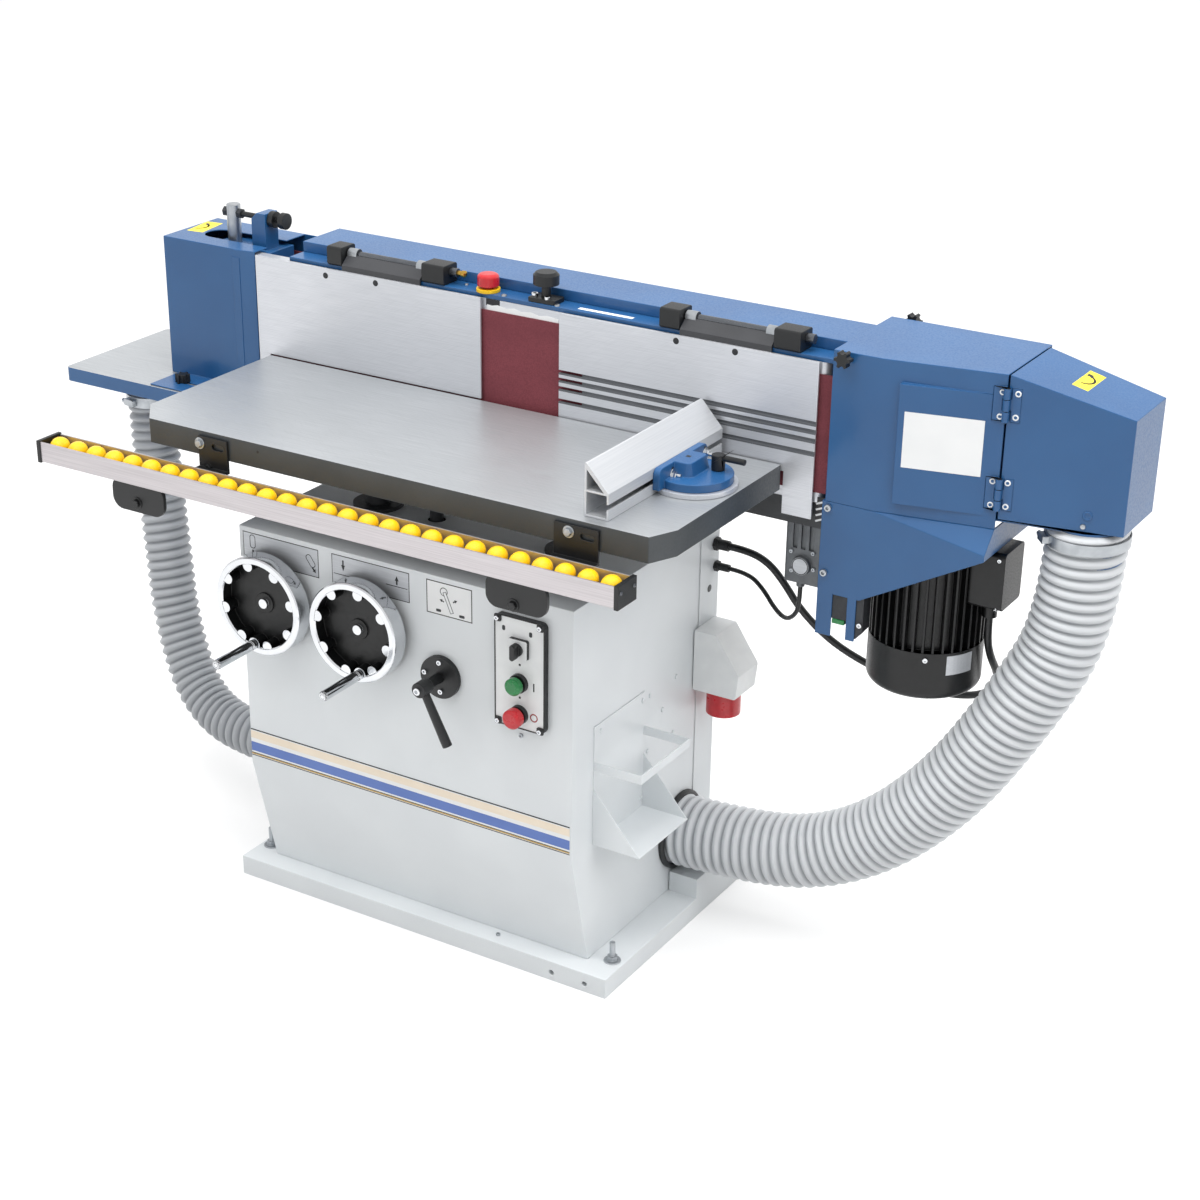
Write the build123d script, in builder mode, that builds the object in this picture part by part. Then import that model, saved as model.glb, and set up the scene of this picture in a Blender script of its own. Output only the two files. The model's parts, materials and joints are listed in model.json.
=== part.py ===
from build123d import *
import math
import os

os.makedirs("parts", exist_ok=True)

# Edge belt sander on a cabinet stand, with a rising table and a belt unit that tilts backwards.
# Millimetres, +Z up, +X to the right, operator at -Y, origin on the floor under the middle of the base.

# Clearances
RUN = 0.05  # radial clearance of a turning or sliding shaft in its bore
SLIP = 0.3  # clearance of pieces that slip over or past each other
OVER = 5.0  # how far a cutting tool reaches past the surface it cuts
HALF_TURN = 180.0

# Base plinth
BASE_LEFT_LEDGE = 50.0
BASE_RIGHT_LEDGE = 60.0
BASE_FRONT_LEDGE = 40.0
BASE_BACK_LEDGE = 40.0
BASE_HEIGHT = 38.0
BASE_RIM = 30.0
BASE_RIB = 40.0
BASE_TOP = 6.0
BASE_HOLE_R = 5.0
BASE_HOLE_INSET = (109.0, 42.0)
BASE_HOLE_Z = 15.5
STEP_DEPTH = 187.0
STEP_HEIGHT = 40.0
ANCHOR_END_INSET = 22.0
ANCHOR_FRONT_INSET = 60.0
ANCHOR_WASHER_R = 15.0
ANCHOR_WASHER = 3.0
ANCHOR_HEAD_R = 10.0
ANCHOR_RISE = 11.0
ANCHOR_STUD_R = 5.0
ANCHOR_STUD = 38.0

# Cabinet
CAB_LEFT = -345.0
CAB_RIGHT = 335.0
CAB_FRONT = -269.0
CAB_TOE = -213.0
CAB_BACK = 213.0
CAB_BEND = 257.0
CAB_TOP = 717.0
CAB_WALL = 3.0
WRAP_WIDTH = 67.0
WRAP_SHEET = 2.0
WRAP_MARGIN = 6.0

# Dust plenum inside the cabinet and its spigots
PLENUM_HALF = 250.0
PLENUM_Y = (-90.0, 185.0)
PLENUM_HEIGHT = 202.0
PLENUM_SHEET = 3.0
SPIGOT_WALL = 2.0
SPIGOT_BAR_R = 2.5
RIGHT_PORT_Y = 99.5
RIGHT_PORT_Z = 151.0
RIGHT_SPIGOT_R = 59.0
LEFT_PORT_Y = -20.0
LEFT_PORT_Z = 140.0
LEFT_SPIGOT_R = 39.0
SPIGOT_REACH = 75.0
SPIGOT_GRIP = 55.0
OUTLET_R = 60.0
OUTLET_Z = 140.0
OUTLET_REACH = 60.0
OUTLET_FLANGE = 4.0
OUTLET_FLANGE_R = 75.0
PORT_GAP = 4.0

# Tool tray on the right wall
TRAY_SHEET = 2.0
TRAY_Y = (-203.0, -38.0)
TRAY_Z = (261.0, 484.0)
TRAY_REACH = 93.0
TRAY_GUSSET = 108.0
STRAP_Z = 402.0
STRAP_HEIGHT = 16.0
STRAP_SHEET = 3.0

# Mains inlet on the right wall
INLET_Y = (130.0, 205.0)
INLET_Z = 418.0
INLET_HEIGHT = 116.0
INLET_REACH = 91.0
INLET_ROUND = 5.0
COLLAR_R = 31.0
COLLAR_LENGTH = 46.0
COLLAR_WALL = 4.0
COLLAR_FLOOR = 10.0
COLLAR_OUT = 44.0
INLET_PIN_R = 3.0
INLET_PIN_CIRCLE = 16.0
INLET_PIN_LENGTH = 28.0
INLET_PINS = 5

# Cable glands on the right wall
GLAND_LENGTH = 28.0
MOTOR_GLAND_Y = 197.0
MOTOR_GLAND_Z = 675.0
OSC_GLAND_Y = 200.0
OSC_GLAND_Z = 632.0
MOTOR_CABLE_R = 6.5
OSC_CABLE_R = 4.0
GLAND_WALL = 6.0
GLAND_HEX = 8.0

# Control box
PANEL_X = 239.5
PANEL_Z = 587.0
PANEL_WIDTH = 97.0
PANEL_HEIGHT = 198.0
PANEL_DEPTH = 13.0
PANEL_CORNER = 10.0
PANEL_RIM = 2.0
PANEL_RECESS = 1.5
SWITCH_X = 240.0
SWITCH_Z = 634.0
SWITCH_BASE = (36.0, 34.0, 7.0)
SWITCH_BASE_CORNER = 3.0
SWITCH_R = 11.0
SWITCH_DISC = 4.0
SWITCH_GRIP = (28.0, 9.0)
SWITCH_RISE = 14.0
SWITCH_SHAFT_R = 5.0
START_Z = 572.0
STOP_Z = 515.0
BUTTON_R = 15.0
STOP_R = 17.0
BUTTON_NECK_R = 9.0
BUTTON_CAP = 14.0
STOP_CAP = 18.0
BUTTON_TRAVEL = 4.0
BUTTON_DEPTH = 6.0
BEZEL_R = 16.5
BEZEL_RISE = 7.0

# Handwheels, shafts and clamp lever
TILT_WHEEL_X = -276.0
LIFT_WHEEL_X = -75.0
WHEEL_Z = 595.0
WHEEL_R = 90.0
WHEEL_PLANE = -298.0
RIM_WIDTH = 14.0
RIM_DEPTH = 34.0
RIM_CHAMFER = 2.5
DISH_SHEET = 7.0
DISH_BACK = -278.0
HUB_R = 18.0
HUB_RISE = 3.0
HUB_CAP_R = 9.0
HUB_CAP = 6.0
LOBE_R = 10.0
LOBE_CIRCLE = 73.5
LOBE_SETBACK = 1.0
PIN_BOSS_R = 12.0
LOBES = 8
GRIP_CIRCLE = 74.0
TILT_GRIP_ANGLE = -99.0
LIFT_GRIP_ANGLE = -79.0
GRIP_R = 9.0
GRIP_NECK_R = 6.5
GRIP_COLLAR = 8.0
GRIP_NECK = 5.0
GRIP_DOME = 3.0
GRIP_LENGTH = 102.0
GRIP_PIN_R = 4.0
SHAFT_R = 10.0
BEARING_R = 30.0
BEARING_SPIGOT_R = 16.0
BEARING_FLANGE = 8.0
BEARING_DEPTH = 16.0
CLAMP_X = 78.0
CLAMP_Z = 538.0
CLAMP_FLANGE_R = 38.0
CLAMP_FLANGE = 10.0
CLAMP_SPINDLE_R = 9.0
CLAMP_HUB_R = 13.5
CLAMP_HUB = 26.0
CLAMP_STANDOFF = 44.0
CLAMP_ANGLE = -63.0
CLAMP_ARM = 107.0
CLAMP_ARM_R = 7.0
CLAMP_GRIP = 14.0
CLAMP_GRIP_R = 8.5

# Table, its lift and the stop fence
TABLE_X = (-533.0, 520.0)
TABLE_Y = (-320.0, 69.0)
TABLE_TOP = 898.0
TABLE_THICK = 44.0
TABLE_PLATE = 14.0
TABLE_APRON = 15.0
TABLE_RIB = 10.0
TABLE_RIBS = 5
TABLE_CUT_LEFT = (47.0, 56.0)
TABLE_CUT_RIGHT = (22.0, 49.0)
LIFT_Y = -60.0
LIFT_BEAM_HALF = 320.0
LIFT_BEAM_Y = (-160.0, 40.0)
LIFT_BEAM_HEIGHT = 33.0
COLUMN_X = 200.0
COLUMN_R = 22.5
COLUMN_LENGTH = 250.0
SCREW_R = 12.0
SLEEVE_R = 33.0
SLEEVE_FLANGE_R = 45.0
SLEEVE_FLANGE = 7.0
GEARBOX_HALF = 40.0
GEARBOX_DEPTH = 100.0
GEARBOX_BORE = 25.0
SHELF_THICK = 12.0
SHELF_DEPTH = 110.0

RAIL_X = (-667.0, 486.0)
RAIL_Y = (-400.0, -348.0)
RAIL_Z = (807.0, 843.0)
RAIL_SHEET = 3.0
ROLLERS = 28
ROLLER_R = 16.5
ROLLER_WIDTH = 36.0
ROLLER_CROWN = 8.0
ROLLER_RISE = 5.0
AXLE = 6.0
BRACKET_SHEET = 5.0
BRACKET_LEFT_X = (-376.0, -314.0)
BRACKET_RIGHT_X = (331.0, 412.0)
BRACKET_Z = (832.0, 890.0)
BRACKET_SLOT_R = 5.0
CAP_THICK = 8.0
CAP_LIP = 2.0
PAD_LEFT_X = (-525.0, -411.0)
PAD_RIGHT_X = (242.0, 356.0)
PAD_HEIGHT = 58.0
PAD_THICK = 8.0
PAD_ROUND = 22.0
PAD_SETBACK = 18.0

FENCE_X = (371.0, 414.0)
FENCE_Y = (-300.0, 62.0)
FENCE_BOX = 44.0
FENCE_HEIGHT = 87.0
FENCE_WALL = 3.5
FENCE_SLOT = 9.0
GAUGE_OUT = 31.0
GAUGE_Y = -88.0
GAUGE_R = 71.0
GAUGE_DISC = 8.0
GAUGE_PIN_R = 9.0
GAUGE_STEP = 7.0
GAUGE_PLATE = 14.0
GAUGE_WALL = 12.0
GAUGE_RISE = 36.0
GAUGE_EAR = 78.0
GAUGE_BOSS_HALF = 34.0
GAUGE_BOSS_REACH = 44.0
GAUGE_BOSS = 22.0
GAUGE_DRAFT = 12.0
LEVER_OUT = 29.0
LEVER_BACK = 26.0
LEVER_HUB_R = 11.0
LEVER_HUB = 26.0
LEVER_STUD_R = 4.0
LEVER_ARM = 48.0
LEVER_ARM_R = 5.0

# Tilting unit: pivot, beam and trunnions
PIVOT_Y = 205.0
PIVOT_Z = 790.0
PIN_R = 15.0
EAR_R = 30.0
EAR_THICK = 24.0
EAR_X = 246.0
TRUNNION_R = 34.0
TRUNNION_THICK = 48.0
TRUNNION_GAP = 4.0
TRUNNION_FLANGE = 8.0
TRUNNION_FOOT = 26.0
CASE_WIDTH = 72.0
CASE_FRONT = 150.0
CASE_FLOOR = 560.0
CASE_BORE = 20.0
BEAM_X = (-550.0, 600.0)
BEAM_Y = (84.0, 160.0)
BEAM_Z = (795.0, 840.0)
BEAM_WALL = 5.0
ROD_X = 330.0
ROD_Y = 126.0
ROD_R = 12.0

# Belt, drums and platen
BELT_WIDTH = 200.0
BELT_BOTTOM = 858.0
BELT_THICK = 1.5
BELT_GAP = 0.5
STROKE = 3.0
PLATEN_END_GAP = 14.5
PLATEN_Y = (82.0, 100.0)
PLATEN_NOSE = 15.0
DRUM_R = 57.5
DRUM_OVER = 3.0
IDLER_X = -662.0
DRIVE_X = 756.0
DRIVE_Y = 165.0
AXLE_R = 10.0
DRIVE_SHAFT_R = 14.0

# Oscillating carriage with idler fork, drive fork and tracking bracket
CARR_X = (-600.0, 690.0)
CARR_Y = (108.0, 182.0)
CARR_Z = (880.0, 1040.0)
CARR_WALL = 6.0
FORK_WEB = 42.0
FORK_GAP = 2.0
FORK_THICK = 12.0
FORK_NOSE = 30.0
DRIVE_ARM_R = 66.0
DRIVE_ARM_THICK = 18.0
PUSH_X = 558.0
PUSH_R = 8.0
PUSH_REACH = 30.0
POST_WIDTH = 26.0
POST_OVER = 16.0
TRACK_RISE = 45.0
TRACK_STUD_R = 5.0
TRACK_BRACKET_START = 56.0
TRACK_BRACKET_LENGTH = 32.0
TRACK_BRACKET_OVER = 12.0
TRACK_BRACKET_WIDTH = 38.0
TRACK_KNOB_R = 15.0
TRACK_KNOB = 12.0
TRACK_KNOB_GAP = 12.0

# Motor
MOTOR_R = 95.0
MOTOR_CORE_R = 82.0
MOTOR_FLANGE_R = 80.0
MOTOR_FLANGE = 14.0
MOTOR_BODY = 197.0
FAN_COVER = 87.0
FAN_COVER_R = 96.0
FAN_ROUND = 18.0
FINS = 36
FIN_WIDTH = 4.0
TERM_REACH = 46.0
TERM_WIDTH = 80.0
TERM_Z = (704.0, 803.0)
TERM_ROUND = 8.0
TERM_GLAND_OUT = 12.0

# Sheet covers of the unit
SHEET = 3.0
TOP_X = (-490.0, 603.0)
TOP_Y = (82.0, 126.0)
TOP_Z = 1078.0
TOP_THICK = 8.0
BACK_COVER_Y = 232.0
BACK_COVER_TOP = 1105.0
BACK_COVER_BOTTOM = 850.0
COVER_THICK = 4.0
COVER_FACE = 72.0
COVER_TOP = 1080.0
LEFT_COVER_CLEAR = 0.6
RIGHT_COVER_BOTTOM = 886.0
COVER_TAB = 813.0
COVER_TAB_GAP = 3.0
LEFT_COVER_X = (-561.0, -70.0)
RIGHT_COVER_X = (90.0, 577.0)
COVER_SLOT_Z = (978.0, 964.0, 949.0, 927.0)
COVER_SLOT = 46.0
COVER_SLOT_R = 2.5
COVER_GROOVE = 1.5
HINGE_Y = 103.0
HINGE_Z = 1106.0
HINGE_ROD_R = 6.0
KNUCKLE_R = 10.0
LEAF_SHEET = 4.0
LEAF_BOTTOM = 1066.0
LEAF_BEND = 1088.0
LEAF_TIP_GAP = 1.0
LEAF_KNUCKLE = 20.0
BLOCK_Y = (78.0, 121.0)
BLOCK_TOP = 1120.0
BLOCK_ROUND = 5.0
LEFT_BLOCKS_X = ((-402.0, -370.0), (-197.0, -150.0))
RIGHT_BLOCKS_X = ((280.0, 318.0), (491.0, 539.0))
LEAF_SIDE_GAP = 2.0
PLUNGER_R = 8.0
PLUNGER_OUT = 14.0

# Emergency stop and tension knob on the top plate
ESTOP_X = -70.0
ESTOP_Y = 98.0
ESTOP_BASE_R = 21.0
ESTOP_BASE = 6.0
ESTOP_HEAD_R = 19.0
ESTOP_HEAD = 21.0
ESTOP_STEM_R = 9.0
ESTOP_TRAVEL = 4.0
TENSION_X = 46.0
TENSION_Y = 101.0
TENSION_PLATE = (54.0, 36.0)
TENSION_PLATE_THICK = 8.0
TENSION_STEM_R = 8.0
TENSION_ROUND = 5.0
TENSION_HEAD_R = 22.5
TENSION_HEAD_Z = (1116.0, 1138.0)

# Drum housing, hood and suction tray
HOUSE_X = (605.0, 884.0)
HOUSE_Z = (855.0, 1109.0)
HOUSE_FRONT = 63.0
HOUSE_BACK = 277.0
HOUSE_BEND_X = 690.0
HOUSE_RECEDE = 9.65
WEDGE_X = (722.0, 873.0)
WEDGE_Z = (876.0, 1075.0)
WEDGE_RISE = 9.0
HOOD_GAP = 3.0
HOOD_RIGHT = 1081.0
HOOD_BACK = 262.0
HOOD_BOTTOM = 873.0
HOOD_DROP = 47.0
TRAY_SHORT = 26.0
HOOD_HINGE_R = 5.5
HOOD_PIN_R = 2.5
HOOD_HINGES_Z = ((889.0, 942.0), (1034.0, 1089.0))
HOOD_LEAF = 15.0
HOOD_LEAF_SHEET = 1.2
HOOD_LEAF_START = 7.0
TRAY_FLOOR_Z = 868.0
TRAY_INSET = 5.0
SUCTION_X = 1010.0
SUCTION_Y = 172.0
SUCTION_REACH = 60.0
FLOOR_START = 830.0
KNOB_R = 14.0
KNOB_HEIGHT = 16.0
KNOB_STUD_R = 4.0
KNOB_STANDOFF = 8.0
KNOB_LOBES = 6
KNOB_LOBE_R = 4.5
HOUSE_KNOB_FRONT = (630.0, 1101.0)
HOUSE_KNOB_BACK = (637.0, 1101.0)

# Motor shroud and oscillation gearbox
SHROUD_BACK = 262.0
SHROUD_LOW = 695.0
SHROUD_HIP = 810.0
SHROUD_HIP_X = 676.0
SHOULDER_DROP = 34.0
LEG_BOTTOM = 620.0
LEG_WIDTH = 28.0
LEG_SMALL_X = (655.0, 671.0)
LEG_FLANGE = 40.0
NOTCH_Y = (76.0, 235.0)
NOTCH_DEPTH = 8.0
OSC_X = (525.0, 592.0)
OSC_Y = (88.0, 154.0)
OSC_HEIGHT = 106.0
OSC_ROUND = 6.0
OSC_CAP_R = 16.5
OSC_CAP = 8.0
OSC_CAP_DROP = 72.0
OSC_GROOVE = (8.0, 5.0, 44.0)
OSC_GROOVE_COUNT = 3
OSC_GROOVE_PITCH = 15.0
OSC_ENTRY_X = 546.0
OSC_ENTRY_Y = 112.0
OSC_ENTRY = 15.0

# Side table at the idler end and the idler guard
SIDE_X = (-965.0, -592.0)
SIDE_Y = (-19.0, 276.0)
SIDE_TOP = 822.0
SIDE_SHEET = 4.0
SIDE_ROUND = 10.0
SIDE_INLET = (-730.0, -640.0)
SIDE_INLET_Y = (95.0, 185.0)
SIDE_PORT_X = -842.0
SIDE_PORT_Y = 80.0
SIDE_SPIGOT = 48.0
ARM_LEFT = -790.0
ARM_RIGHT = -480.0
ARM_SIZE = 12.0
ARMS_Y = (106.0, 146.0)
GUARD_LEFT_REACH = 113.0
GUARD_RIGHT_REACH = 98.0
GUARD_FRONT_REACH = 70.5
GUARD_BACK_REACH = 85.5
GUARD_TOP = 1085.0
GUARD_SHEET = 2.5
GUARD_BEND = 30.0
GUARD_BEND_BACK = 5.0
GUARD_SLOT_REACH = 63.0
GUARD_SLOT_HALF = 28.0
GUARD_ARM = 84.0
GUARD_ARM_HEIGHT = 60.0
FLANGE_LENGTH = 92.0
FLANGE_REACH = 83.0
GUARD_KNOB_AHEAD = 50.0
GUARD_KNOB_REACH = 43.0
GUARD_KNOB_DROP = 14.0

# Dust hoses
RIGHT_CREST_R = 66.0
RIGHT_RIBS = 36
LEFT_CREST_R = 46.0
LEFT_RIBS = 32
RIB_DEPTH = 4.0
BORE_STATIONS = 16

# Derived places
BELT_TOP = BELT_BOTTOM + BELT_WIDTH
IDLER_Y = PLATEN_Y[0] + DRUM_R
PLATEN_HALF = -IDLER_X - DRUM_R - PLATEN_END_GAP
GUARD_X = (IDLER_X - GUARD_LEFT_REACH, IDLER_X + GUARD_RIGHT_REACH)
GUARD_Y = (IDLER_Y - GUARD_FRONT_REACH, IDLER_Y + GUARD_BACK_REACH)
GUARD_SLOT_END = IDLER_X - GUARD_SLOT_REACH
GUARD_KNOB_X = IDLER_X - GUARD_KNOB_AHEAD
GUARD_KNOB_Y = GUARD_Y[0] - GUARD_KNOB_REACH
FLANGE_X = (GUARD_KNOB_X - FLANGE_LENGTH / 2, GUARD_KNOB_X + FLANGE_LENGTH / 2)
FLANGE_FRONT = GUARD_Y[0] - FLANGE_REACH
TRACK_Z = GUARD_TOP + TRACK_RISE
TRACK_BRACKET_X = (IDLER_X + TRACK_BRACKET_START, IDLER_X + TRACK_BRACKET_START + TRACK_BRACKET_LENGTH)
TRACK_BRACKET_TOP = TRACK_Z + TRACK_BRACKET_OVER
POST_TOP = TRACK_Z + POST_OVER
PANEL_FACE = CAB_FRONT - PANEL_DEPTH
WALL_FACE = CAB_RIGHT + WRAP_SHEET
BASE_X = (CAB_LEFT - BASE_LEFT_LEDGE, CAB_RIGHT + BASE_RIGHT_LEDGE)
BASE_Y = (CAB_TOE - BASE_FRONT_LEDGE, CAB_BACK + BASE_BACK_LEDGE)
DISH_FRONT = WHEEL_PLANE + RIM_DEPTH / 2 - RIM_CHAMFER - DISH_SHEET
GRIP_BASE = WHEEL_PLANE - RIM_DEPTH / 2 - SLIP
GRIP_END = GRIP_BASE - GRIP_LENGTH
LIFT_BEAM_TOP = TABLE_TOP - TABLE_THICK
LIFT_BEAM_BOTTOM = LIFT_BEAM_TOP - LIFT_BEAM_HEIGHT
SHELF_TOP = WHEEL_Z - GEARBOX_HALF
COVER_BACK = COVER_FACE + COVER_THICK
TOP_SURFACE = TOP_Z + TOP_THICK
RIGHT_BORE_R = RIGHT_SPIGOT_R + SLIP
LEFT_BORE_R = LEFT_SPIGOT_R + SLIP
FORK_LOW = BELT_BOTTOM - DRUM_OVER - FORK_GAP
FORK_HIGH = BELT_TOP + DRUM_OVER + FORK_GAP
MOTOR_TOP = FORK_LOW - DRIVE_ARM_THICK
MOTOR_BODY_TOP = MOTOR_TOP - MOTOR_FLANGE
FAN_TOP = MOTOR_BODY_TOP - MOTOR_BODY
MOTOR_BOTTOM = FAN_TOP - FAN_COVER
RECEDE = math.tan(math.radians(HOUSE_RECEDE))
PLENUM_Z = (BASE_HEIGHT, BASE_HEIGHT + PLENUM_HEIGHT)
GAUGE_X = FENCE_X[1] + GAUGE_OUT
LEVER_X = GAUGE_X + LEVER_OUT
LEVER_Y = GAUGE_Y + LEVER_BACK


def front(y):
    """Sketch plane facing the operator, at depth y."""
    return Plane.XZ.offset(-y)


def side(x):
    """Sketch plane facing right, at x."""
    return Plane.YZ.offset(x)


def level(z):
    """Sketch plane facing up, at height z."""
    return Plane.XY.offset(z)


def block(x, y, z, mode=Mode.ADD):
    """Adds or cuts a block between two limits on each axis."""
    with Locations(((x[0] + x[1]) / 2, (y[0] + y[1]) / 2, (z[0] + z[1]) / 2)):
        Box(x[1] - x[0], y[1] - y[0], z[1] - z[0], mode=mode)


def bar(start, end, radius, mode=Mode.ADD):
    """Adds or cuts a round bar between two points."""
    reach = Vector(*end) - Vector(*start)
    with BuildSketch(Plane(origin=start, z_dir=reach)) as section:
        Circle(radius)
    extrude(section.sketch, amount=reach.length, mode=mode)


def front_y(x):
    """Depth of the receding front of the drum housing and the hood at x."""
    return HOUSE_FRONT + max(x - HOUSE_BEND_X, 0) * RECEDE


def save(piece, name):
    """Labels a finished piece and writes its file."""
    piece.part.label = name
    export_step(piece.part, f"parts/{name}.step")


# Base plinth: a rimmed tray with a middle rib, two rear steps and its two front anchor studs with nuts
with BuildPart() as base_plinth:
    block(BASE_X, BASE_Y, (0, BASE_HEIGHT))
    rib_y = sum(BASE_Y) / 2
    pocket_x = (BASE_X[0] + BASE_RIM, BASE_X[1] - BASE_RIM)
    pocket_z = (0, BASE_HEIGHT - BASE_TOP)
    block(pocket_x, (BASE_Y[0] + BASE_RIM, rib_y - BASE_RIB / 2), pocket_z, mode=Mode.SUBTRACT)
    block(pocket_x, (rib_y + BASE_RIB / 2, BASE_Y[1] - BASE_RIM), pocket_z, mode=Mode.SUBTRACT)
    step_y = (BASE_Y[1] - STEP_DEPTH, BASE_Y[1])
    step_z = (BASE_HEIGHT, BASE_HEIGHT + STEP_HEIGHT)
    block((BASE_X[0], CAB_LEFT - WRAP_SHEET - SLIP), step_y, step_z)
    block((WALL_FACE + SLIP, BASE_X[1]), step_y, step_z)
    anchor_y = BASE_Y[0] + ANCHOR_FRONT_INSET
    anchor_places = (
        (BASE_X[0] + ANCHOR_END_INSET, anchor_y),
        (BASE_X[1] - ANCHOR_END_INSET, anchor_y),
    )
    with BuildSketch(level(BASE_HEIGHT)):
        with Locations(*anchor_places):
            Circle(ANCHOR_WASHER_R)
    extrude(amount=ANCHOR_WASHER)
    with BuildSketch(level(BASE_HEIGHT)):
        with Locations(*anchor_places):
            RegularPolygon(ANCHOR_HEAD_R, 6)
    extrude(amount=ANCHOR_RISE)
    with BuildSketch(level(BASE_HEIGHT)):
        with Locations(*anchor_places):
            Circle(ANCHOR_STUD_R)
    extrude(amount=ANCHOR_STUD)
    with BuildSketch(front(BASE_Y[0])):
        with Locations(*[(BASE_X[1] - inset, BASE_HOLE_Z) for inset in BASE_HOLE_INSET]):
            Circle(BASE_HOLE_R)
    extrude(amount=-BASE_RIM, mode=Mode.SUBTRACT)
save(base_plinth, "base_plinth")

# Cabinet: a sheet box open below, with a sloped toe and a back panel that wraps round the sides
with BuildPart() as cabinet:
    with BuildSketch(side(CAB_LEFT)):
        Polygon(
            (CAB_TOE, BASE_HEIGHT),
            (CAB_BACK, BASE_HEIGHT),
            (CAB_BACK, CAB_TOP),
            (CAB_FRONT, CAB_TOP),
            (CAB_FRONT, CAB_BEND),
            align=None,
        )
    extrude(amount=CAB_RIGHT - CAB_LEFT)
    offset(amount=-CAB_WALL, openings=cabinet.faces().sort_by(Axis.Z)[0])
    wrap_y = (CAB_BACK - WRAP_WIDTH, CAB_BACK)
    wrap_z = (BASE_HEIGHT + WRAP_MARGIN, CAB_TOP - WRAP_MARGIN)
    block((CAB_LEFT - WRAP_SHEET, CAB_LEFT), wrap_y, wrap_z)
    block((CAB_RIGHT, WALL_FACE), wrap_y, wrap_z)
    bar(
        (CAB_RIGHT - CAB_WALL - OVER, RIGHT_PORT_Y, RIGHT_PORT_Z),
        (WALL_FACE + OVER, RIGHT_PORT_Y, RIGHT_PORT_Z),
        RIGHT_CREST_R + PORT_GAP,
        mode=Mode.SUBTRACT,
    )
    bar(
        (CAB_LEFT - OVER, LEFT_PORT_Y, LEFT_PORT_Z),
        (CAB_LEFT + CAB_WALL + OVER, LEFT_PORT_Y, LEFT_PORT_Z),
        LEFT_CREST_R + PORT_GAP,
        mode=Mode.SUBTRACT,
    )
    bar(
        (0, CAB_BACK - CAB_WALL - OVER, OUTLET_Z),
        (0, CAB_BACK + OVER, OUTLET_Z),
        OUTLET_R + SLIP,
        mode=Mode.SUBTRACT,
    )
    with BuildSketch(front(CAB_FRONT)):
        with Locations((TILT_WHEEL_X, WHEEL_Z), (LIFT_WHEEL_X, WHEEL_Z), (CLAMP_X, CLAMP_Z)):
            Circle(BEARING_SPIGOT_R + SLIP)
    extrude(amount=-CAB_WALL, mode=Mode.SUBTRACT)
    with BuildSketch(level(CAB_TOP)):
        with Locations((-COLUMN_X, LIFT_Y), (COLUMN_X, LIFT_Y)):
            Circle(SLEEVE_R + SLIP)
        with Locations((LIFT_WHEEL_X, LIFT_Y)):
            Circle(SCREW_R + PORT_GAP)
        with Locations((TILT_WHEEL_X, (CASE_FRONT + CAB_BACK - CAB_WALL) / 2)):
            Rectangle(CASE_WIDTH + 2 * SLIP, CAB_BACK - CAB_WALL - CASE_FRONT + 2 * SLIP)
    extrude(amount=-CAB_WALL, mode=Mode.SUBTRACT)
save(cabinet, "cabinet")

def spigot_guard(middle, spigot_r, way):
    """Adds the finger guard of a spigot: a round bar across its bore."""
    half = Vector(*way) * (spigot_r - SPIGOT_WALL / 2)
    bar(Vector(*middle) - half, Vector(*middle) + half, SPIGOT_BAR_R)


# Dust plenum on the cabinet floor: two guarded hose spigots and one outlet through the back wall
with BuildPart() as dust_manifold:
    right_axis = (PLENUM_HALF, RIGHT_PORT_Y, RIGHT_PORT_Z)
    right_end = (PLENUM_HALF + SPIGOT_REACH, RIGHT_PORT_Y, RIGHT_PORT_Z)
    left_axis = (-PLENUM_HALF, LEFT_PORT_Y, LEFT_PORT_Z)
    left_end = (-PLENUM_HALF - SPIGOT_REACH, LEFT_PORT_Y, LEFT_PORT_Z)
    outlet_axis = (0, PLENUM_Y[1], OUTLET_Z)
    outlet_end = (0, CAB_BACK + OUTLET_REACH, OUTLET_Z)
    block((-PLENUM_HALF, PLENUM_HALF), PLENUM_Y, PLENUM_Z)
    bar(right_axis, right_end, RIGHT_SPIGOT_R)
    bar(left_axis, left_end, LEFT_SPIGOT_R)
    bar(outlet_axis, outlet_end, OUTLET_R)
    bar((0, CAB_BACK, OUTLET_Z), (0, CAB_BACK + OUTLET_FLANGE, OUTLET_Z), OUTLET_FLANGE_R)
    block(
        (-PLENUM_HALF + PLENUM_SHEET, PLENUM_HALF - PLENUM_SHEET),
        (PLENUM_Y[0] + PLENUM_SHEET, PLENUM_Y[1] - PLENUM_SHEET),
        (PLENUM_Z[0] + PLENUM_SHEET, PLENUM_Z[1] - PLENUM_SHEET),
        mode=Mode.SUBTRACT,
    )
    bar((0, RIGHT_PORT_Y, RIGHT_PORT_Z), right_end, RIGHT_SPIGOT_R - SPIGOT_WALL, mode=Mode.SUBTRACT)
    bar((0, LEFT_PORT_Y, LEFT_PORT_Z), left_end, LEFT_SPIGOT_R - SPIGOT_WALL, mode=Mode.SUBTRACT)
    bar((0, PLENUM_Y[0] + PLENUM_SHEET, OUTLET_Z), outlet_end, OUTLET_R - SPIGOT_WALL, mode=Mode.SUBTRACT)
    spigot_guard((right_end[0] - SPIGOT_GRIP, *right_end[1:]), RIGHT_SPIGOT_R, (0, 0, 1))
    spigot_guard((left_end[0] + SPIGOT_GRIP, *left_end[1:]), LEFT_SPIGOT_R, (0, 0, 1))
save(dust_manifold, "dust_manifold")

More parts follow.
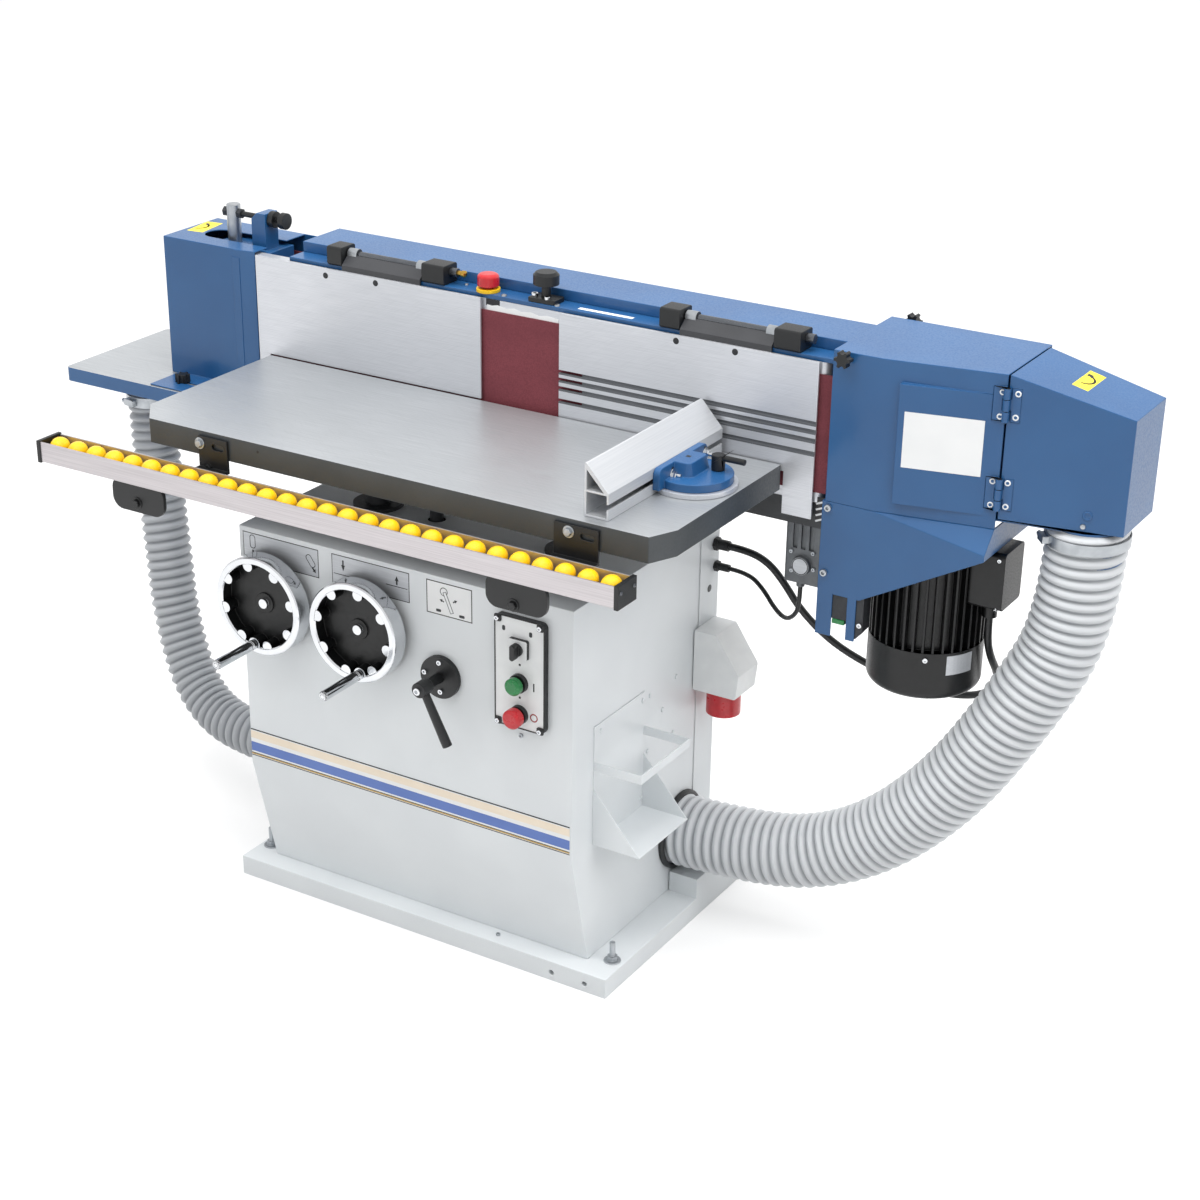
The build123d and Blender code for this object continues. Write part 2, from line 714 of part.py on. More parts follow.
# Tool tray: a folded sheet shelf with two gussets and a flat rim held off the wall
with BuildPart() as tool_tray:
    tray_x = (CAB_RIGHT, CAB_RIGHT + TRAY_SHEET)
    tray_out = CAB_RIGHT + TRAY_REACH
    block(tray_x, TRAY_Y, TRAY_Z)
    block((CAB_RIGHT, tray_out), TRAY_Y, (TRAY_Z[0], TRAY_Z[0] + TRAY_SHEET))
    for gusset_y in (TRAY_Y[0] + TRAY_SHEET, TRAY_Y[1]):
        with BuildSketch(front(gusset_y)):
            Polygon(
                (CAB_RIGHT, TRAY_Z[0]),
                (tray_out, TRAY_Z[0]),
                (CAB_RIGHT, TRAY_Z[0] + TRAY_GUSSET),
                align=None,
            )
        extrude(amount=TRAY_SHEET)
    with BuildSketch(level(STRAP_Z)):
        with Locations(((CAB_RIGHT + tray_out) / 2, sum(TRAY_Y) / 2)):
            Rectangle(TRAY_REACH, TRAY_Y[1] - TRAY_Y[0])
        with Locations(((CAB_RIGHT + tray_out) / 2 - STRAP_SHEET, sum(TRAY_Y) / 2)):
            Rectangle(TRAY_REACH, TRAY_Y[1] - TRAY_Y[0] - 2 * STRAP_SHEET, mode=Mode.SUBTRACT)
    extrude(amount=STRAP_HEIGHT)
save(tool_tray, "tool_tray")

# Mains inlet: a wedge-shaped housing on the wall wrap
with BuildPart() as inlet_housing:
    inlet_out = WALL_FACE + INLET_REACH
    with BuildSketch(front(INLET_Y[0])):
        Polygon(
            (WALL_FACE, INLET_Z),
            (WALL_FACE, INLET_Z + INLET_HEIGHT),
            (WALL_FACE + COLLAR_OUT, INLET_Z + INLET_HEIGHT),
            (inlet_out, INLET_Z + INLET_HEIGHT / 2.5),
            (inlet_out - OVER, INLET_Z),
            align=None,
        )
    extrude(amount=INLET_Y[0] - INLET_Y[1])
    fillet(inlet_housing.edges().filter_by(Axis.Y).sort_by(Axis.X)[2:], INLET_ROUND)
save(inlet_housing, "inlet_housing")

# Inlet collar: a round shroud that points down, with its contact pins
with BuildPart() as inlet_collar:
    collar_x = WALL_FACE + COLLAR_OUT
    collar_y = sum(INLET_Y) / 2
    with BuildSketch(level(INLET_Z)):
        with Locations((collar_x, collar_y)):
            Circle(COLLAR_R)
    extrude(amount=-COLLAR_LENGTH)
    with BuildSketch(level(INLET_Z - COLLAR_LENGTH)):
        with Locations((collar_x, collar_y)):
            Circle(COLLAR_R - COLLAR_WALL)
    extrude(amount=COLLAR_LENGTH - COLLAR_FLOOR, mode=Mode.SUBTRACT)
    with BuildSketch(level(INLET_Z - COLLAR_FLOOR)):
        with Locations((collar_x, collar_y)):
            with PolarLocations(INLET_PIN_CIRCLE, INLET_PINS):
                Circle(INLET_PIN_R)
    extrude(amount=-INLET_PIN_LENGTH)
save(inlet_collar, "inlet_collar")

# Cable glands on the wall wrap: a hexagon and a dome each
with BuildPart() as cable_glands:
    for gland_y, gland_z, cable_r in (
        (MOTOR_GLAND_Y, MOTOR_GLAND_Z, MOTOR_CABLE_R),
        (OSC_GLAND_Y, OSC_GLAND_Z, OSC_CABLE_R),
    ):
        with BuildSketch(side(WALL_FACE)):
            with Locations((gland_y, gland_z)):
                RegularPolygon(cable_r + GLAND_WALL, 6)
        extrude(amount=GLAND_HEX)
        with BuildSketch(side(WALL_FACE + GLAND_HEX), side(WALL_FACE + GLAND_LENGTH)):
            with Locations((gland_y, gland_z)):
                Circle(cable_r + GLAND_WALL / 2)
        loft(ruled=True)
save(cable_glands, "cable_glands")

# Control box: a flat box with a raised rim and two button collars
with BuildPart() as control_box:
    with BuildSketch(front(CAB_FRONT)):
        with Locations((PANEL_X, PANEL_Z)):
            RectangleRounded(PANEL_WIDTH, PANEL_HEIGHT, PANEL_CORNER)
    extrude(amount=PANEL_DEPTH)
    with BuildSketch(front(PANEL_FACE)):
        with Locations((PANEL_X, PANEL_Z)):
            RectangleRounded(
                PANEL_WIDTH - 2 * PANEL_RIM, PANEL_HEIGHT - 2 * PANEL_RIM, PANEL_CORNER - PANEL_RIM
            )
    extrude(amount=-PANEL_RECESS, mode=Mode.SUBTRACT)
    with BuildSketch(front(PANEL_FACE + PANEL_RECESS)):
        with Locations((SWITCH_X, START_Z), (SWITCH_X, STOP_Z)):
            Circle(BEZEL_R)
    extrude(amount=PANEL_RECESS + BEZEL_RISE)
    with BuildSketch(front(PANEL_FACE - BEZEL_RISE)):
        with Locations((SWITCH_X, START_Z), (SWITCH_X, STOP_Z)):
            Circle(BUTTON_NECK_R + SLIP)
    extrude(amount=-(BEZEL_RISE + BUTTON_DEPTH + BUTTON_TRAVEL), mode=Mode.SUBTRACT)
    with BuildSketch(front(PANEL_FACE + PANEL_RECESS)):
        with Locations((SWITCH_X, SWITCH_Z)):
            RectangleRounded(SWITCH_BASE[0], SWITCH_BASE[1], SWITCH_BASE_CORNER)
    extrude(amount=SWITCH_BASE[2])
    switch_face = PANEL_FACE + PANEL_RECESS - SWITCH_BASE[2]
    with BuildSketch(front(switch_face)):
        with Locations((SWITCH_X, SWITCH_Z)):
            Circle(SWITCH_SHAFT_R + RUN)
    extrude(amount=-(SWITCH_BASE[2] + BUTTON_DEPTH), mode=Mode.SUBTRACT)
save(control_box, "control_box")

# Rotary switch: a disc with a grip bar on a shaft through the square base of the panel
with BuildPart() as switch_knob:
    switch_back = switch_face - SLIP
    switch_at = (SWITCH_X, SWITCH_Z)
    with BuildSketch(front(switch_back)):
        with Locations(switch_at):
            Circle(SWITCH_R)
    extrude(amount=SWITCH_DISC)
    with BuildSketch(front(switch_back - SWITCH_DISC)):
        with Locations(switch_at):
            SlotOverall(SWITCH_GRIP[0], SWITCH_GRIP[1], rotation=90)
    extrude(amount=SWITCH_RISE)
    with BuildSketch(front(switch_back)):
        with Locations(switch_at):
            Circle(SWITCH_SHAFT_R)
    extrude(amount=-(SWITCH_BASE[2] + BUTTON_DEPTH - SLIP))
save(switch_knob, "switch_knob")


def push_button(z, cap_r, cap):
    """Adds a push button: a rounded cap on a neck that slides in its collar."""
    cap_back = PANEL_FACE - BEZEL_RISE - BUTTON_TRAVEL - SLIP
    bar((SWITCH_X, cap_back, z), (SWITCH_X, cap_back - cap, z), cap_r)
    chamfer(faces().sort_by(Axis.Y)[0].edges(), BUTTON_TRAVEL)
    neck_end = cap_back + BUTTON_TRAVEL + BEZEL_RISE + BUTTON_DEPTH
    bar((SWITCH_X, cap_back, z), (SWITCH_X, neck_end, z), BUTTON_NECK_R)


with BuildPart() as start_button:
    push_button(START_Z, BUTTON_R, BUTTON_CAP)
save(start_button, "start_button")

with BuildPart() as stop_button:
    push_button(STOP_Z, STOP_R, STOP_CAP)
save(stop_button, "stop_button")

# Flanged bearings of the two handwheels and the clamp spindle on the cabinet front
with BuildPart() as front_bearings:
    for at_x, at_z, flange_r, flange, bore_r in (
        (TILT_WHEEL_X, WHEEL_Z, BEARING_R, BEARING_FLANGE, SHAFT_R),
        (LIFT_WHEEL_X, WHEEL_Z, BEARING_R, BEARING_FLANGE, SHAFT_R),
        (CLAMP_X, CLAMP_Z, CLAMP_FLANGE_R, CLAMP_FLANGE, CLAMP_SPINDLE_R),
    ):
        bar((at_x, CAB_FRONT, at_z), (at_x, CAB_FRONT - flange, at_z), flange_r)
        bar((at_x, CAB_FRONT, at_z), (at_x, CAB_FRONT + BEARING_DEPTH, at_z), BEARING_SPIGOT_R)
        bar(
            (at_x, CAB_FRONT - flange - OVER, at_z),
            (at_x, CAB_FRONT + BEARING_DEPTH + OVER, at_z),
            bore_r + RUN,
            mode=Mode.SUBTRACT,
        )
save(front_bearings, "front_bearings")


def handwheel(at_x, grip_angle, shaft_end):
    """Adds a cup-shaped handwheel with finger lobes inside its rim, its shaft and the pin of its grip."""
    axis = Axis((at_x, 0, WHEEL_Z), (0, 1, 0))
    rim_r = WHEEL_R - RIM_WIDTH / 2
    with BuildSketch(Plane(origin=(at_x, 0, WHEEL_Z))) as profile:
        with Locations((rim_r, WHEEL_PLANE)):
            Rectangle(RIM_WIDTH, RIM_DEPTH)
        chamfer(vertices(), RIM_CHAMFER)
        Polygon(
            (0, DISH_BACK),
            (HUB_R, DISH_BACK),
            (HUB_R, DISH_FRONT + DISH_SHEET),
            (rim_r, DISH_FRONT + DISH_SHEET),
            (rim_r, DISH_FRONT),
            (HUB_R, DISH_FRONT),
            (HUB_R, DISH_FRONT - HUB_RISE),
            (HUB_CAP_R, DISH_FRONT - HUB_RISE),
            (HUB_CAP_R, DISH_FRONT - HUB_RISE - HUB_CAP),
            (0, DISH_FRONT - HUB_RISE - HUB_CAP),
            align=None,
        )
    revolve(profile.sketch, axis=axis)
    pin_x, pin_z = grip_place(at_x, grip_angle)
    with BuildSketch(front(DISH_FRONT)) as lobes:
        with Locations((at_x, WHEEL_Z)):
            with PolarLocations(LOBE_CIRCLE, LOBES, start_angle=grip_angle + HALF_TURN / LOBES):
                Circle(LOBE_R)
        with Locations((pin_x, pin_z)):
            Circle(PIN_BOSS_R)
    extrude(lobes.sketch, amount=DISH_FRONT - WHEEL_PLANE + RIM_DEPTH / 2 - LOBE_SETBACK)
    bar((at_x, DISH_BACK, WHEEL_Z), (at_x, shaft_end, WHEEL_Z), SHAFT_R)
    bar((pin_x, WHEEL_PLANE, pin_z), (pin_x, GRIP_END, pin_z), GRIP_PIN_R)


def grip_place(at_x, grip_angle):
    """X and Z of a grip's axis on its wheel."""
    turn = math.radians(grip_angle)
    return at_x + GRIP_CIRCLE * math.cos(turn), WHEEL_Z + GRIP_CIRCLE * math.sin(turn)


def turned_grip(at_x, grip_angle):
    """Adds a turned grip with a collar, a neck and a bore for the pin of its wheel."""
    pin_x, pin_z = grip_place(at_x, grip_angle)
    with BuildSketch(Plane(origin=(pin_x, 0, pin_z))) as profile:
        Polygon(
            (GRIP_PIN_R + RUN, GRIP_BASE),
            (GRIP_R, GRIP_BASE),
            (GRIP_R, GRIP_BASE - GRIP_COLLAR),
            (GRIP_NECK_R, GRIP_BASE - GRIP_COLLAR),
            (GRIP_NECK_R, GRIP_BASE - GRIP_COLLAR - GRIP_NECK),
            (GRIP_R, GRIP_BASE - GRIP_COLLAR - GRIP_NECK),
            (GRIP_R, GRIP_END + GRIP_DOME),
            (GRIP_R - GRIP_DOME, GRIP_END),
            (GRIP_PIN_R + RUN, GRIP_END),
            align=None,
        )
    revolve(profile.sketch, axis=Axis((pin_x, 0, pin_z), (0, 1, 0)))


with BuildPart() as tilt_wheel:
    handwheel(TILT_WHEEL_X, TILT_GRIP_ANGLE, CASE_FRONT + CASE_BORE - SLIP)
save(tilt_wheel, "tilt_wheel")

with BuildPart() as tilt_grip:
    turned_grip(TILT_WHEEL_X, TILT_GRIP_ANGLE)
save(tilt_grip, "tilt_grip")

with BuildPart() as lift_wheel:
    handwheel(LIFT_WHEEL_X, LIFT_GRIP_ANGLE, LIFT_Y - GEARBOX_DEPTH / 2 + GEARBOX_BORE - SLIP)
save(lift_wheel, "lift_wheel")

with BuildPart() as lift_grip:
    turned_grip(LIFT_WHEEL_X, LIFT_GRIP_ANGLE)
save(lift_grip, "lift_grip")

# Clamp lever: a spindle, a hub and an arm with a thicker grip
with BuildPart() as clamp_lever:
    hub_back = CAB_FRONT - CLAMP_STANDOFF
    arm_y = hub_back - CLAMP_HUB / 2
    arm_turn = math.radians(CLAMP_ANGLE)
    arm_way = Vector(math.cos(arm_turn), 0, math.sin(arm_turn))
    hub_at = Vector(CLAMP_X, arm_y, CLAMP_Z)
    bar((CLAMP_X, CAB_FRONT + BEARING_DEPTH, CLAMP_Z), (CLAMP_X, hub_back, CLAMP_Z), CLAMP_SPINDLE_R)
    bar((CLAMP_X, hub_back, CLAMP_Z), (CLAMP_X, hub_back - CLAMP_HUB, CLAMP_Z), CLAMP_HUB_R)
    grip_start = hub_at + arm_way * (CLAMP_ARM - CLAMP_GRIP)
    with BuildSketch(Plane(origin=hub_at, z_dir=arm_way)):
        Circle(CLAMP_ARM_R)
    with BuildSketch(Plane(origin=grip_start, z_dir=arm_way)):
        Circle(CLAMP_GRIP_R)
    loft()
    bar(grip_start, hub_at + arm_way * CLAMP_ARM, CLAMP_GRIP_R)
save(clamp_lever, "clamp_lever")

# Lift gearbox on a shelf across the cabinet, with the two guide sleeves
with BuildPart() as lift_guides:
    shelf_y = (LIFT_Y - SHELF_DEPTH / 2, LIFT_Y + SHELF_DEPTH / 2)
    block((CAB_LEFT + CAB_WALL, CAB_RIGHT - CAB_WALL), shelf_y, (SHELF_TOP - SHELF_THICK, SHELF_TOP))
    block(
        (LIFT_WHEEL_X - GEARBOX_HALF, LIFT_WHEEL_X + GEARBOX_HALF),
        (LIFT_Y - GEARBOX_DEPTH / 2, LIFT_Y + GEARBOX_DEPTH / 2),
        (SHELF_TOP, WHEEL_Z + GEARBOX_HALF),
    )
    column_places = ((-COLUMN_X, LIFT_Y), (COLUMN_X, LIFT_Y))
    with BuildSketch(level(SHELF_TOP)):
        with Locations(*column_places):
            Circle(SLEEVE_R)
    extrude(amount=CAB_TOP - SHELF_TOP)
    with BuildSketch(level(CAB_TOP)):
        with Locations(*column_places):
            Circle(SLEEVE_FLANGE_R)
    extrude(amount=SLEEVE_FLANGE)
    with BuildSketch(level(SHELF_TOP - SHELF_THICK)):
        with Locations(*column_places):
            Circle(COLUMN_R + RUN)
        with Locations((LIFT_WHEEL_X, LIFT_Y)):
            Circle(SCREW_R + RUN)
    extrude(amount=CAB_TOP + SLEEVE_FLANGE, mode=Mode.SUBTRACT)
    bar(
        (LIFT_WHEEL_X, LIFT_Y - GEARBOX_DEPTH / 2, WHEEL_Z),
        (LIFT_WHEEL_X, LIFT_Y - GEARBOX_DEPTH / 2 + GEARBOX_BORE, WHEEL_Z),
        SHAFT_R + RUN,
        mode=Mode.SUBTRACT,
    )
save(lift_guides, "lift_guides")

# Lift beam under the table with the two guide columns and the lift screw
with BuildPart() as table_lift:
    block((-LIFT_BEAM_HALF, LIFT_BEAM_HALF), LIFT_BEAM_Y, (LIFT_BEAM_BOTTOM, LIFT_BEAM_TOP))
    with BuildSketch(level(LIFT_BEAM_BOTTOM)):
        with Locations((-COLUMN_X, LIFT_Y), (COLUMN_X, LIFT_Y)):
            Circle(COLUMN_R)
        with Locations((LIFT_WHEEL_X, LIFT_Y)):
            Circle(SCREW_R)
    extrude(amount=-COLUMN_LENGTH)
save(table_lift, "table_lift")


def table_outline():
    """Adds the outline of the table with its two clipped front corners."""
    Polygon(
        (TABLE_X[0] + TABLE_CUT_LEFT[0], TABLE_Y[0]),
        (TABLE_X[1] - TABLE_CUT_RIGHT[0], TABLE_Y[0]),
        (TABLE_X[1], TABLE_Y[0] + TABLE_CUT_RIGHT[1]),
        (TABLE_X[1], TABLE_Y[1]),
        (TABLE_X[0], TABLE_Y[1]),
        (TABLE_X[0], TABLE_Y[0] + TABLE_CUT_LEFT[1]),
        align=None,
    )


# Table: a cast plate with a deep apron, cross ribs and the hole of the gauge pivot, open below
with BuildPart() as table_top:
    with BuildSketch(level(LIFT_BEAM_TOP)):
        table_outline()
    extrude(amount=TABLE_THICK)
    with BuildSketch(level(LIFT_BEAM_TOP)):
        table_outline()
        offset(amount=-TABLE_APRON, kind=Kind.INTERSECTION)
        with Locations((sum(TABLE_X) / 2, sum(TABLE_Y) / 2)):
            with GridLocations((TABLE_X[1] - TABLE_X[0]) / (TABLE_RIBS + 1), 1, TABLE_RIBS, 1):
                Rectangle(TABLE_RIB, TABLE_Y[1] - TABLE_Y[0], mode=Mode.SUBTRACT)
    extrude(amount=TABLE_THICK - TABLE_PLATE, mode=Mode.SUBTRACT)
    with BuildSketch(level(TABLE_TOP)):
        with Locations((GAUGE_X, GAUGE_Y)):
            Circle(GAUGE_PIN_R + RUN)
    extrude(amount=-TABLE_PLATE, mode=Mode.SUBTRACT)
save(table_top, "table_top")

# Two slotted brackets that carry the roller rail on the front of the table
with BuildPart() as rail_brackets:
    for bracket_x in (BRACKET_LEFT_X, BRACKET_RIGHT_X):
        with BuildSketch(side(bracket_x[0])):
            Polygon(
                (TABLE_Y[0], BRACKET_Z[0]),
                (TABLE_Y[0], BRACKET_Z[1]),
                (TABLE_Y[0] - BRACKET_SHEET, BRACKET_Z[1]),
                (TABLE_Y[0] - BRACKET_SHEET, BRACKET_Z[0] + BRACKET_SHEET),
                (RAIL_Y[1], BRACKET_Z[0] + BRACKET_SHEET),
                (RAIL_Y[1], BRACKET_Z[0]),
                align=None,
            )
        extrude(amount=bracket_x[1] - bracket_x[0])
        with BuildSketch(front(TABLE_Y[0])):
            slot_z = BRACKET_Z[1] - 3 * BRACKET_SLOT_R
            with Locations((bracket_x[1] - 4 * BRACKET_SLOT_R, slot_z)):
                SlotOverall(5 * BRACKET_SLOT_R, 2 * BRACKET_SLOT_R)
        extrude(amount=BRACKET_SHEET, mode=Mode.SUBTRACT)
save(rail_brackets, "rail_brackets")

# Roller rail: a channel open above
with BuildPart() as roller_rail:
    with BuildSketch(side(RAIL_X[0])):
        Polygon(
            (RAIL_Y[0], RAIL_Z[0]),
            (RAIL_Y[1], RAIL_Z[0]),
            (RAIL_Y[1], RAIL_Z[1]),
            (RAIL_Y[1] - RAIL_SHEET, RAIL_Z[1]),
            (RAIL_Y[1] - RAIL_SHEET, RAIL_Z[0] + RAIL_SHEET),
            (RAIL_Y[0] + RAIL_SHEET, RAIL_Z[0] + RAIL_SHEET),
            (RAIL_Y[0] + RAIL_SHEET, RAIL_Z[1]),
            (RAIL_Y[0], RAIL_Z[1]),
            align=None,
        )
    extrude(amount=RAIL_X[1] - RAIL_X[0])
save(roller_rail, "roller_rail")

# Crowned rollers of the rail, each on a square axle from wall to wall
with BuildPart() as rollers:
    roller_z = RAIL_Z[1] + ROLLER_RISE - ROLLER_R
    rail_middle = (sum(RAIL_X) / 2, roller_z)
    roller_pitch = (RAIL_X[1] - RAIL_X[0]) / ROLLERS
    with BuildSketch(front(sum(RAIL_Y) / 2 + ROLLER_WIDTH / 2)):
        with Locations(rail_middle):
            with GridLocations(roller_pitch, 1, ROLLERS, 1):
                Circle(ROLLER_R)
    extrude(amount=ROLLER_WIDTH)
    chamfer(rollers.edges().filter_by(GeomType.CIRCLE), ROLLER_CROWN)
    with BuildSketch(front(RAIL_Y[1] - RAIL_SHEET)):
        with Locations(rail_middle):
            with GridLocations(roller_pitch, 1, ROLLERS, 1):
                Rectangle(AXLE, AXLE)
    extrude(amount=RAIL_Y[1] - RAIL_Y[0] - 2 * RAIL_SHEET)
save(rollers, "rollers")

# Rail end caps and the two rounded pads under the rail
with BuildPart() as rail_trim:
    cap_y = (RAIL_Y[0] - CAP_LIP, RAIL_Y[1] + CAP_LIP)
    cap_z = (RAIL_Z[0] - CAP_LIP, RAIL_Z[1] + CAP_LIP)
    block((RAIL_X[0] - CAP_THICK, RAIL_X[0]), cap_y, cap_z)
    block((RAIL_X[1], RAIL_X[1] + CAP_THICK), cap_y, cap_z)
    for pad_x in (PAD_LEFT_X, PAD_RIGHT_X):
        with BuildSketch(front(RAIL_Y[0] + PAD_SETBACK + PAD_THICK)):
            with Locations((sum(pad_x) / 2, RAIL_Z[0] - PAD_HEIGHT / 2)):
                Rectangle(pad_x[1] - pad_x[0], PAD_HEIGHT)
            fillet(vertices().group_by(Axis.Z)[0], PAD_ROUND)
        extrude(amount=PAD_THICK)
save(rail_trim, "rail_trim")

def gauge_outline(radius):
    """Adds a round outline about the gauge pivot, cut off flat where it meets the fence."""
    with Locations((GAUGE_X, GAUGE_Y)):
        Circle(radius)
    with Locations((FENCE_X[1] - radius, GAUGE_Y)):
        Rectangle(2 * radius, 3 * radius, mode=Mode.SUBTRACT)


# Graduated disc of the mitre gauge, flat on the side of the fence
with BuildPart() as gauge_disc:
    with BuildSketch(level(TABLE_TOP + SLIP)):
        gauge_outline(GAUGE_R)
        with Locations((GAUGE_X, GAUGE_Y)):
            Circle(GAUGE_PIN_R + RUN, mode=Mode.SUBTRACT)
    extrude(amount=GAUGE_DISC)
save(gauge_disc, "gauge_disc")

# Stop fence: an extruded profile with a box below, a sloped face above and slots in both sides
with BuildPart() as stop_fence:
    fence_low = TABLE_TOP + SLIP
    fence_bend = TABLE_TOP + FENCE_BOX
    fence_high = TABLE_TOP + FENCE_HEIGHT
    with BuildSketch(front(FENCE_Y[1])):
        Polygon(
            (FENCE_X[0], fence_low),
            (FENCE_X[1], fence_low),
            (FENCE_X[1], fence_bend),
            (FENCE_X[0] + FENCE_WALL, fence_high),
            (FENCE_X[0], fence_high),
            align=None,
        )
        Polygon(
            (FENCE_X[0] + FENCE_WALL, fence_low + FENCE_WALL),
            (FENCE_X[1] - FENCE_WALL, fence_low + FENCE_WALL),
            (FENCE_X[1] - FENCE_WALL, fence_bend - FENCE_WALL),
            (FENCE_X[0] + FENCE_WALL, fence_bend - FENCE_WALL),
            align=None,
            mode=Mode.SUBTRACT,
        )
        Polygon(
            (FENCE_X[0] + FENCE_WALL, fence_bend),
            (FENCE_X[1] - 2.5 * FENCE_WALL, fence_bend),
            (FENCE_X[0] + FENCE_WALL, fence_high - 3 * FENCE_WALL),
            align=None,
            mode=Mode.SUBTRACT,
        )
        with Locations((FENCE_X[1] - FENCE_WALL / 2, (fence_low + fence_bend) / 2)):
            Rectangle(2 * FENCE_WALL, FENCE_SLOT, mode=Mode.SUBTRACT)
    extrude(amount=FENCE_Y[1] - FENCE_Y[0])
save(stop_fence, "stop_fence")

# Gauge body: a casting on the disc, with a plate against the fence, a tapered boss and its pivot pin
with BuildPart() as gauge_body:
    body_low = TABLE_TOP + SLIP + GAUGE_DISC
    body_top = body_low + GAUGE_PLATE
    with BuildSketch(level(body_low)):
        gauge_outline(GAUGE_R - GAUGE_STEP)
    extrude(amount=GAUGE_PLATE)
    ear_x = (FENCE_X[1], FENCE_X[1] + GAUGE_WALL)
    block(ear_x, (GAUGE_Y - GAUGE_EAR, GAUGE_Y + GAUGE_EAR), (body_low, body_low + GAUGE_RISE))
    fillet(gauge_body.edges().filter_by(Axis.X).group_by(Axis.Z)[-1], GAUGE_WALL)
    with BuildSketch(level(body_top)):
        with Locations((FENCE_X[1] + GAUGE_BOSS_REACH / 2, GAUGE_Y)):
            Rectangle(GAUGE_BOSS_REACH, 2 * GAUGE_BOSS_HALF)
        fillet(vertices().group_by(Axis.X)[-1], GAUGE_WALL)
    extrude(amount=GAUGE_BOSS, taper=GAUGE_DRAFT)
    bar((GAUGE_X, GAUGE_Y, TABLE_TOP - TABLE_PLATE + SLIP), (GAUGE_X, GAUGE_Y, body_top), GAUGE_PIN_R)
    bar(
        (LEVER_X, LEVER_Y, body_low),
        (LEVER_X, LEVER_Y, body_top),
        LEVER_STUD_R + RUN,
        mode=Mode.SUBTRACT,
    )
save(gauge_body, "gauge_body")

# Clamping lever of the gauge: a hub on a stud and one arm
with BuildPart() as gauge_lever:
    lever_low = body_top + SLIP
    arm_z = lever_low + LEVER_HUB - LEVER_ARM_R
    bar((LEVER_X, LEVER_Y, body_low), (LEVER_X, LEVER_Y, lever_low), LEVER_STUD_R)
    bar((LEVER_X, LEVER_Y, lever_low), (LEVER_X, LEVER_Y, lever_low + LEVER_HUB), LEVER_HUB_R)
    bar((LEVER_X, LEVER_Y, arm_z), (LEVER_X + LEVER_ARM, LEVER_Y, arm_z), LEVER_ARM_R)
save(gauge_lever, "gauge_lever")

# Trunnions: the tilt gear case at the left reaches down to its handwheel shaft, a plain bracket is right
with BuildPart() as trunnions:
    case_x = (TILT_WHEEL_X - CASE_WIDTH / 2, TILT_WHEEL_X + CASE_WIDTH / 2)
    case_y = (CASE_FRONT, CAB_BACK - CAB_WALL)
    block(case_x, case_y, (CASE_FLOOR, CAB_TOP))
    left_face = -EAR_X - EAR_THICK / 2 - TRUNNION_GAP
    right_face = EAR_X + EAR_THICK / 2 + TRUNNION_GAP
    for face, out in ((left_face, -1), (right_face, 1)):
        far = face + out * TRUNNION_THICK
        foot_x = (min(face, far) - TRUNNION_FOOT, max(face, far) + TRUNNION_FOOT)
        block(foot_x, (case_y[0] - TRUNNION_FOOT / 2, CAB_BACK), (CAB_TOP, CAB_TOP + TRUNNION_FLANGE))
        with BuildSketch(side(min(face, far))):
            with Locations((PIVOT_Y, PIVOT_Z)):
                Circle(TRUNNION_R)
            with Locations((PIVOT_Y, (CAB_TOP + PIVOT_Z) / 2)):
                Rectangle(2 * TRUNNION_R, PIVOT_Z - CAB_TOP)
        extrude(amount=TRUNNION_THICK)
        pin_end = face - out * (TRUNNION_GAP + EAR_THICK)
        bar((far, PIVOT_Y, PIVOT_Z), (pin_end, PIVOT_Y, PIVOT_Z), PIN_R)
    bar(
        (TILT_WHEEL_X, CASE_FRONT, WHEEL_Z),
        (TILT_WHEEL_X, CASE_FRONT + CASE_BORE, WHEEL_Z),
        SHAFT_R + RUN,
        mode=Mode.SUBTRACT,
    )
save(trunnions, "trunnions")

# Unit beam: a box section with two pivot ears, two arms for the side table and two upright guide rods
with BuildPart() as unit_beam:
    with BuildSketch(side(BEAM_X[0])):
        with Locations((sum(BEAM_Y) / 2, sum(BEAM_Z) / 2)):
            Rectangle(BEAM_Y[1] - BEAM_Y[0], BEAM_Z[1] - BEAM_Z[0])
            Rectangle(
                BEAM_Y[1] - BEAM_Y[0] - 2 * BEAM_WALL,
                BEAM_Z[1] - BEAM_Z[0] - 2 * BEAM_WALL,
                mode=Mode.SUBTRACT,
            )
    extrude(amount=BEAM_X[1] - BEAM_X[0])
    for ear_x in (-EAR_X, EAR_X):
        with BuildSketch(side(ear_x - EAR_THICK / 2)):
            with Locations((PIVOT_Y, PIVOT_Z)):
                Circle(EAR_R)
            Polygon(
                (BEAM_Y[1], BEAM_Z[0]),
                (PIVOT_Y, PIVOT_Z - EAR_R),
                (PIVOT_Y, PIVOT_Z + EAR_R),
                (BEAM_Y[1], BEAM_Z[1]),
                align=None,
            )
            with Locations((PIVOT_Y, PIVOT_Z)):
                Circle(PIN_R + RUN, mode=Mode.SUBTRACT)
        extrude(amount=EAR_THICK)
    for arm_y in ARMS_Y:
        block(
            (ARM_LEFT, ARM_RIGHT),
            (arm_y - ARM_SIZE / 2, arm_y + ARM_SIZE / 2),
            (BEAM_Z[0] - ARM_SIZE, BEAM_Z[0]),
        )
    for rod_x in (-ROD_X, ROD_X):
        bar((rod_x, ROD_Y, BEAM_Z[1]), (rod_x, ROD_Y, TOP_Z), ROD_R)
    bar(
        (PUSH_X, ROD_Y, BEAM_Z[0] - OVER),
        (PUSH_X, ROD_Y, BEAM_Z[1] + OVER),
        PUSH_R + PORT_GAP,
        mode=Mode.SUBTRACT,
    )
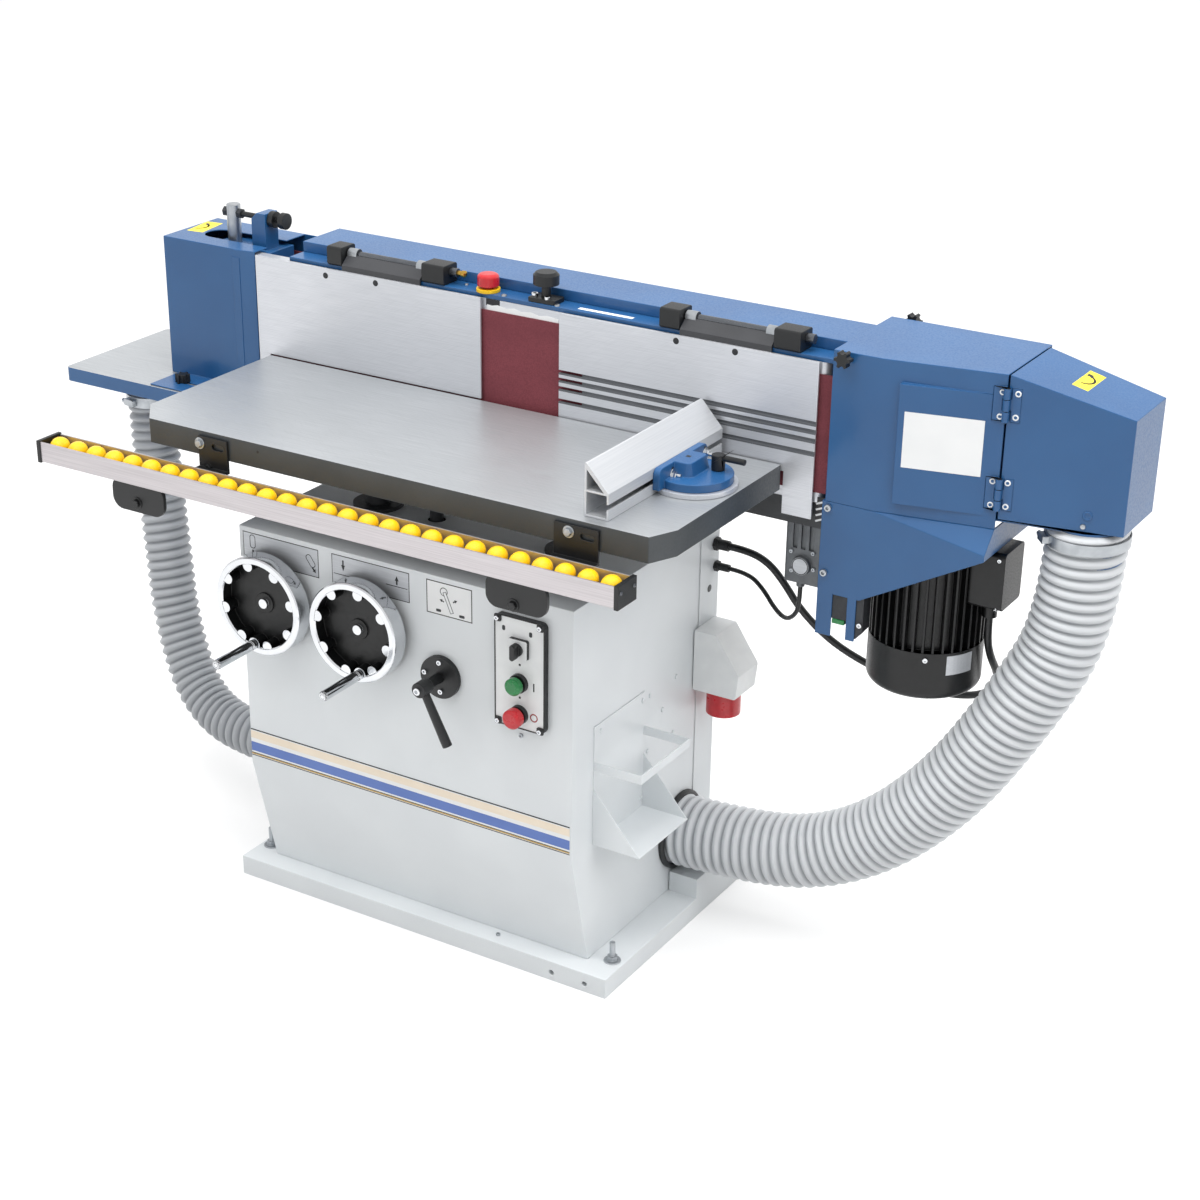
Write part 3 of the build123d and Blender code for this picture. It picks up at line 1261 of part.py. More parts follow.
save(unit_beam, "unit_beam")

# Platen behind the front run of the belt, with rounded ends
with BuildPart() as platen:
    with BuildSketch(level(BEAM_Z[1])):
        with Locations((0, sum(PLATEN_Y) / 2)):
            Rectangle(2 * PLATEN_HALF, PLATEN_Y[1] - PLATEN_Y[0])
        fillet(vertices().group_by(Axis.Y)[0], PLATEN_NOSE)
    extrude(amount=TOP_Z - BEAM_Z[1])
save(platen, "platen")

# Top plate over the platen
with BuildPart() as top_plate:
    block(TOP_X, TOP_Y, (TOP_Z, TOP_SURFACE))
save(top_plate, "top_plate")

# Back cover: one folded sheet over the back run of the belt
with BuildPart() as back_cover:
    with BuildSketch(side(TOP_X[0])):
        Polygon(
            (TOP_Y[1] - SHEET, TOP_SURFACE),
            (TOP_Y[1] - SHEET, BACK_COVER_TOP),
            (BACK_COVER_Y, BACK_COVER_TOP),
            (BACK_COVER_Y, BACK_COVER_BOTTOM),
            (BACK_COVER_Y - SHEET, BACK_COVER_BOTTOM),
            (BACK_COVER_Y - SHEET, BACK_COVER_TOP - SHEET),
            (TOP_Y[1], BACK_COVER_TOP - SHEET),
            (TOP_Y[1], TOP_SURFACE),
            align=None,
        )
    extrude(amount=TOP_X[1] - TOP_X[0])
save(back_cover, "back_cover")

# Hinge blocks of both front covers, the spring plunger, and the plate under the tension knob
with BuildPart() as hinge_blocks:
    for block_x in LEFT_BLOCKS_X + RIGHT_BLOCKS_X:
        with BuildSketch(side(block_x[0])):
            with Locations((sum(BLOCK_Y) / 2, (TOP_SURFACE + BLOCK_TOP) / 2)):
                Rectangle(BLOCK_Y[1] - BLOCK_Y[0], BLOCK_TOP - TOP_SURFACE)
            fillet(vertices().group_by(Axis.Z)[-1], BLOCK_ROUND)
            with Locations((HINGE_Y, HINGE_Z)):
                Circle(HINGE_ROD_R + RUN, mode=Mode.SUBTRACT)
        extrude(amount=block_x[1] - block_x[0])
    with BuildSketch(level(TOP_SURFACE)):
        with Locations((TENSION_X, TENSION_Y)):
            RectangleRounded(*TENSION_PLATE, BLOCK_ROUND)
            Circle(TENSION_STEM_R + RUN, mode=Mode.SUBTRACT)
    extrude(amount=TENSION_PLATE_THICK)
save(hinge_blocks, "hinge_blocks")

# Hinge rods, one for each pair of blocks
with BuildPart() as hinge_rods:
    for pair in (LEFT_BLOCKS_X, RIGHT_BLOCKS_X):
        bar((pair[0][0], HINGE_Y, HINGE_Z), (pair[1][1] + PLUNGER_OUT, HINGE_Y, HINGE_Z), HINGE_ROD_R)
        bar((pair[1][1], HINGE_Y, HINGE_Z), (pair[1][1] + PLUNGER_OUT, HINGE_Y, HINGE_Z), PLUNGER_R)
save(hinge_rods, "hinge_rods")


def front_cover(cover_x, bottom, tab_x, leaf_x, slots):
    """Adds a ground front cover with its end tab, sloped hinge leaf and any grooves that start as slots."""
    block(cover_x, (COVER_FACE, COVER_BACK), (bottom, COVER_TOP))
    block(tab_x, (COVER_FACE, COVER_BACK), (COVER_TAB, bottom))
    leaf_tip = HINGE_Y - HINGE_ROD_R - LEAF_TIP_GAP
    with BuildSketch(side(leaf_x[0])) as leaf:
        Polygon(
            (COVER_BACK, LEAF_BOTTOM),
            (COVER_BACK + LEAF_SHEET, LEAF_BOTTOM),
            (COVER_BACK + LEAF_SHEET, LEAF_BEND),
            (leaf_tip, HINGE_Z - LEAF_SHEET),
            (leaf_tip, HINGE_Z),
            (COVER_BACK, LEAF_BEND + LEAF_SHEET / 2),
            align=None,
        )
    extrude(leaf.sketch, amount=leaf_x[1] - leaf_x[0])
    for knuckle_x in (leaf_x[0], leaf_x[1] - LEAF_KNUCKLE):
        bar((knuckle_x, HINGE_Y, HINGE_Z), (knuckle_x + LEAF_KNUCKLE, HINGE_Y, HINGE_Z), KNUCKLE_R)
    bar(
        (leaf_x[0] - OVER, HINGE_Y, HINGE_Z),
        (leaf_x[1] + OVER, HINGE_Y, HINGE_Z),
        HINGE_ROD_R + RUN,
        mode=Mode.SUBTRACT,
    )
    for slot_z in slots:
        block(
            (cover_x[0] - OVER, cover_x[0] + COVER_SLOT),
            (COVER_FACE, COVER_BACK),
            (slot_z - COVER_SLOT_R, slot_z + COVER_SLOT_R),
            mode=Mode.SUBTRACT,
        )
        block(
            (cover_x[0], cover_x[1] + OVER),
            (COVER_FACE, COVER_FACE + COVER_GROOVE),
            (slot_z - COVER_SLOT_R, slot_z + COVER_SLOT_R),
            mode=Mode.SUBTRACT,
        )


with BuildPart() as left_cover:
    front_cover(
        LEFT_COVER_X,
        TABLE_TOP + LEFT_COVER_CLEAR,
        (LEFT_COVER_X[0], TABLE_X[0] - COVER_TAB_GAP),
        (LEFT_BLOCKS_X[0][1] + LEAF_SIDE_GAP, LEFT_BLOCKS_X[1][0] - LEAF_SIDE_GAP),
        (),
    )
save(left_cover, "left_cover")

with BuildPart() as right_cover:
    front_cover(
        RIGHT_COVER_X,
        RIGHT_COVER_BOTTOM,
        (TABLE_X[1] + COVER_TAB_GAP, RIGHT_COVER_X[1]),
        (RIGHT_BLOCKS_X[0][1] + LEAF_SIDE_GAP, RIGHT_BLOCKS_X[1][0] - LEAF_SIDE_GAP),
        COVER_SLOT_Z,
    )
save(right_cover, "right_cover")

# Emergency stop: a base ring and a mushroom head on a stem
with BuildPart() as estop_base:
    with BuildSketch(level(TOP_SURFACE)):
        with Locations((ESTOP_X, ESTOP_Y)):
            Circle(ESTOP_BASE_R)
            Circle(ESTOP_STEM_R + SLIP, mode=Mode.SUBTRACT)
    extrude(amount=ESTOP_BASE)
save(estop_base, "estop_base")

with BuildPart() as estop_head:
    head_z = TOP_SURFACE + ESTOP_BASE + ESTOP_TRAVEL + SLIP
    bar((ESTOP_X, ESTOP_Y, head_z), (ESTOP_X, ESTOP_Y, head_z + ESTOP_HEAD), ESTOP_HEAD_R)
    fillet(estop_head.edges().group_by(Axis.Z)[-1], ESTOP_HEAD / 3)
    bar((ESTOP_X, ESTOP_Y, TOP_SURFACE + ESTOP_TRAVEL + SLIP), (ESTOP_X, ESTOP_Y, head_z), ESTOP_STEM_R)
save(estop_head, "estop_head")

# Tension knob: a round head on a stem through its plate
with BuildPart() as tension_knob:
    at = (TENSION_X, TENSION_Y)
    bar((*at, TOP_SURFACE + SLIP), (*at, TENSION_HEAD_Z[0]), TENSION_STEM_R)
    bar((*at, TENSION_HEAD_Z[0]), (*at, TENSION_HEAD_Z[1]), TENSION_HEAD_R)
    chamfer(tension_knob.edges().group_by(Axis.Z)[-1], TENSION_ROUND)
save(tension_knob, "tension_knob")


def house_outline(inset):
    """Adds the plan of the drum housing, drawn in by inset."""
    Polygon(
        (HOUSE_X[0] + inset, HOUSE_FRONT + inset),
        (HOUSE_BEND_X, HOUSE_FRONT + inset),
        (HOUSE_X[1] - inset, front_y(HOUSE_X[1]) + inset),
        (HOUSE_X[1] - inset, HOUSE_BACK - inset),
        (HOUSE_X[0] + inset, HOUSE_BACK - inset),
        align=None,
    )


RECEDE_WAY = Vector(math.cos(math.radians(HOUSE_RECEDE)), math.sin(math.radians(HOUSE_RECEDE)), 0)
HOOD_LEFT = HOUSE_X[1] + HOOD_GAP
HINGE_X = (HOUSE_X[1] + HOOD_LEFT) / 2


def hinge_plane(z):
    """Level plane on the receding front at the hood hinge: x runs along the front, -y points out."""
    return Plane(origin=(HINGE_X, front_y(HINGE_X), z), x_dir=RECEDE_WAY, z_dir=(0, 0, 1))


def hood_leaf(way, low, high):
    """Adds one leaf of a hood hinge on its side of the joint, without its knuckles."""
    with BuildSketch(hinge_plane(low)) as leaf:
        with Locations((way * (HOOD_LEAF_START + HOOD_LEAF / 2), -HOOD_LEAF_SHEET / 2)):
            Rectangle(HOOD_LEAF, HOOD_LEAF_SHEET)
    extrude(leaf.sketch, amount=high - low)


def hood_knuckle(way, low, high, bore_r):
    """Adds a knuckle round the hood's hinge axis and its tongue to the leaf."""
    with BuildSketch(hinge_plane(low)) as knuckle:
        with Locations((0, -HOOD_HINGE_R)):
            Circle(HOOD_HINGE_R)
        with Locations((way * (HOOD_LEAF_START + HOOD_HINGE_R) / 2, -HOOD_LEAF_SHEET / 2)):
            Rectangle(HOOD_LEAF_START + HOOD_HINGE_R, HOOD_LEAF_SHEET)
        with Locations((0, -HOOD_HINGE_R)):
            Circle(bore_r, mode=Mode.SUBTRACT)
    extrude(knuckle.sketch, amount=high - low)


# Drum housing: a sheet cover with a receding front, a wedge panel and the fixed half of the hood hinges
with BuildPart() as drum_housing:
    with BuildSketch(level(HOUSE_Z[0])):
        house_outline(0)
    extrude(amount=HOUSE_Z[1] - HOUSE_Z[0])
    with BuildSketch(level(HOUSE_Z[0])):
        house_outline(SHEET)
    extrude(amount=HOUSE_Z[1] - HOUSE_Z[0] - SHEET, mode=Mode.SUBTRACT)
    block(
        (HOUSE_X[0] - OVER, HOUSE_X[0] + SHEET + SLIP),
        (HOUSE_FRONT + SHEET, BACK_COVER_Y),
        (HOUSE_Z[0], HOUSE_Z[1] - SHEET),
        mode=Mode.SUBTRACT,
    )
    block(
        (HOUSE_X[1] - SHEET - SLIP, HOUSE_X[1] + OVER),
        (front_y(HOUSE_X[1]) + SHEET + SLIP, HOUSE_BACK - SHEET),
        (HOUSE_Z[0], HOUSE_Z[1] - SHEET),
        mode=Mode.SUBTRACT,
    )
    with BuildSketch(level(WEDGE_Z[0])):
        Polygon(
            (WEDGE_X[0], front_y(WEDGE_X[0]) + SHEET / 2),
            (WEDGE_X[0], front_y(WEDGE_X[0]) - WEDGE_RISE),
            (WEDGE_X[1], front_y(WEDGE_X[1])),
            (WEDGE_X[1], front_y(WEDGE_X[1]) + SHEET / 2),
            align=None,
        )
    extrude(amount=WEDGE_Z[1] - WEDGE_Z[0])
    for low, high in HOOD_HINGES_Z:
        third = (high - low) / 3
        hood_leaf(-1, low, high)
        hood_knuckle(-1, low, low + third - SLIP, 0.5 * HOOD_PIN_R)
        hood_knuckle(-1, high - third + SLIP, high, 0.5 * HOOD_PIN_R)
        with BuildSketch(hinge_plane(low)):
            with Locations((0, -HOOD_HINGE_R)):
                Circle(HOOD_PIN_R)
        extrude(amount=high - low)
save(drum_housing, "drum_housing")

# End hood: a door with front, right wall and sloping top, hung on the drum housing
with BuildPart() as end_hood:
    hood_high = HOUSE_Z[1]
    hood_low_top = HOUSE_Z[1] - HOOD_DROP
    with BuildSketch(level(HOOD_BOTTOM)):
        Polygon(
            (HOOD_LEFT, front_y(HOOD_LEFT)),
            (HOOD_RIGHT, front_y(HOOD_RIGHT)),
            (HOOD_RIGHT, HOOD_BACK),
            (HOOD_LEFT, HOOD_BACK),
            align=None,
        )
    extrude(amount=hood_high - HOOD_BOTTOM)
    with BuildSketch(front(HOOD_BACK)):
        Polygon(
            (HOOD_LEFT, hood_high),
            (HOOD_RIGHT, hood_high),
            (HOOD_RIGHT, hood_low_top),
            align=None,
        )
    extrude(amount=HOOD_BACK - HOUSE_FRONT, mode=Mode.SUBTRACT)
    hood_open = [
        end_hood.faces().sort_by(Axis.Z)[0],
        end_hood.faces().sort_by(Axis.X)[0],
        end_hood.faces().sort_by(Axis.Y)[-1],
    ]
    offset(amount=-SHEET, openings=hood_open)
    for low, high in HOOD_HINGES_Z:
        third = (high - low) / 3
        hood_leaf(1, low, high)
        hood_knuckle(1, low + third, high - third, HOOD_PIN_R + RUN)
save(end_hood, "end_hood")

# Suction tray under the hood: floor, back wall and the spigot of the right hose
with BuildPart() as suction_tray:
    floor_top = TRAY_FLOOR_Z + SHEET
    tray_back = HOOD_BACK + SLIP
    tray_right = HOOD_RIGHT - TRAY_SHORT
    with BuildSketch(level(TRAY_FLOOR_Z)):
        Polygon(
            (FLOOR_START, front_y(HOUSE_X[1]) + SHEET + SLIP),
            (HOUSE_X[1], front_y(HOUSE_X[1]) + SHEET + SLIP),
            (tray_right, front_y(tray_right) + TRAY_INSET),
            (tray_right, tray_back),
            (HOUSE_X[1], tray_back),
            (HOUSE_X[1], HOUSE_BACK - SHEET),
            (FLOOR_START, HOUSE_BACK - SHEET),
            align=None,
        )
    extrude(amount=SHEET)
    with BuildSketch(front(tray_back)):
        Polygon(
            (HOUSE_X[1], TRAY_FLOOR_Z),
            (HOUSE_X[1], hood_high - SHEET),
            (tray_right, hood_low_top - SHEET),
            (tray_right, TRAY_FLOOR_Z),
            align=None,
        )
    extrude(amount=-SHEET)
    bar(
        (SUCTION_X, SUCTION_Y, floor_top),
        (SUCTION_X, SUCTION_Y, TRAY_FLOOR_Z - SUCTION_REACH),
        RIGHT_SPIGOT_R,
    )
    bar(
        (SUCTION_X, SUCTION_Y, floor_top),
        (SUCTION_X, SUCTION_Y, TRAY_FLOOR_Z - SUCTION_REACH),
        RIGHT_SPIGOT_R - SPIGOT_WALL,
        mode=Mode.SUBTRACT,
    )
    spigot_guard((SUCTION_X, SUCTION_Y, TRAY_FLOOR_Z - SUCTION_REACH / 4), RIGHT_SPIGOT_R, (1, 0, 0))
save(suction_tray, "suction_tray")


def shoulder_plane(drop):
    """Plane of the sloped shoulder between shroud and housing, lowered by drop."""
    near = Vector(HOUSE_BEND_X, HOUSE_FRONT, HOUSE_Z[0] - drop)
    far = Vector(HOUSE_X[1], front_y(HOUSE_X[1]), HOUSE_Z[0] - drop)
    low = Vector(HOUSE_X[1], HOUSE_FRONT, HOUSE_Z[0] - SHOULDER_DROP - drop)
    normal = (far - near).cross(low - near)
    return Plane(origin=near, z_dir=normal * (1 if normal.Z > 0 else -1))


# Space inside the motor shroud
with BuildPart() as shroud_space:
    block(
        (BEAM_X[1] + SHEET, HOUSE_X[1] - SHEET),
        (HOUSE_FRONT + SHEET, SHROUD_BACK + OVER),
        (LEG_BOTTOM - OVER, HOUSE_Z[0] + OVER),
    )
    split(bisect_by=shoulder_plane(SHEET), keep=Keep.BOTTOM)

# Motor shroud: front, left and right sheets, a sloped shoulder under the housing and two legs
with BuildPart() as motor_shroud:
    with BuildSketch(front(SHROUD_BACK)):
        Polygon(
            (BEAM_X[1], HOUSE_Z[0]),
            (HOUSE_X[1], HOUSE_Z[0]),
            (HOUSE_X[1], SHROUD_HIP),
            (SHROUD_HIP_X, SHROUD_LOW),
            (BEAM_X[1], SHROUD_LOW),
            align=None,
        )
    extrude(amount=SHROUD_BACK - HOUSE_FRONT)
    split(bisect_by=shoulder_plane(0), keep=Keep.BOTTOM)
    add(shroud_space.part, mode=Mode.SUBTRACT)
    block(
        (BEAM_X[1] - OVER, BEAM_X[1] + SHEET + SLIP),
        NOTCH_Y,
        (HOUSE_Z[0] - NOTCH_DEPTH, HOUSE_Z[0] + OVER),
        mode=Mode.SUBTRACT,
    )
    leg_z = (LEG_BOTTOM, SHROUD_LOW)
    leg_y = (HOUSE_FRONT, HOUSE_FRONT + SHEET)
    flange_y = (HOUSE_FRONT, HOUSE_FRONT + LEG_FLANGE)
    block((BEAM_X[1], BEAM_X[1] + LEG_WIDTH), leg_y, leg_z)
    block((BEAM_X[1], BEAM_X[1] + SHEET), flange_y, leg_z)
    block(LEG_SMALL_X, leg_y, leg_z)
save(motor_shroud, "motor_shroud")

# Oscillation gearbox under the unit beam: a grooved cast box with a round cap and a cable entry
with BuildPart() as oscillator:
    osc_z = (BEAM_Z[0] - OSC_HEIGHT, BEAM_Z[0])
    block(OSC_X, OSC_Y, osc_z)
    fillet(oscillator.edges().filter_by(Axis.Z), OSC_ROUND)
    cap_at = (sum(OSC_X) / 2, osc_z[1] - OSC_CAP_DROP)
    with BuildSketch(front(OSC_Y[0])):
        with Locations((cap_at[0], osc_z[1])):
            with GridLocations(OSC_GROOVE_PITCH, 1, OSC_GROOVE_COUNT, 1):
                Rectangle(OSC_GROOVE[0], 2 * OSC_GROOVE[2])
    extrude(amount=-OSC_GROOVE[1], mode=Mode.SUBTRACT)
    bar((cap_at[0], OSC_Y[0], cap_at[1]), (cap_at[0], OSC_Y[0] - OSC_CAP, cap_at[1]), OSC_CAP_R)
    bar(
        (OSC_ENTRY_X, OSC_ENTRY_Y, osc_z[0]),
        (OSC_ENTRY_X, OSC_ENTRY_Y, osc_z[0] - OSC_ENTRY),
        OSC_CABLE_R + GLAND_WALL / 2,
    )
    bar(
        (PUSH_X, ROD_Y, osc_z[1] - PUSH_REACH - STROKE - SLIP),
        (PUSH_X, ROD_Y, osc_z[1]),
        PUSH_R + RUN,
        mode=Mode.SUBTRACT,
    )
save(oscillator, "oscillator")

# Side table at the idler end: a hollow suction box with an inlet, a guard slot and a hose spigot
with BuildPart() as side_table:
    with BuildSketch(level(BEAM_Z[0])):
        with Locations((sum(SIDE_X) / 2, sum(SIDE_Y) / 2)):
            RectangleRounded(SIDE_X[1] - SIDE_X[0], SIDE_Y[1] - SIDE_Y[0], SIDE_ROUND)
    extrude(amount=SIDE_TOP - BEAM_Z[0])
    block(
        (SIDE_X[0] + SIDE_SHEET, SIDE_X[1] - SIDE_SHEET),
        (SIDE_Y[0] + SIDE_SHEET, SIDE_Y[1] - SIDE_SHEET),
        (BEAM_Z[0] + SIDE_SHEET, SIDE_TOP - SIDE_SHEET),
        mode=Mode.SUBTRACT,
    )
    block(SIDE_INLET, SIDE_INLET_Y, (SIDE_TOP - SIDE_SHEET - OVER, SIDE_TOP + OVER), mode=Mode.SUBTRACT)
    bar(
        (GUARD_KNOB_X, GUARD_KNOB_Y, SIDE_TOP - SIDE_SHEET),
        (GUARD_KNOB_X, GUARD_KNOB_Y, SIDE_TOP),
        KNOB_STUD_R + RUN,
        mode=Mode.SUBTRACT,
    )
    port = (SIDE_PORT_X, SIDE_PORT_Y)
    bar((*port, BEAM_Z[0]), (*port, BEAM_Z[0] - SIDE_SPIGOT), LEFT_SPIGOT_R)
    bar(
        (*port, BEAM_Z[0] + SIDE_SHEET),
        (*port, BEAM_Z[0] - SIDE_SPIGOT),
        LEFT_SPIGOT_R - SPIGOT_WALL,
        mode=Mode.SUBTRACT,
    )
    spigot_guard((*port, BEAM_Z[0] - SIDE_SPIGOT / 4), LEFT_SPIGOT_R, (1, 0, 0))
save(side_table, "side_table")

# Idler guard: a sheet hood open below and to the right, with a slot for the post and a forked foot
with BuildPart() as idler_guard:
    guard_low = SIDE_TOP + SLIP
    with BuildSketch(level(guard_low)):
        Polygon(
            (GUARD_X[0], GUARD_Y[0]),
            (GUARD_X[1] - GUARD_BEND, GUARD_Y[0]),
            (GUARD_X[1], GUARD_Y[0] + GUARD_BEND_BACK),
            (GUARD_X[1], GUARD_Y[1]),
            (GUARD_X[0], GUARD_Y[1]),
            align=None,
        )
    extrude(amount=GUARD_TOP - guard_low)
    guard_open = [idler_guard.faces().sort_by(Axis.Z)[0], idler_guard.faces().sort_by(Axis.X)[-1]]
    offset(amount=-GUARD_SHEET, openings=guard_open)
    with BuildSketch(level(GUARD_TOP)):
        slot_length = GUARD_X[1] - GUARD_SLOT_END
        with Locations((GUARD_SLOT_END + slot_length / 2, IDLER_Y)):
            Rectangle(slot_length, 2 * GUARD_SLOT_HALF)
        fillet(vertices().group_by(Axis.X)[0], GUARD_SLOT_HALF - SLIP)
    extrude(amount=-GUARD_SHEET, mode=Mode.SUBTRACT)
    block(
        (GUARD_X[1], GUARD_X[1] + GUARD_ARM),
        (GUARD_Y[1] - GUARD_SHEET, GUARD_Y[1]),
        (GUARD_TOP - GUARD_ARM_HEIGHT, GUARD_TOP),
    )
    foot_top = guard_low + GUARD_SHEET
    block(FLANGE_X, (FLANGE_FRONT, GUARD_Y[0]), (guard_low, foot_top))
    fork_r = KNOB_STUD_R + RUN
    fork_y = (GUARD_KNOB_Y - fork_r, GUARD_KNOB_Y + fork_r)
    block((GUARD_KNOB_X, FLANGE_X[1]), fork_y, (guard_low, foot_top), mode=Mode.SUBTRACT)
    bar(
        (GUARD_KNOB_X, GUARD_KNOB_Y, guard_low),
        (GUARD_KNOB_X, GUARD_KNOB_Y, foot_top),
        fork_r,
        mode=Mode.SUBTRACT,
    )
save(idler_guard, "idler_guard")


def star_knob(base, way, stud):
    """Adds a lobed knob whose seat is at base, facing along way, on a stud of the given length."""
    way = Vector(*way)
    base = Vector(*base)
    with BuildSketch(Plane(origin=base, z_dir=way)) as outline:
        Circle(KNOB_R)
        with PolarLocations(KNOB_R, KNOB_LOBES):
            Circle(KNOB_LOBE_R, mode=Mode.SUBTRACT)
    extrude(outline.sketch, amount=KNOB_HEIGHT)
    bar(base, base - way * stud, KNOB_STUD_R)


# Knob that clamps the foot of the guard on the side table
with BuildPart() as guard_knob:
    stud_length = foot_top + SLIP - SIDE_TOP + GUARD_KNOB_DROP
    star_knob((GUARD_KNOB_X, GUARD_KNOB_Y, foot_top + SLIP), (0, 0, 1), stud_length)
save(guard_knob, "guard_knob")

# Two lobed knobs that close the drum housing
with BuildPart() as housing_knobs:
    front_seat = HOUSE_FRONT - KNOB_STANDOFF
    star_knob((HOUSE_KNOB_FRONT[0], front_seat, HOUSE_KNOB_FRONT[1]), (0, -1, 0), KNOB_STANDOFF)
    back_seat = HOUSE_BACK + KNOB_STANDOFF
    star_knob((HOUSE_KNOB_BACK[0], back_seat, HOUSE_KNOB_BACK[1]), (0, 1, 0), KNOB_STANDOFF)
save(housing_knobs, "housing_knobs")


def belt_loop(extra):
    """Adds the area inside the belt loop, grown by extra."""
    with Locations((IDLER_X, IDLER_Y), (DRIVE_X, DRIVE_Y)):
        Circle(DRUM_R + BELT_GAP + extra)
    with Locations((PLATEN_HALF - PLATEN_NOSE, PLATEN_Y[0] + PLATEN_NOSE)):
        Circle(PLATEN_NOSE + BELT_GAP + extra)
    make_hull()


# Sanding belt: one closed loop round both drums and the nose of the platen
with BuildPart() as belt:
    with BuildSketch(level(BELT_BOTTOM)):
        belt_loop(BELT_THICK)
    extrude(amount=BELT_WIDTH)
    with BuildSketch(level(BELT_BOTTOM)):
        belt_loop(0)
    extrude(amount=BELT_WIDTH, mode=Mode.SUBTRACT)
save(belt, "belt")

# Idler drum: a drum open at both ends that runs on the fixed axle of the carriage
drum_z = (BELT_BOTTOM - DRUM_OVER, BELT_TOP + DRUM_OVER)
with BuildPart() as idler_drum:
    with BuildSketch(level(drum_z[0])):
        with Locations((IDLER_X, IDLER_Y)):
            Circle(DRUM_R)
            Circle(AXLE_R + RUN, mode=Mode.SUBTRACT)
    extrude(amount=drum_z[1] - drum_z[0])
save(idler_drum, "idler_drum")

# Drive drum with its shaft, which runs in both arms of the drive fork and into the motor
with BuildPart() as drive_drum:
    drive_at = (DRIVE_X, DRIVE_Y)
    bar((*drive_at, drum_z[0]), (*drive_at, drum_z[1]), DRUM_R)
    bar((*drive_at, MOTOR_TOP), (*drive_at, FORK_HIGH + FORK_THICK), DRIVE_SHAFT_R)
save(drive_drum, "drive_drum")

# Carriage that oscillates on the guide rods: box beam, idler fork, drive fork and tracking bracket
with BuildPart() as carriage:
    with BuildSketch(side(CARR_X[0])):
        with Locations((sum(CARR_Y) / 2, sum(CARR_Z) / 2)):
            Rectangle(CARR_Y[1] - CARR_Y[0], CARR_Z[1] - CARR_Z[0])
            Rectangle(
                CARR_Y[1] - CARR_Y[0] - 2 * CARR_WALL,
                CARR_Z[1] - CARR_Z[0] - 2 * CARR_WALL,
                mode=Mode.SUBTRACT,
            )
    extrude(amount=CARR_X[1] - CARR_X[0])
    idler_web = (CARR_X[0], CARR_X[0] + FORK_WEB)
    drive_web = (CARR_X[1] - FORK_WEB, CARR_X[1])
    idler_low = FORK_LOW - FORK_THICK
    block(idler_web, CARR_Y, (idler_low, CARR_Z[0]))
    block(idler_web, CARR_Y, (CARR_Z[1], FORK_HIGH + FORK_THICK))
    block(drive_web, CARR_Y, (MOTOR_TOP, CARR_Z[0]))
    block(drive_web, CARR_Y, (CARR_Z[1], FORK_HIGH + FORK_THICK))
    for low, thick, nose_r, at_x, at_y, web_x in (
        (idler_low, FORK_THICK, FORK_NOSE, IDLER_X, IDLER_Y, CARR_X[0]),
        (FORK_HIGH, FORK_THICK, FORK_NOSE, IDLER_X, IDLER_Y, CARR_X[0]),
        (MOTOR_TOP, DRIVE_ARM_THICK, DRIVE_ARM_R, DRIVE_X, DRIVE_Y, CARR_X[1]),
        (FORK_HIGH, FORK_THICK, FORK_NOSE, DRIVE_X, DRIVE_Y, CARR_X[1]),
    ):
        with BuildSketch(level(low)):
            with Locations((at_x, at_y)):
                Circle(nose_r)
            with Locations(((at_x + web_x) / 2, sum(CARR_Y) / 2)):
                Rectangle(abs(at_x - web_x), 2 * FORK_NOSE)
        extrude(amount=thick)
    bar((IDLER_X, IDLER_Y, FORK_LOW), (IDLER_X, IDLER_Y, FORK_HIGH), AXLE_R)
    bar(
        (*drive_at, MOTOR_TOP - OVER),
        (*drive_at, FORK_HIGH + FORK_THICK + OVER),
        DRIVE_SHAFT_R + RUN,
        mode=Mode.SUBTRACT,
    )
    for rod_x in (-ROD_X, ROD_X):
        bar(
            (rod_x, ROD_Y, CARR_Z[0] - OVER),
            (rod_x, ROD_Y, CARR_Z[1] + OVER),
            ROD_R + RUN,
            mode=Mode.SUBTRACT,
        )
    bar((PUSH_X, ROD_Y, BEAM_Z[0] - PUSH_REACH), (PUSH_X, ROD_Y, CARR_Z[0]), PUSH_R)
    with BuildSketch(front(IDLER_Y + TRACK_BRACKET_WIDTH / 2)):
        Polygon(
            (TRACK_BRACKET_X[0], FORK_HIGH),
            (TRACK_BRACKET_X[1], FORK_HIGH),
            (TRACK_BRACKET_X[1], TRACK_BRACKET_TOP),
            (TRACK_BRACKET_X[0] + FORK_THICK, TRACK_BRACKET_TOP),
            (TRACK_BRACKET_X[0], TRACK_Z),
            align=None,
        )
    extrude(amount=TRACK_BRACKET_WIDTH)
    bar(
        (TRACK_BRACKET_X[0] - OVER, IDLER_Y, TRACK_Z),
        (TRACK_BRACKET_X[1] + OVER, IDLER_Y, TRACK_Z),
        TRACK_STUD_R + RUN,
        mode=Mode.SUBTRACT,
    )
save(carriage, "carriage")

# Tracking post on the idler fork
with BuildPart() as tracking_post:
    post_x = (IDLER_X - POST_WIDTH / 2, IDLER_X + POST_WIDTH / 2)
    post_y = (IDLER_Y - POST_WIDTH / 2, IDLER_Y + POST_WIDTH / 2)
    block(post_x, post_y, (FORK_HIGH + FORK_THICK, POST_TOP))
    bar(
        (post_x[0] - OVER, IDLER_Y, TRACK_Z),
        (post_x[1] + OVER, IDLER_Y, TRACK_Z),
        TRACK_STUD_R + RUN,
        mode=Mode.SUBTRACT,
    )
save(tracking_post, "tracking_post")

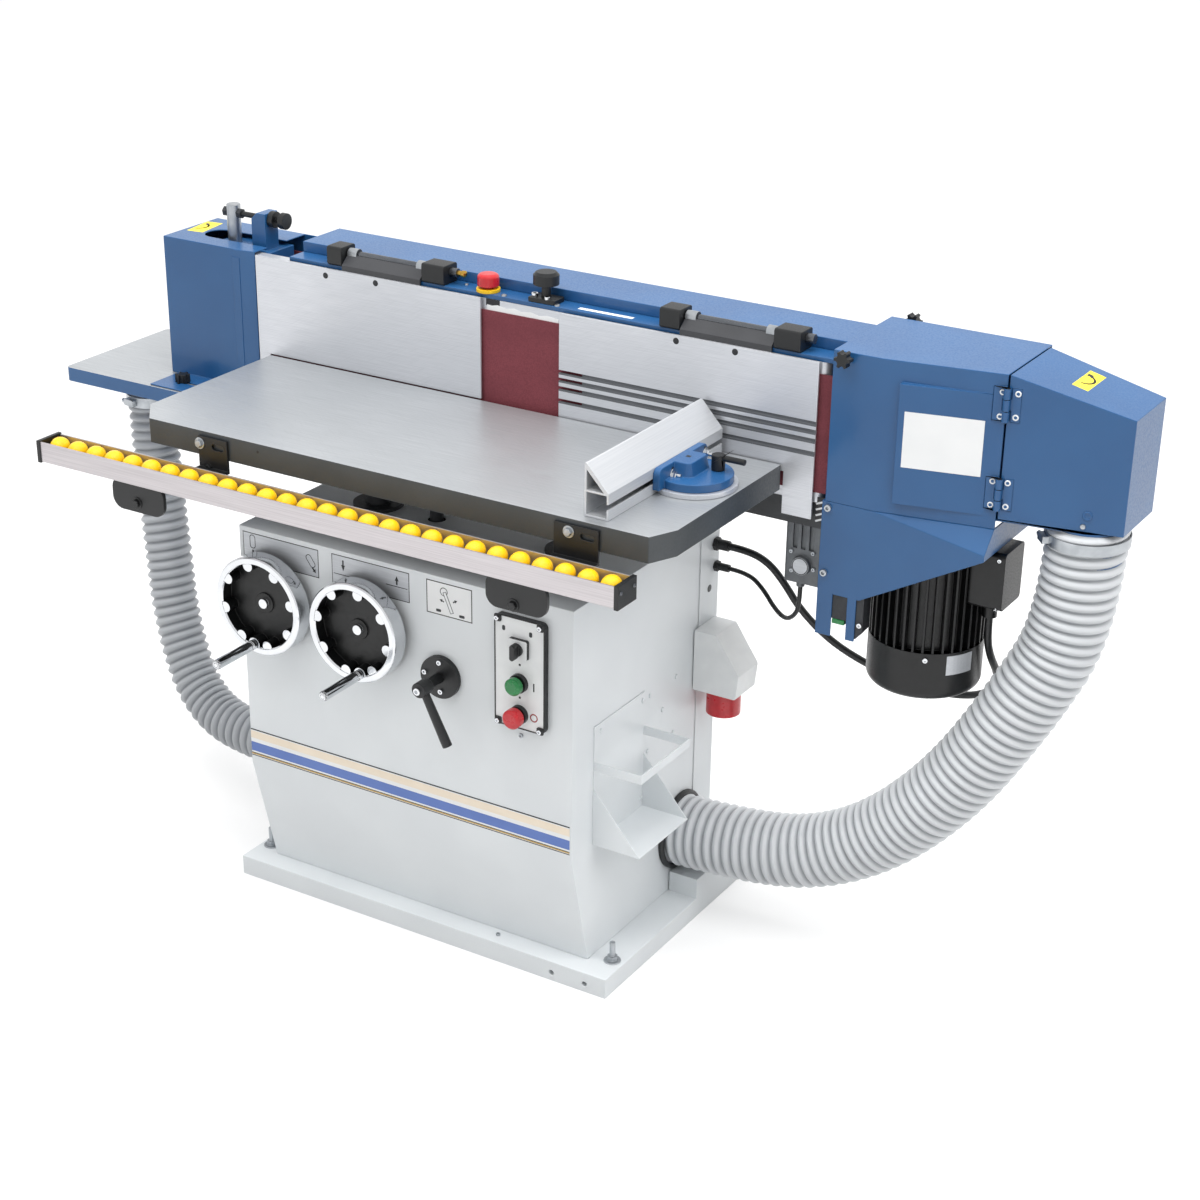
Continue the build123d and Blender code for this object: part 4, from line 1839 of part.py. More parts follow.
# Tracking knob: two grips on one stud through the bracket into the post
with BuildPart() as tracking_knob:
    first_x = TRACK_BRACKET_X[1] + SLIP
    second_x = first_x + TRACK_KNOB + TRACK_KNOB_GAP
    bar((post_x[0], IDLER_Y, TRACK_Z), (second_x, IDLER_Y, TRACK_Z), TRACK_STUD_R)
    bar((first_x, IDLER_Y, TRACK_Z), (first_x + TRACK_KNOB, IDLER_Y, TRACK_Z), TRACK_KNOB_R)
    bar((second_x, IDLER_Y, TRACK_Z), (second_x + TRACK_KNOB, IDLER_Y, TRACK_Z), TRACK_KNOB_R)
save(tracking_knob, "tracking_knob")

# Motor under the drive fork: flange, finned body, fan cover and terminal box with its gland
with BuildPart() as motor:
    with BuildSketch(level(MOTOR_BODY_TOP)):
        with Locations(drive_at):
            Circle(MOTOR_FLANGE_R)
    extrude(amount=MOTOR_FLANGE)
    with BuildSketch(level(FAN_TOP)):
        with Locations(drive_at):
            Circle(MOTOR_CORE_R)
            with PolarLocations((MOTOR_R + MOTOR_CORE_R) / 2 - FIN_WIDTH / 2, FINS):
                Rectangle(MOTOR_R - MOTOR_CORE_R + FIN_WIDTH, FIN_WIDTH)
    extrude(amount=MOTOR_BODY)
    with BuildSketch(level(MOTOR_BOTTOM)):
        with Locations(drive_at):
            Circle(FAN_COVER_R)
    extrude(amount=FAN_COVER)
    fillet(motor.edges().group_by(Axis.Z)[0], FAN_ROUND)
    term_x = (DRIVE_X + MOTOR_R - FIN_WIDTH, DRIVE_X + MOTOR_R + TERM_REACH)
    with BuildSketch(side(DRIVE_X + MOTOR_CORE_R)):
        with Locations((DRIVE_Y, sum(TERM_Z) / 2)):
            RectangleRounded(TERM_WIDTH, TERM_Z[1] - TERM_Z[0], TERM_ROUND)
    extrude(amount=MOTOR_R - MOTOR_CORE_R + TERM_REACH)
    term_gland = (DRIVE_X + MOTOR_R + TERM_GLAND_OUT, DRIVE_Y)
    bar((*term_gland, TERM_Z[0]), (*term_gland, TERM_Z[0] - GLAND_LENGTH), MOTOR_CABLE_R + GLAND_WALL)
save(motor, "motor")

# Routes of the hoses and cables. The points are as hung, the ends follow the pieces they meet.
BEND_SHARE = 0.45
CABLE_LEAD = 38.0
RIGHT_ROUTE = [
    (SUCTION_X, SUCTION_Y, TRAY_FLOOR_Z - SLIP),
    (SUCTION_X, SUCTION_Y, 700),
    (940, 150, 540),
    (830, 136, 350),
    (680, 122, 205),
    (500, RIGHT_PORT_Y, RIGHT_PORT_Z),
    (PLENUM_HALF + SPIGOT_REACH - SPIGOT_GRIP, RIGHT_PORT_Y, RIGHT_PORT_Z),
]
LEFT_ROUTE = [
    (SIDE_PORT_X, SIDE_PORT_Y, BEAM_Z[0] - SLIP),
    (SIDE_PORT_X, SIDE_PORT_Y, 670),
    (-806, 55, 480),
    (-772, 30, 310),
    (-690, 0, 170),
    (-540, LEFT_PORT_Y, LEFT_PORT_Z),
    (-PLENUM_HALF - SPIGOT_REACH + SPIGOT_GRIP, LEFT_PORT_Y, LEFT_PORT_Z),
]
MOTOR_ROUTE = [
    (WALL_FACE + GLAND_LENGTH, MOTOR_GLAND_Y, MOTOR_GLAND_Z),
    (WALL_FACE + GLAND_LENGTH + CABLE_LEAD, MOTOR_GLAND_Y, MOTOR_GLAND_Z),
    (440, 199, 662),
    (468, 204, 632),
    (500, 216, 578),
    (556, 240, 518),
    (640, 268, 474),
    (735, 284, 454),
    (812, 282, 468),
    (856, 254, 512),
    (868, 212, 558),
    (865, 178, 602),
    (*term_gland, TERM_Z[0] - GLAND_LENGTH - CABLE_LEAD),
    (*term_gland, TERM_Z[0] - GLAND_LENGTH),
]
OSC_ROUTE = [
    (WALL_FACE + GLAND_LENGTH, OSC_GLAND_Y, OSC_GLAND_Z),
    (WALL_FACE + GLAND_LENGTH + CABLE_LEAD, OSC_GLAND_Y, OSC_GLAND_Z),
    (440, 186, 616),
    (475, 162, 597),
    (508, 139, 593),
    (532, 122, 611),
    (OSC_ENTRY_X, OSC_ENTRY_Y, BEAM_Z[0] - OSC_HEIGHT - OSC_ENTRY - CABLE_LEAD),
    (OSC_ENTRY_X, OSC_ENTRY_Y, BEAM_Z[0] - OSC_HEIGHT - OSC_ENTRY),
]


def bend_radii(name, points):
    """Bend radius at each inner point of a route, as large as the two runs beside it allow."""
    radii = []
    for before, here, after in zip(points, points[1:], points[2:]):
        run_in = Vector(*here) - Vector(*before)
        run_out = Vector(*after) - Vector(*here)
        half_turn = math.radians(run_in.get_angle(run_out)) / 2
        radii.append(BEND_SHARE * min(run_in.length, run_out.length) / math.tan(half_turn))
    print(name, "bend radii", [round(r) for r in radii])
    return radii


def hose_radii(name, points, straight):
    """Bend radii of a hose, with the first and last bends short enough to leave its ends straight."""
    radii = bend_radii(name, points)
    for corner, end in ((0, 0), (-1, -1)):
        inner = points[1] if end == 0 else points[-2]
        second = points[2] if end == 0 else points[-3]
        run = Vector(*points[end]) - Vector(*inner)
        turn = math.radians(180 - run.get_angle(Vector(*second) - Vector(*inner)))
        radii[corner] = min(radii[corner], (run.length - straight) / math.tan(turn / 2))
    return radii


def ribbed_hose(route, bore_r, crest_r, ribs):
    """Adds a ribbed hose along a route: each rib is four circles, with plain cuffs at both ends."""
    root_r = crest_r - RIB_DEPTH
    length = route.length
    cuff = crest_r
    pitch = (length - 2 * cuff) / ribs
    stations = [(0, root_r)]
    for rib in range(ribs):
        start = cuff + rib * pitch
        stations += [(start, root_r), (start + pitch / 4, crest_r)]
        stations += [(start + pitch / 2, crest_r), (start + 3 * pitch / 4, root_r)]
    stations.append((length, root_r))
    loft([ring(route, along, radius) for along, radius in stations], ruled=True)
    bore = [ring(route, length * step / BORE_STATIONS, bore_r) for step in range(BORE_STATIONS + 1)]
    loft(bore, ruled=True, mode=Mode.SUBTRACT)


def ring(route, along, radius):
    """Circle across a route at a distance along it, with a steady x direction."""
    place = route.position_at(along, position_mode=PositionMode.LENGTH)
    way = route.tangent_at(along, position_mode=PositionMode.LENGTH)
    with BuildSketch(Plane(origin=place, x_dir=(0, 1, 0), z_dir=way)) as circle:
        Circle(radius)
    return circle.sketch


with BuildLine() as right_line:
    FilletPolyline(*RIGHT_ROUTE, radius=hose_radii("hose_right", RIGHT_ROUTE, 2 * RIGHT_CREST_R))

with BuildPart() as hose_right:
    ribbed_hose(right_line.wire(), RIGHT_BORE_R, RIGHT_CREST_R, RIGHT_RIBS)
save(hose_right, "hose_right")

with BuildLine() as left_line:
    FilletPolyline(*LEFT_ROUTE, radius=hose_radii("hose_left", LEFT_ROUTE, 2 * LEFT_CREST_R))

with BuildPart() as hose_left:
    ribbed_hose(left_line.wire(), LEFT_BORE_R, LEFT_CREST_R, LEFT_RIBS)
save(hose_left, "hose_left")


def cable(name, points, radius):
    """Adds a cable along a route and compares its volume with section times length."""
    with BuildLine() as line:
        FilletPolyline(*points, radius=bend_radii(name, points))
    route = line.wire()
    with BuildSketch(Plane(origin=route @ 0, z_dir=route % 0)) as section:
        Circle(radius)
    sweep(section.sketch, path=route)
    print(name, "length", round(route.length), "expected volume", round(section.sketch.area * route.length))


with BuildPart() as cable_motor:
    cable("cable_motor", MOTOR_ROUTE, MOTOR_CABLE_R)
print("cable_motor volume", round(cable_motor.part.volume))
save(cable_motor, "cable_motor")

with BuildPart() as cable_oscillator:
    cable("cable_oscillator", OSC_ROUTE, OSC_CABLE_R)
print("cable_oscillator volume", round(cable_oscillator.part.volume))
save(cable_oscillator, "cable_oscillator")
print("hose lengths", round(right_line.wire().length), round(left_line.wire().length))
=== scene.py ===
import json
import logging
import math
from collections.abc import Callable, Sequence
from dataclasses import dataclass, replace
from enum import Enum, IntEnum

import bmesh
import bpy
from mathutils import Matrix, Vector
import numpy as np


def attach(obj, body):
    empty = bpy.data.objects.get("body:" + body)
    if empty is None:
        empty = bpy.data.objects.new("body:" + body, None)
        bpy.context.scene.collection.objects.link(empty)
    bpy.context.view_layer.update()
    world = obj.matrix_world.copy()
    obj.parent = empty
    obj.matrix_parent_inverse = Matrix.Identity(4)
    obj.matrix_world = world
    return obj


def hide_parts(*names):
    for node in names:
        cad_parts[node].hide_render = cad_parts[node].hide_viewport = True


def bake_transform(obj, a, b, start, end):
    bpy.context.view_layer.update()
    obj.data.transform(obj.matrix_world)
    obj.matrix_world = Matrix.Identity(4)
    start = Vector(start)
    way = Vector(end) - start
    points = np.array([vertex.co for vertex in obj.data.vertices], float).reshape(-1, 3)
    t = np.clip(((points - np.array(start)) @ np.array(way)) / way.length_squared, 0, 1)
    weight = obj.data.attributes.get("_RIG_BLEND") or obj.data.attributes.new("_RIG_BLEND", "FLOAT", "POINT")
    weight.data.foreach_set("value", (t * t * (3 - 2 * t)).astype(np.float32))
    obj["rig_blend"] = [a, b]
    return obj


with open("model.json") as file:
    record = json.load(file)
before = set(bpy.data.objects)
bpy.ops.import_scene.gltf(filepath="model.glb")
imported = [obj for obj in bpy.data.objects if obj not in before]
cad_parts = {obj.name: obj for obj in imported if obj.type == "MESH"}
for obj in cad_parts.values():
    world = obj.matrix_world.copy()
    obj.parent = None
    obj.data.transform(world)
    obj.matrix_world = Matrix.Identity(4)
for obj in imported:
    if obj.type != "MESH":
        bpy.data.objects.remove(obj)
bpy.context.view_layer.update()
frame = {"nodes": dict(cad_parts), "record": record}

LOG = logging.getLogger("belt_sander")
MM = 0.001
# Faces that meet at more than CREASE keep their edge, those that meet at less than FLAT become one
CREASE, FLAT = math.radians(32), math.radians(0.4)
MERGE_REACH = 0.01 * MM  # corners of a CAD mesh that are nearer than this become one
FILM = 0.12  # thickness of one printed film in millimetres
COAT_ROUGHNESS = 0.12
VALLEY_TOP = 0.6  # share of a rib's height at which the shade of the valley ends
RIB_POWER = 0.65  # below one, so that a rib is rounder than the valley beside it
ROLL_STEP = 1.3  # turn from one fastener to the next in radians
BODY_OF = {n: b for b, nodes in frame["record"]["behaviour"]["bodies"].items() for n in nodes}
FRONT, BACK = (0.0, -1.0, 0.0), (0.0, 1.0, 0.0)
LEFT, RIGHT = (-1.0, 0.0, 0.0), (1.0, 0.0, 0.0)
UP = (0.0, 0.0, 1.0)

Pair = tuple[float, float]
Point = tuple[float, float, float]
Outline = Sequence[Pair]
Picker = Callable[[Vector, Vector], int]
Tree, Node, Socket = bpy.types.NodeTree, bpy.types.Node, bpy.types.NodeSocket


def linear(hex_colour: str) -> tuple[float, float, float, float]:
    """Turns an sRGB hex colour into the linear values that shaders take.

    Args:
        hex_colour: The colour as #RRGGBB.

    Returns:
        Red, green, blue and an alpha of one.
    """
    parts = [int(hex_colour[i:i + 2], 16) / 255 for i in (1, 3, 5)]
    red, green, blue = (c / 12.92 if c <= 0.04045 else ((c + 0.055) / 1.055) ** 2.4 for c in parts)
    return red, green, blue, 1.0


def add_node(
    tree: Tree,
    kind: str,
    settings: dict[str | int, object] | None = None,
    links: dict[str | int, Socket] | None = None,
) -> Node:
    """Adds a node to a tree with its settings and links.

    Args:
        tree: The tree that gets the node.
        kind: The node's type.
        settings: Values by the name of a property, or by the name or number of an input.
        links: Output sockets by the name or number of the input that they feed.

    Returns:
        The new node.
    """
    made = tree.nodes.new(kind)
    for key, value in (settings or {}).items():
        if isinstance(key, str) and hasattr(made, key):
            setattr(made, key, value)
        else:
            made.inputs[key].default_value = value
    for key, socket in (links or {}).items():
        tree.links.new(socket, made.inputs[key])
    return made


class Grain(Enum):
    """What a layer of a surface is drawn with."""

    CLOUD = "ShaderNodeTexNoise"
    CELL = "ShaderNodeTexVoronoi"


@dataclass(frozen=True)
class Layer:
    """One layer of a surface: features of a real size that change its colour, gloss or relief.

    The size of a feature along X, Y and Z and its relief are in millimetres, and window is the part of
    the texture's values that is spread from nothing to all.
    """

    size: Point
    tint: float = 0.0
    gloss: float = 0.0
    relief: float = 0.0
    grain: Grain = Grain.CLOUD
    window: Pair = (0.35, 0.65)
    turn: Point = (0.0, 0.0, 0.0)

    def draw(self, tree: Tree, place: Socket) -> Socket:
        """Adds the layer's texture.

        Args:
            tree: The material's tree.
            place: The coordinates that the texture reads, in metres.

        Returns:
            The socket with the texture's values.
        """
        rotated = add_node(tree, "ShaderNodeMapping",
                           {"Rotation": tuple(math.radians(a) for a in self.turn)}, {"Vector": place})
        scaled = add_node(tree, "ShaderNodeMapping",
                          {"Scale": tuple(1 / (s * MM) for s in self.size)},
                          {"Vector": rotated.outputs["Vector"]})
        texture = add_node(tree, self.grain.value, {"Scale": 1.0}, {"Vector": scaled.outputs["Vector"]})
        return texture.outputs[0]

    def spread(self, tree: Tree, values: Socket, low: float, high: float) -> Socket:
        """Spreads the texture's window from a low to a high value.

        Args:
            tree: The material's tree.
            values: The texture's values.
            low: What the window's start becomes.
            high: What the window's end becomes.

        Returns:
            The socket with the spread values.
        """
        ranged = add_node(tree, "ShaderNodeMapRange",
                          {1: self.window[0], 2: self.window[1], 3: low, 4: high}, {0: values})
        return ranged.outputs[0]


@dataclass(frozen=True)
class Finish:
    """A surface: its colours, its gloss and the layers that give it life."""

    name: str
    slot: str
    colour: str
    shade: str
    roughness: float
    metallic: float = 0.0
    ior: float = 1.5
    coat: float = 0.0
    valley: float = 0.0
    layers: tuple[Layer, ...] = ()

    def material(self) -> bpy.types.Material:
        """Gives the finish's material, made when it is first asked for.

        Returns:
            The material.
        """
        known = bpy.data.materials.get(self.name)
        if known:
            return known
        made = bpy.data.materials.new(self.name)
        made.use_nodes = True
        tree = made.node_tree
        tree.nodes.clear()
        settings = {"Base Color": linear(self.colour), "Roughness": self.roughness,
                    "Metallic": self.metallic, "Coat Weight": self.coat, "Coat Roughness": COAT_ROUGHNESS}
        if not self.metallic:
            settings["IOR"] = self.ior
        links: dict[str | int, Socket] = {}
        shaded = []
        # Painted shade: where a rib's crest is low, in the valleys between a hose's ribs, the colour goes
        # towards the shade
        if self.valley:
            crest = add_node(tree, "ShaderNodeAttribute", {"attribute_name": "crest"})
            depth = add_node(tree, "ShaderNodeMapRange", {1: 0.0, 2: VALLEY_TOP, 3: self.valley, 4: 0.0},
                             {0: crest.outputs["Fac"]})
            shaded.append(depth.outputs[0])
        place = add_node(tree, "ShaderNodeTexCoord").outputs["Object"]
        for layer in self.layers:
            values = layer.draw(tree, place)
            if layer.tint:
                shaded.append(layer.spread(tree, values, 0, layer.tint))
            if layer.gloss:
                half = layer.gloss / 2
                links["Roughness"] = layer.spread(tree, values, self.roughness - half, self.roughness + half)
            if layer.relief:
                bump = add_node(tree, "ShaderNodeBump", {"Strength": 1.0, "Distance": layer.relief * MM},
                                {"Height": layer.spread(tree, values, 0, 1)})
                if "Normal" in links:
                    tree.links.new(links["Normal"], bump.inputs["Normal"])
                links["Normal"] = bump.outputs["Normal"]
        for share in shaded:
            mixed = add_node(tree, "ShaderNodeMix",
                             {"data_type": "RGBA", 6: linear(self.colour), 7: linear(self.shade)}, {0: share})
            if "Base Color" in links:
                tree.links.new(links["Base Color"], mixed.inputs[6])
            links["Base Color"] = mixed.outputs[2]
        shader = add_node(tree, "ShaderNodeBsdfPrincipled", settings, links)
        add_node(tree, "ShaderNodeOutputMaterial", {}, {"Surface": shader.outputs[0]})
        return made


# Powder-coated sheet steel: an even light grey skin whose orange peel, about 3 mm, softens its gloss
CABINET_PAINT = Finish(
    "cabinet_powder_coat", "cabinet_paint", "#E6EAEC", "#DADEE1", 0.42, coat=0.1,
    layers=(Layer((160, 160, 160), tint=0.4), Layer((3, 3, 3), gloss=0.12, relief=0.012)),
)
# Blue powder coat with a fine hammered skin, drawn at 3 mm so that it shows
BLUE_PAINT = Finish(
    "blue_powder_coat", "blue_paint", "#26598B", "#204E7E", 0.36, ior=1.45, coat=0.28,
    layers=(Layer((140, 140, 140), tint=0.5), Layer((3, 3, 3), gloss=0.14, relief=0.014)),
)
# Dark grey machine enamel, brushed on a casting: satin with slow changes of tone
DARK_PAINT = Finish(
    "dark_enamel", "dark_paint", "#3A3C3F", "#2B2D30", 0.45,
    layers=(Layer((60, 60, 60), tint=0.6), Layer((4, 4, 4), gloss=0.15, relief=0.02)),
)
# The sides of the table casting: grey enamel over sand-cast skin of about 5 mm
TABLE_SIDE = Finish(
    "table_side_enamel", "cast_iron", "#44484B", "#373B3E", 0.42,
    layers=(Layer((90, 90, 90), tint=0.6), Layer((5, 5, 5), gloss=0.15, relief=0.03)),
)
# Planed and ground iron: bright, with grinding marks along the table, drawn 2 mm wide so that they show
TABLE_GROUND = Finish(
    "ground_cast_iron", "cast_iron", "#C3C6C9", "#ADB1B4", 0.42, metallic=0.65,
    layers=(Layer((220, 220, 220), tint=0.35), Layer((90, 2, 2), tint=0.35, gloss=0.16, relief=0.004),
            Layer((40, 2.5, 2.5), tint=0.25, window=(0.55, 0.7), turn=(0, 0, 35))),
)
# Ground steel sheet: bright with fine cross-hatched marks, drawn 2 mm wide so that they show
GROUND_STEEL = Finish(
    "ground_steel_sheet", "ground_steel", "#DADCE1", "#C3C6CB", 0.40, metallic=0.6,
    layers=(Layer((250, 250, 250), tint=0.3), Layer((70, 2, 2), tint=0.3, gloss=0.16, relief=0.004),
            Layer((45, 2, 2), tint=0.25, window=(0.5, 0.7), turn=(0, 30, 0))),
)
# Zinc-plated steel: bluish bright with a cloudy bloom of a few centimetres
ZINC = Finish(
    "zinc_plate", "zinc", "#B4B8BC", "#9DA2A7", 0.34, metallic=0.9,
    layers=(Layer((18, 18, 18), tint=0.5, gloss=0.12),),
)
# Polished chrome: a mirror with slight haze where hands go
CHROME = Finish(
    "polished_chrome", "chrome", "#D9DBDE", "#BFC2C6", 0.12, metallic=1.0,
    layers=(Layer((25, 25, 25), tint=0.25, gloss=0.08),),
)
# Brushed and anodised aluminium: warm white with brush lines along the profile, drawn 2 mm wide
RAIL_ALUMINIUM = Finish(
    "brushed_aluminium", "aluminium", "#C9C4C6", "#B1ACAE", 0.36, metallic=0.8,
    layers=(Layer((180, 2, 2), tint=0.5, gloss=0.14, relief=0.004),),
)
# Anodised extrusion: silky pale silver with die lines along it, drawn 2 mm wide
FENCE_ALUMINIUM = Finish(
    "anodised_extrusion", "aluminium", "#D0D2D5", "#C3C6CA", 0.38, metallic=0.4,
    layers=(Layer((2, 160, 2), tint=0.45, gloss=0.12, relief=0.003),),
)
# Pressure die-cast aluminium: dull grey with a fine cast skin of about 3 mm
DIE_CAST = Finish(
    "die_cast_aluminium", "aluminium", "#6E7174", "#585B5E", 0.48, metallic=0.6,
    layers=(Layer((30, 30, 30), tint=0.5), Layer((3, 3, 3), gloss=0.15, relief=0.02)),
)
# Raw dark castings inside the stand: dull, with a sand-cast skin of about 4 mm
DARK_IRON = Finish(
    "dark_cast_iron", "dark_iron", "#34363A", "#232528", 0.55,
    layers=(Layer((40, 40, 40), tint=0.6), Layer((4, 4, 4), gloss=0.12, relief=0.04)),
)
# Moulded glass-filled nylon: deep black with a fine leathery mould grain, drawn at 2 mm
BLACK_PLASTIC = Finish(
    "moulded_black_nylon", "black_plastic", "#141516", "#1F2123", 0.42,
    layers=(Layer((2, 2, 2), tint=0.5, gloss=0.16, relief=0.012),),
)
# Black dish of the handwheels: semi-gloss enamel over a cast skin of about 6 mm
WHEEL_BLACK = Finish(
    "black_wheel_enamel", "black_plastic", "#070809", "#0E0F10", 0.4, ior=1.45,
    layers=(Layer((6, 6, 6), tint=0.4, gloss=0.12, relief=0.02),),
)
# Moulded white plastic of housings and panels: smooth, faintly uneven
WHITE_PLASTIC = Finish(
    "moulded_white_plastic", "white_plastic", "#F0F2F2", "#E6E8E9", 0.35,
    layers=(Layer((30, 30, 30), tint=0.5, gloss=0.1), Layer((2, 2, 2), relief=0.006)),
)
# Injection-moulded acetal: saturated warm yellow with a soft shine
YELLOW_PLASTIC = Finish(
    "yellow_acetal", "yellow_plastic", "#FACB1A", "#EDB30E", 0.3, coat=0.15,
    layers=(Layer((12, 12, 12), tint=0.5, gloss=0.1),),
)
# Yellow back ring of the emergency stop: matt moulded plastic
YELLOW_RING = Finish(
    "yellow_ring_plastic", "yellow_ring", "#EFC11B", "#D9A910", 0.4,
    layers=(Layer((8, 8, 8), tint=0.4, gloss=0.1),),
)
# Red moulded plastic of the stop heads and the mains collar: glossy, with flow marks of about 10 mm
RED_PLASTIC = Finish(
    "red_moulded_plastic", "red_plastic", "#C6202A", "#AE1820", 0.32, coat=0.2,
    layers=(Layer((10, 10, 10), tint=0.5, gloss=0.1),),
)
# Green moulded plastic of the start button: glossy, with flow marks of about 8 mm
GREEN_PLASTIC = Finish(
    "green_moulded_plastic", "green_plastic", "#14803F", "#0F6A33", 0.3, coat=0.2,
    layers=(Layer((8, 8, 8), tint=0.5, gloss=0.1),),
)
# Abrasive cloth: aluminium-oxide grit in red-brown resin, drawn at 2.5 mm so that the grit shows
ABRASIVE = Finish(
    "aluminium_oxide_cloth", "abrasive", "#86434B", "#6B333B", 0.85,
    layers=(Layer((120, 120, 40), tint=0.4),
            Layer((2.5, 2.5, 2.5), tint=0.5, relief=0.08, grain=Grain.CELL, window=(0.2, 0.8))),
)
# Polyurethane hose: grey, slightly shiny, with painted shade darkening the valleys between its ribs
HOSE_GREY = Finish(
    "grey_polyurethane_hose", "hose_grey", "#D2D5D8", "#8F9398", 0.34, ior=1.48, valley=0.9,
    layers=(Layer((60, 60, 60), gloss=0.12),),
)
# Painted shade: the same hose on the idler's side, made darker because that side hangs in shade
HOSE_IN_SHADE = replace(HOSE_GREY, name="shaded_polyurethane_hose", colour="#B2B5B9", shade="#767A7F")
# PVC cable sheath: black with a dull sheen
CABLE_BLACK = Finish(
    "black_pvc_sheath", "cable_black", "#151617", "#222426", 0.4,
    layers=(Layer((10, 10, 10), tint=0.5, gloss=0.15),),
)
# Motor housing: black enamel over an aluminium extrusion, with an orange peel of about 3 mm
MOTOR_BLACK = Finish(
    "black_motor_enamel", "motor_paint", "#08090A", "#111214", 0.36, ior=1.45,
    layers=(Layer((20, 20, 20), tint=0.5), Layer((3, 3, 3), gloss=0.14, relief=0.015)),
)
# Blackened steel of rods and small turned parts: a dark shine with drawing lines, drawn 3 mm wide
DARK_STEEL = Finish(
    "blackened_steel", "dark_iron", "#6A6D72", "#54575B", 0.3, metallic=0.85,
    layers=(Layer((20, 3, 3), tint=0.5, gloss=0.12),),
)
# The shadowed floor of a groove milled in sheet: dull, with cutter marks drawn 3 mm wide
GROOVE_GREY = Finish(
    "groove_grey", "ground_steel", "#6C6F73", "#585B5F", 0.5, metallic=0.3,
    layers=(Layer((40, 3, 3), tint=0.5, gloss=0.1),),
)
# Turned brass: warm and slightly dull, with turning marks drawn 2 mm wide
BRASS = Finish(
    "turned_brass", "yellow_ring", "#C9A24E", "#A9853A", 0.28, metallic=1.0,
    layers=(Layer((8, 2, 2), tint=0.4, gloss=0.1),),
)


def film(
    name: str, slot: str, colour: str, shade: str, patch: float, roughness: float = 0.4, tint: float = 0.4
) -> Finish:
    """Gives the finish of a printed film: a flat ink on a satin carrier, with faint changes of tone.

    Args:
        name: The finish's name.
        slot: The slot that it goes with.
        colour: The ink's colour.
        shade: What the colour changes to.
        patch: The size of the changes in millimetres.
        roughness: How dull the carrier is.
        tint: How much of the shade shows.

    Returns:
        The finish.
    """
    return Finish(name, slot, colour, shade, roughness, layers=(Layer((patch,) * 3, tint=tint, gloss=0.08),))


# The stripe's cream, blue and gold: satin inks that change a little every 40 mm
FILM_CREAM = film("cream_film", "cabinet_paint", "#F4E7D3", "#EDDFC9", 40, tint=0.5)
FILM_BLUE = film("blue_film", "blue_paint", "#617DC0", "#5A75B7", 40, tint=0.5)
FILM_GOLD = film("gold_film", "yellow_ring", "#C9A55A", "#B89349", 40, tint=0.5)
# Black and red ink of signs and lines: dull, thin in places of about 12 mm; the black is also laid as painted
# shade inside holes and slots
FILM_BLACK = film("black_ink", "black_plastic", "#1C1D20", "#2A2B2F", 12, 0.45)
FILM_RED = film("red_ink", "red_plastic", "#C22A30", "#AD2127", 12, 0.45)
# Yellow of the labels: satin, with slow changes of 30 mm
FILM_YELLOW = film("yellow_film", "yellow_ring", "#F2DB3A", "#E6CC2A", 30)
# White of bare plates and of the stripe's ground: a little glossier, almost even
FILM_WHITE = film("white_film", "white_plastic", "#F1F2F2", "#E7E9EA", 60, 0.35)
# Anodised nameplate sheet: satin silver with brush lines along it, drawn 3 mm wide
PLATE_SILVER = Finish(
    "silver_plate", "aluminium", "#C2C5C9", "#B1B4B9", 0.42, metallic=0.5,
    layers=(Layer((60, 3, 3), tint=0.4, gloss=0.1),),
)
# Dark powder coat on the hinge leaves of the covers: satin with a fine orange peel of about 3 mm
DARK_SHEET = Finish(
    "dark_sheet", "dark_paint", "#3C3D40", "#2E2F32", 0.4,
    layers=(Layer((70, 70, 70), tint=0.5), Layer((3, 3, 3), gloss=0.12, relief=0.012)),
)


def settle(
    name: str,
    data: bpy.types.Mesh,
    body: str,
    finishes: Sequence[Finish],
    edge: float = 0.0,
    stands_for: Sequence[str] = (),
) -> bpy.types.Object:
    """Makes a mesh a piece of a body, with its finishes and softened edges.

    Args:
        name: The piece's name.
        data: The mesh, in place and in metres.
        body: The body that it moves with.
        finishes: The finishes in the order of the faces' indices.
        edge: The width of its softened edges in millimetres.
        stands_for: The nodes that it replaces.

    Returns:
        The piece.
    """
    if not data.materials:
        for finish in finishes:
            data.materials.append(finish.material())
    data.shade_smooth()
    data.set_sharp_from_angle(angle=CREASE)
    made = bpy.data.objects.new(name, data)
    bpy.context.scene.collection.objects.link(made)
    if edge:
        soft = made.modifiers.new("soft_edges", "BEVEL")
        soft.width = edge * MM
        soft.segments = 2
        soft.limit_method = "ANGLE"
        soft.angle_limit = CREASE
        soft.use_clamp_overlap = False
        soft.harden_normals = True
    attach(made, body)
    if stands_for:
        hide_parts(*stands_for)
    LOG.info("%s on %s, %d faces", name, body, len(data.polygons))
    return made


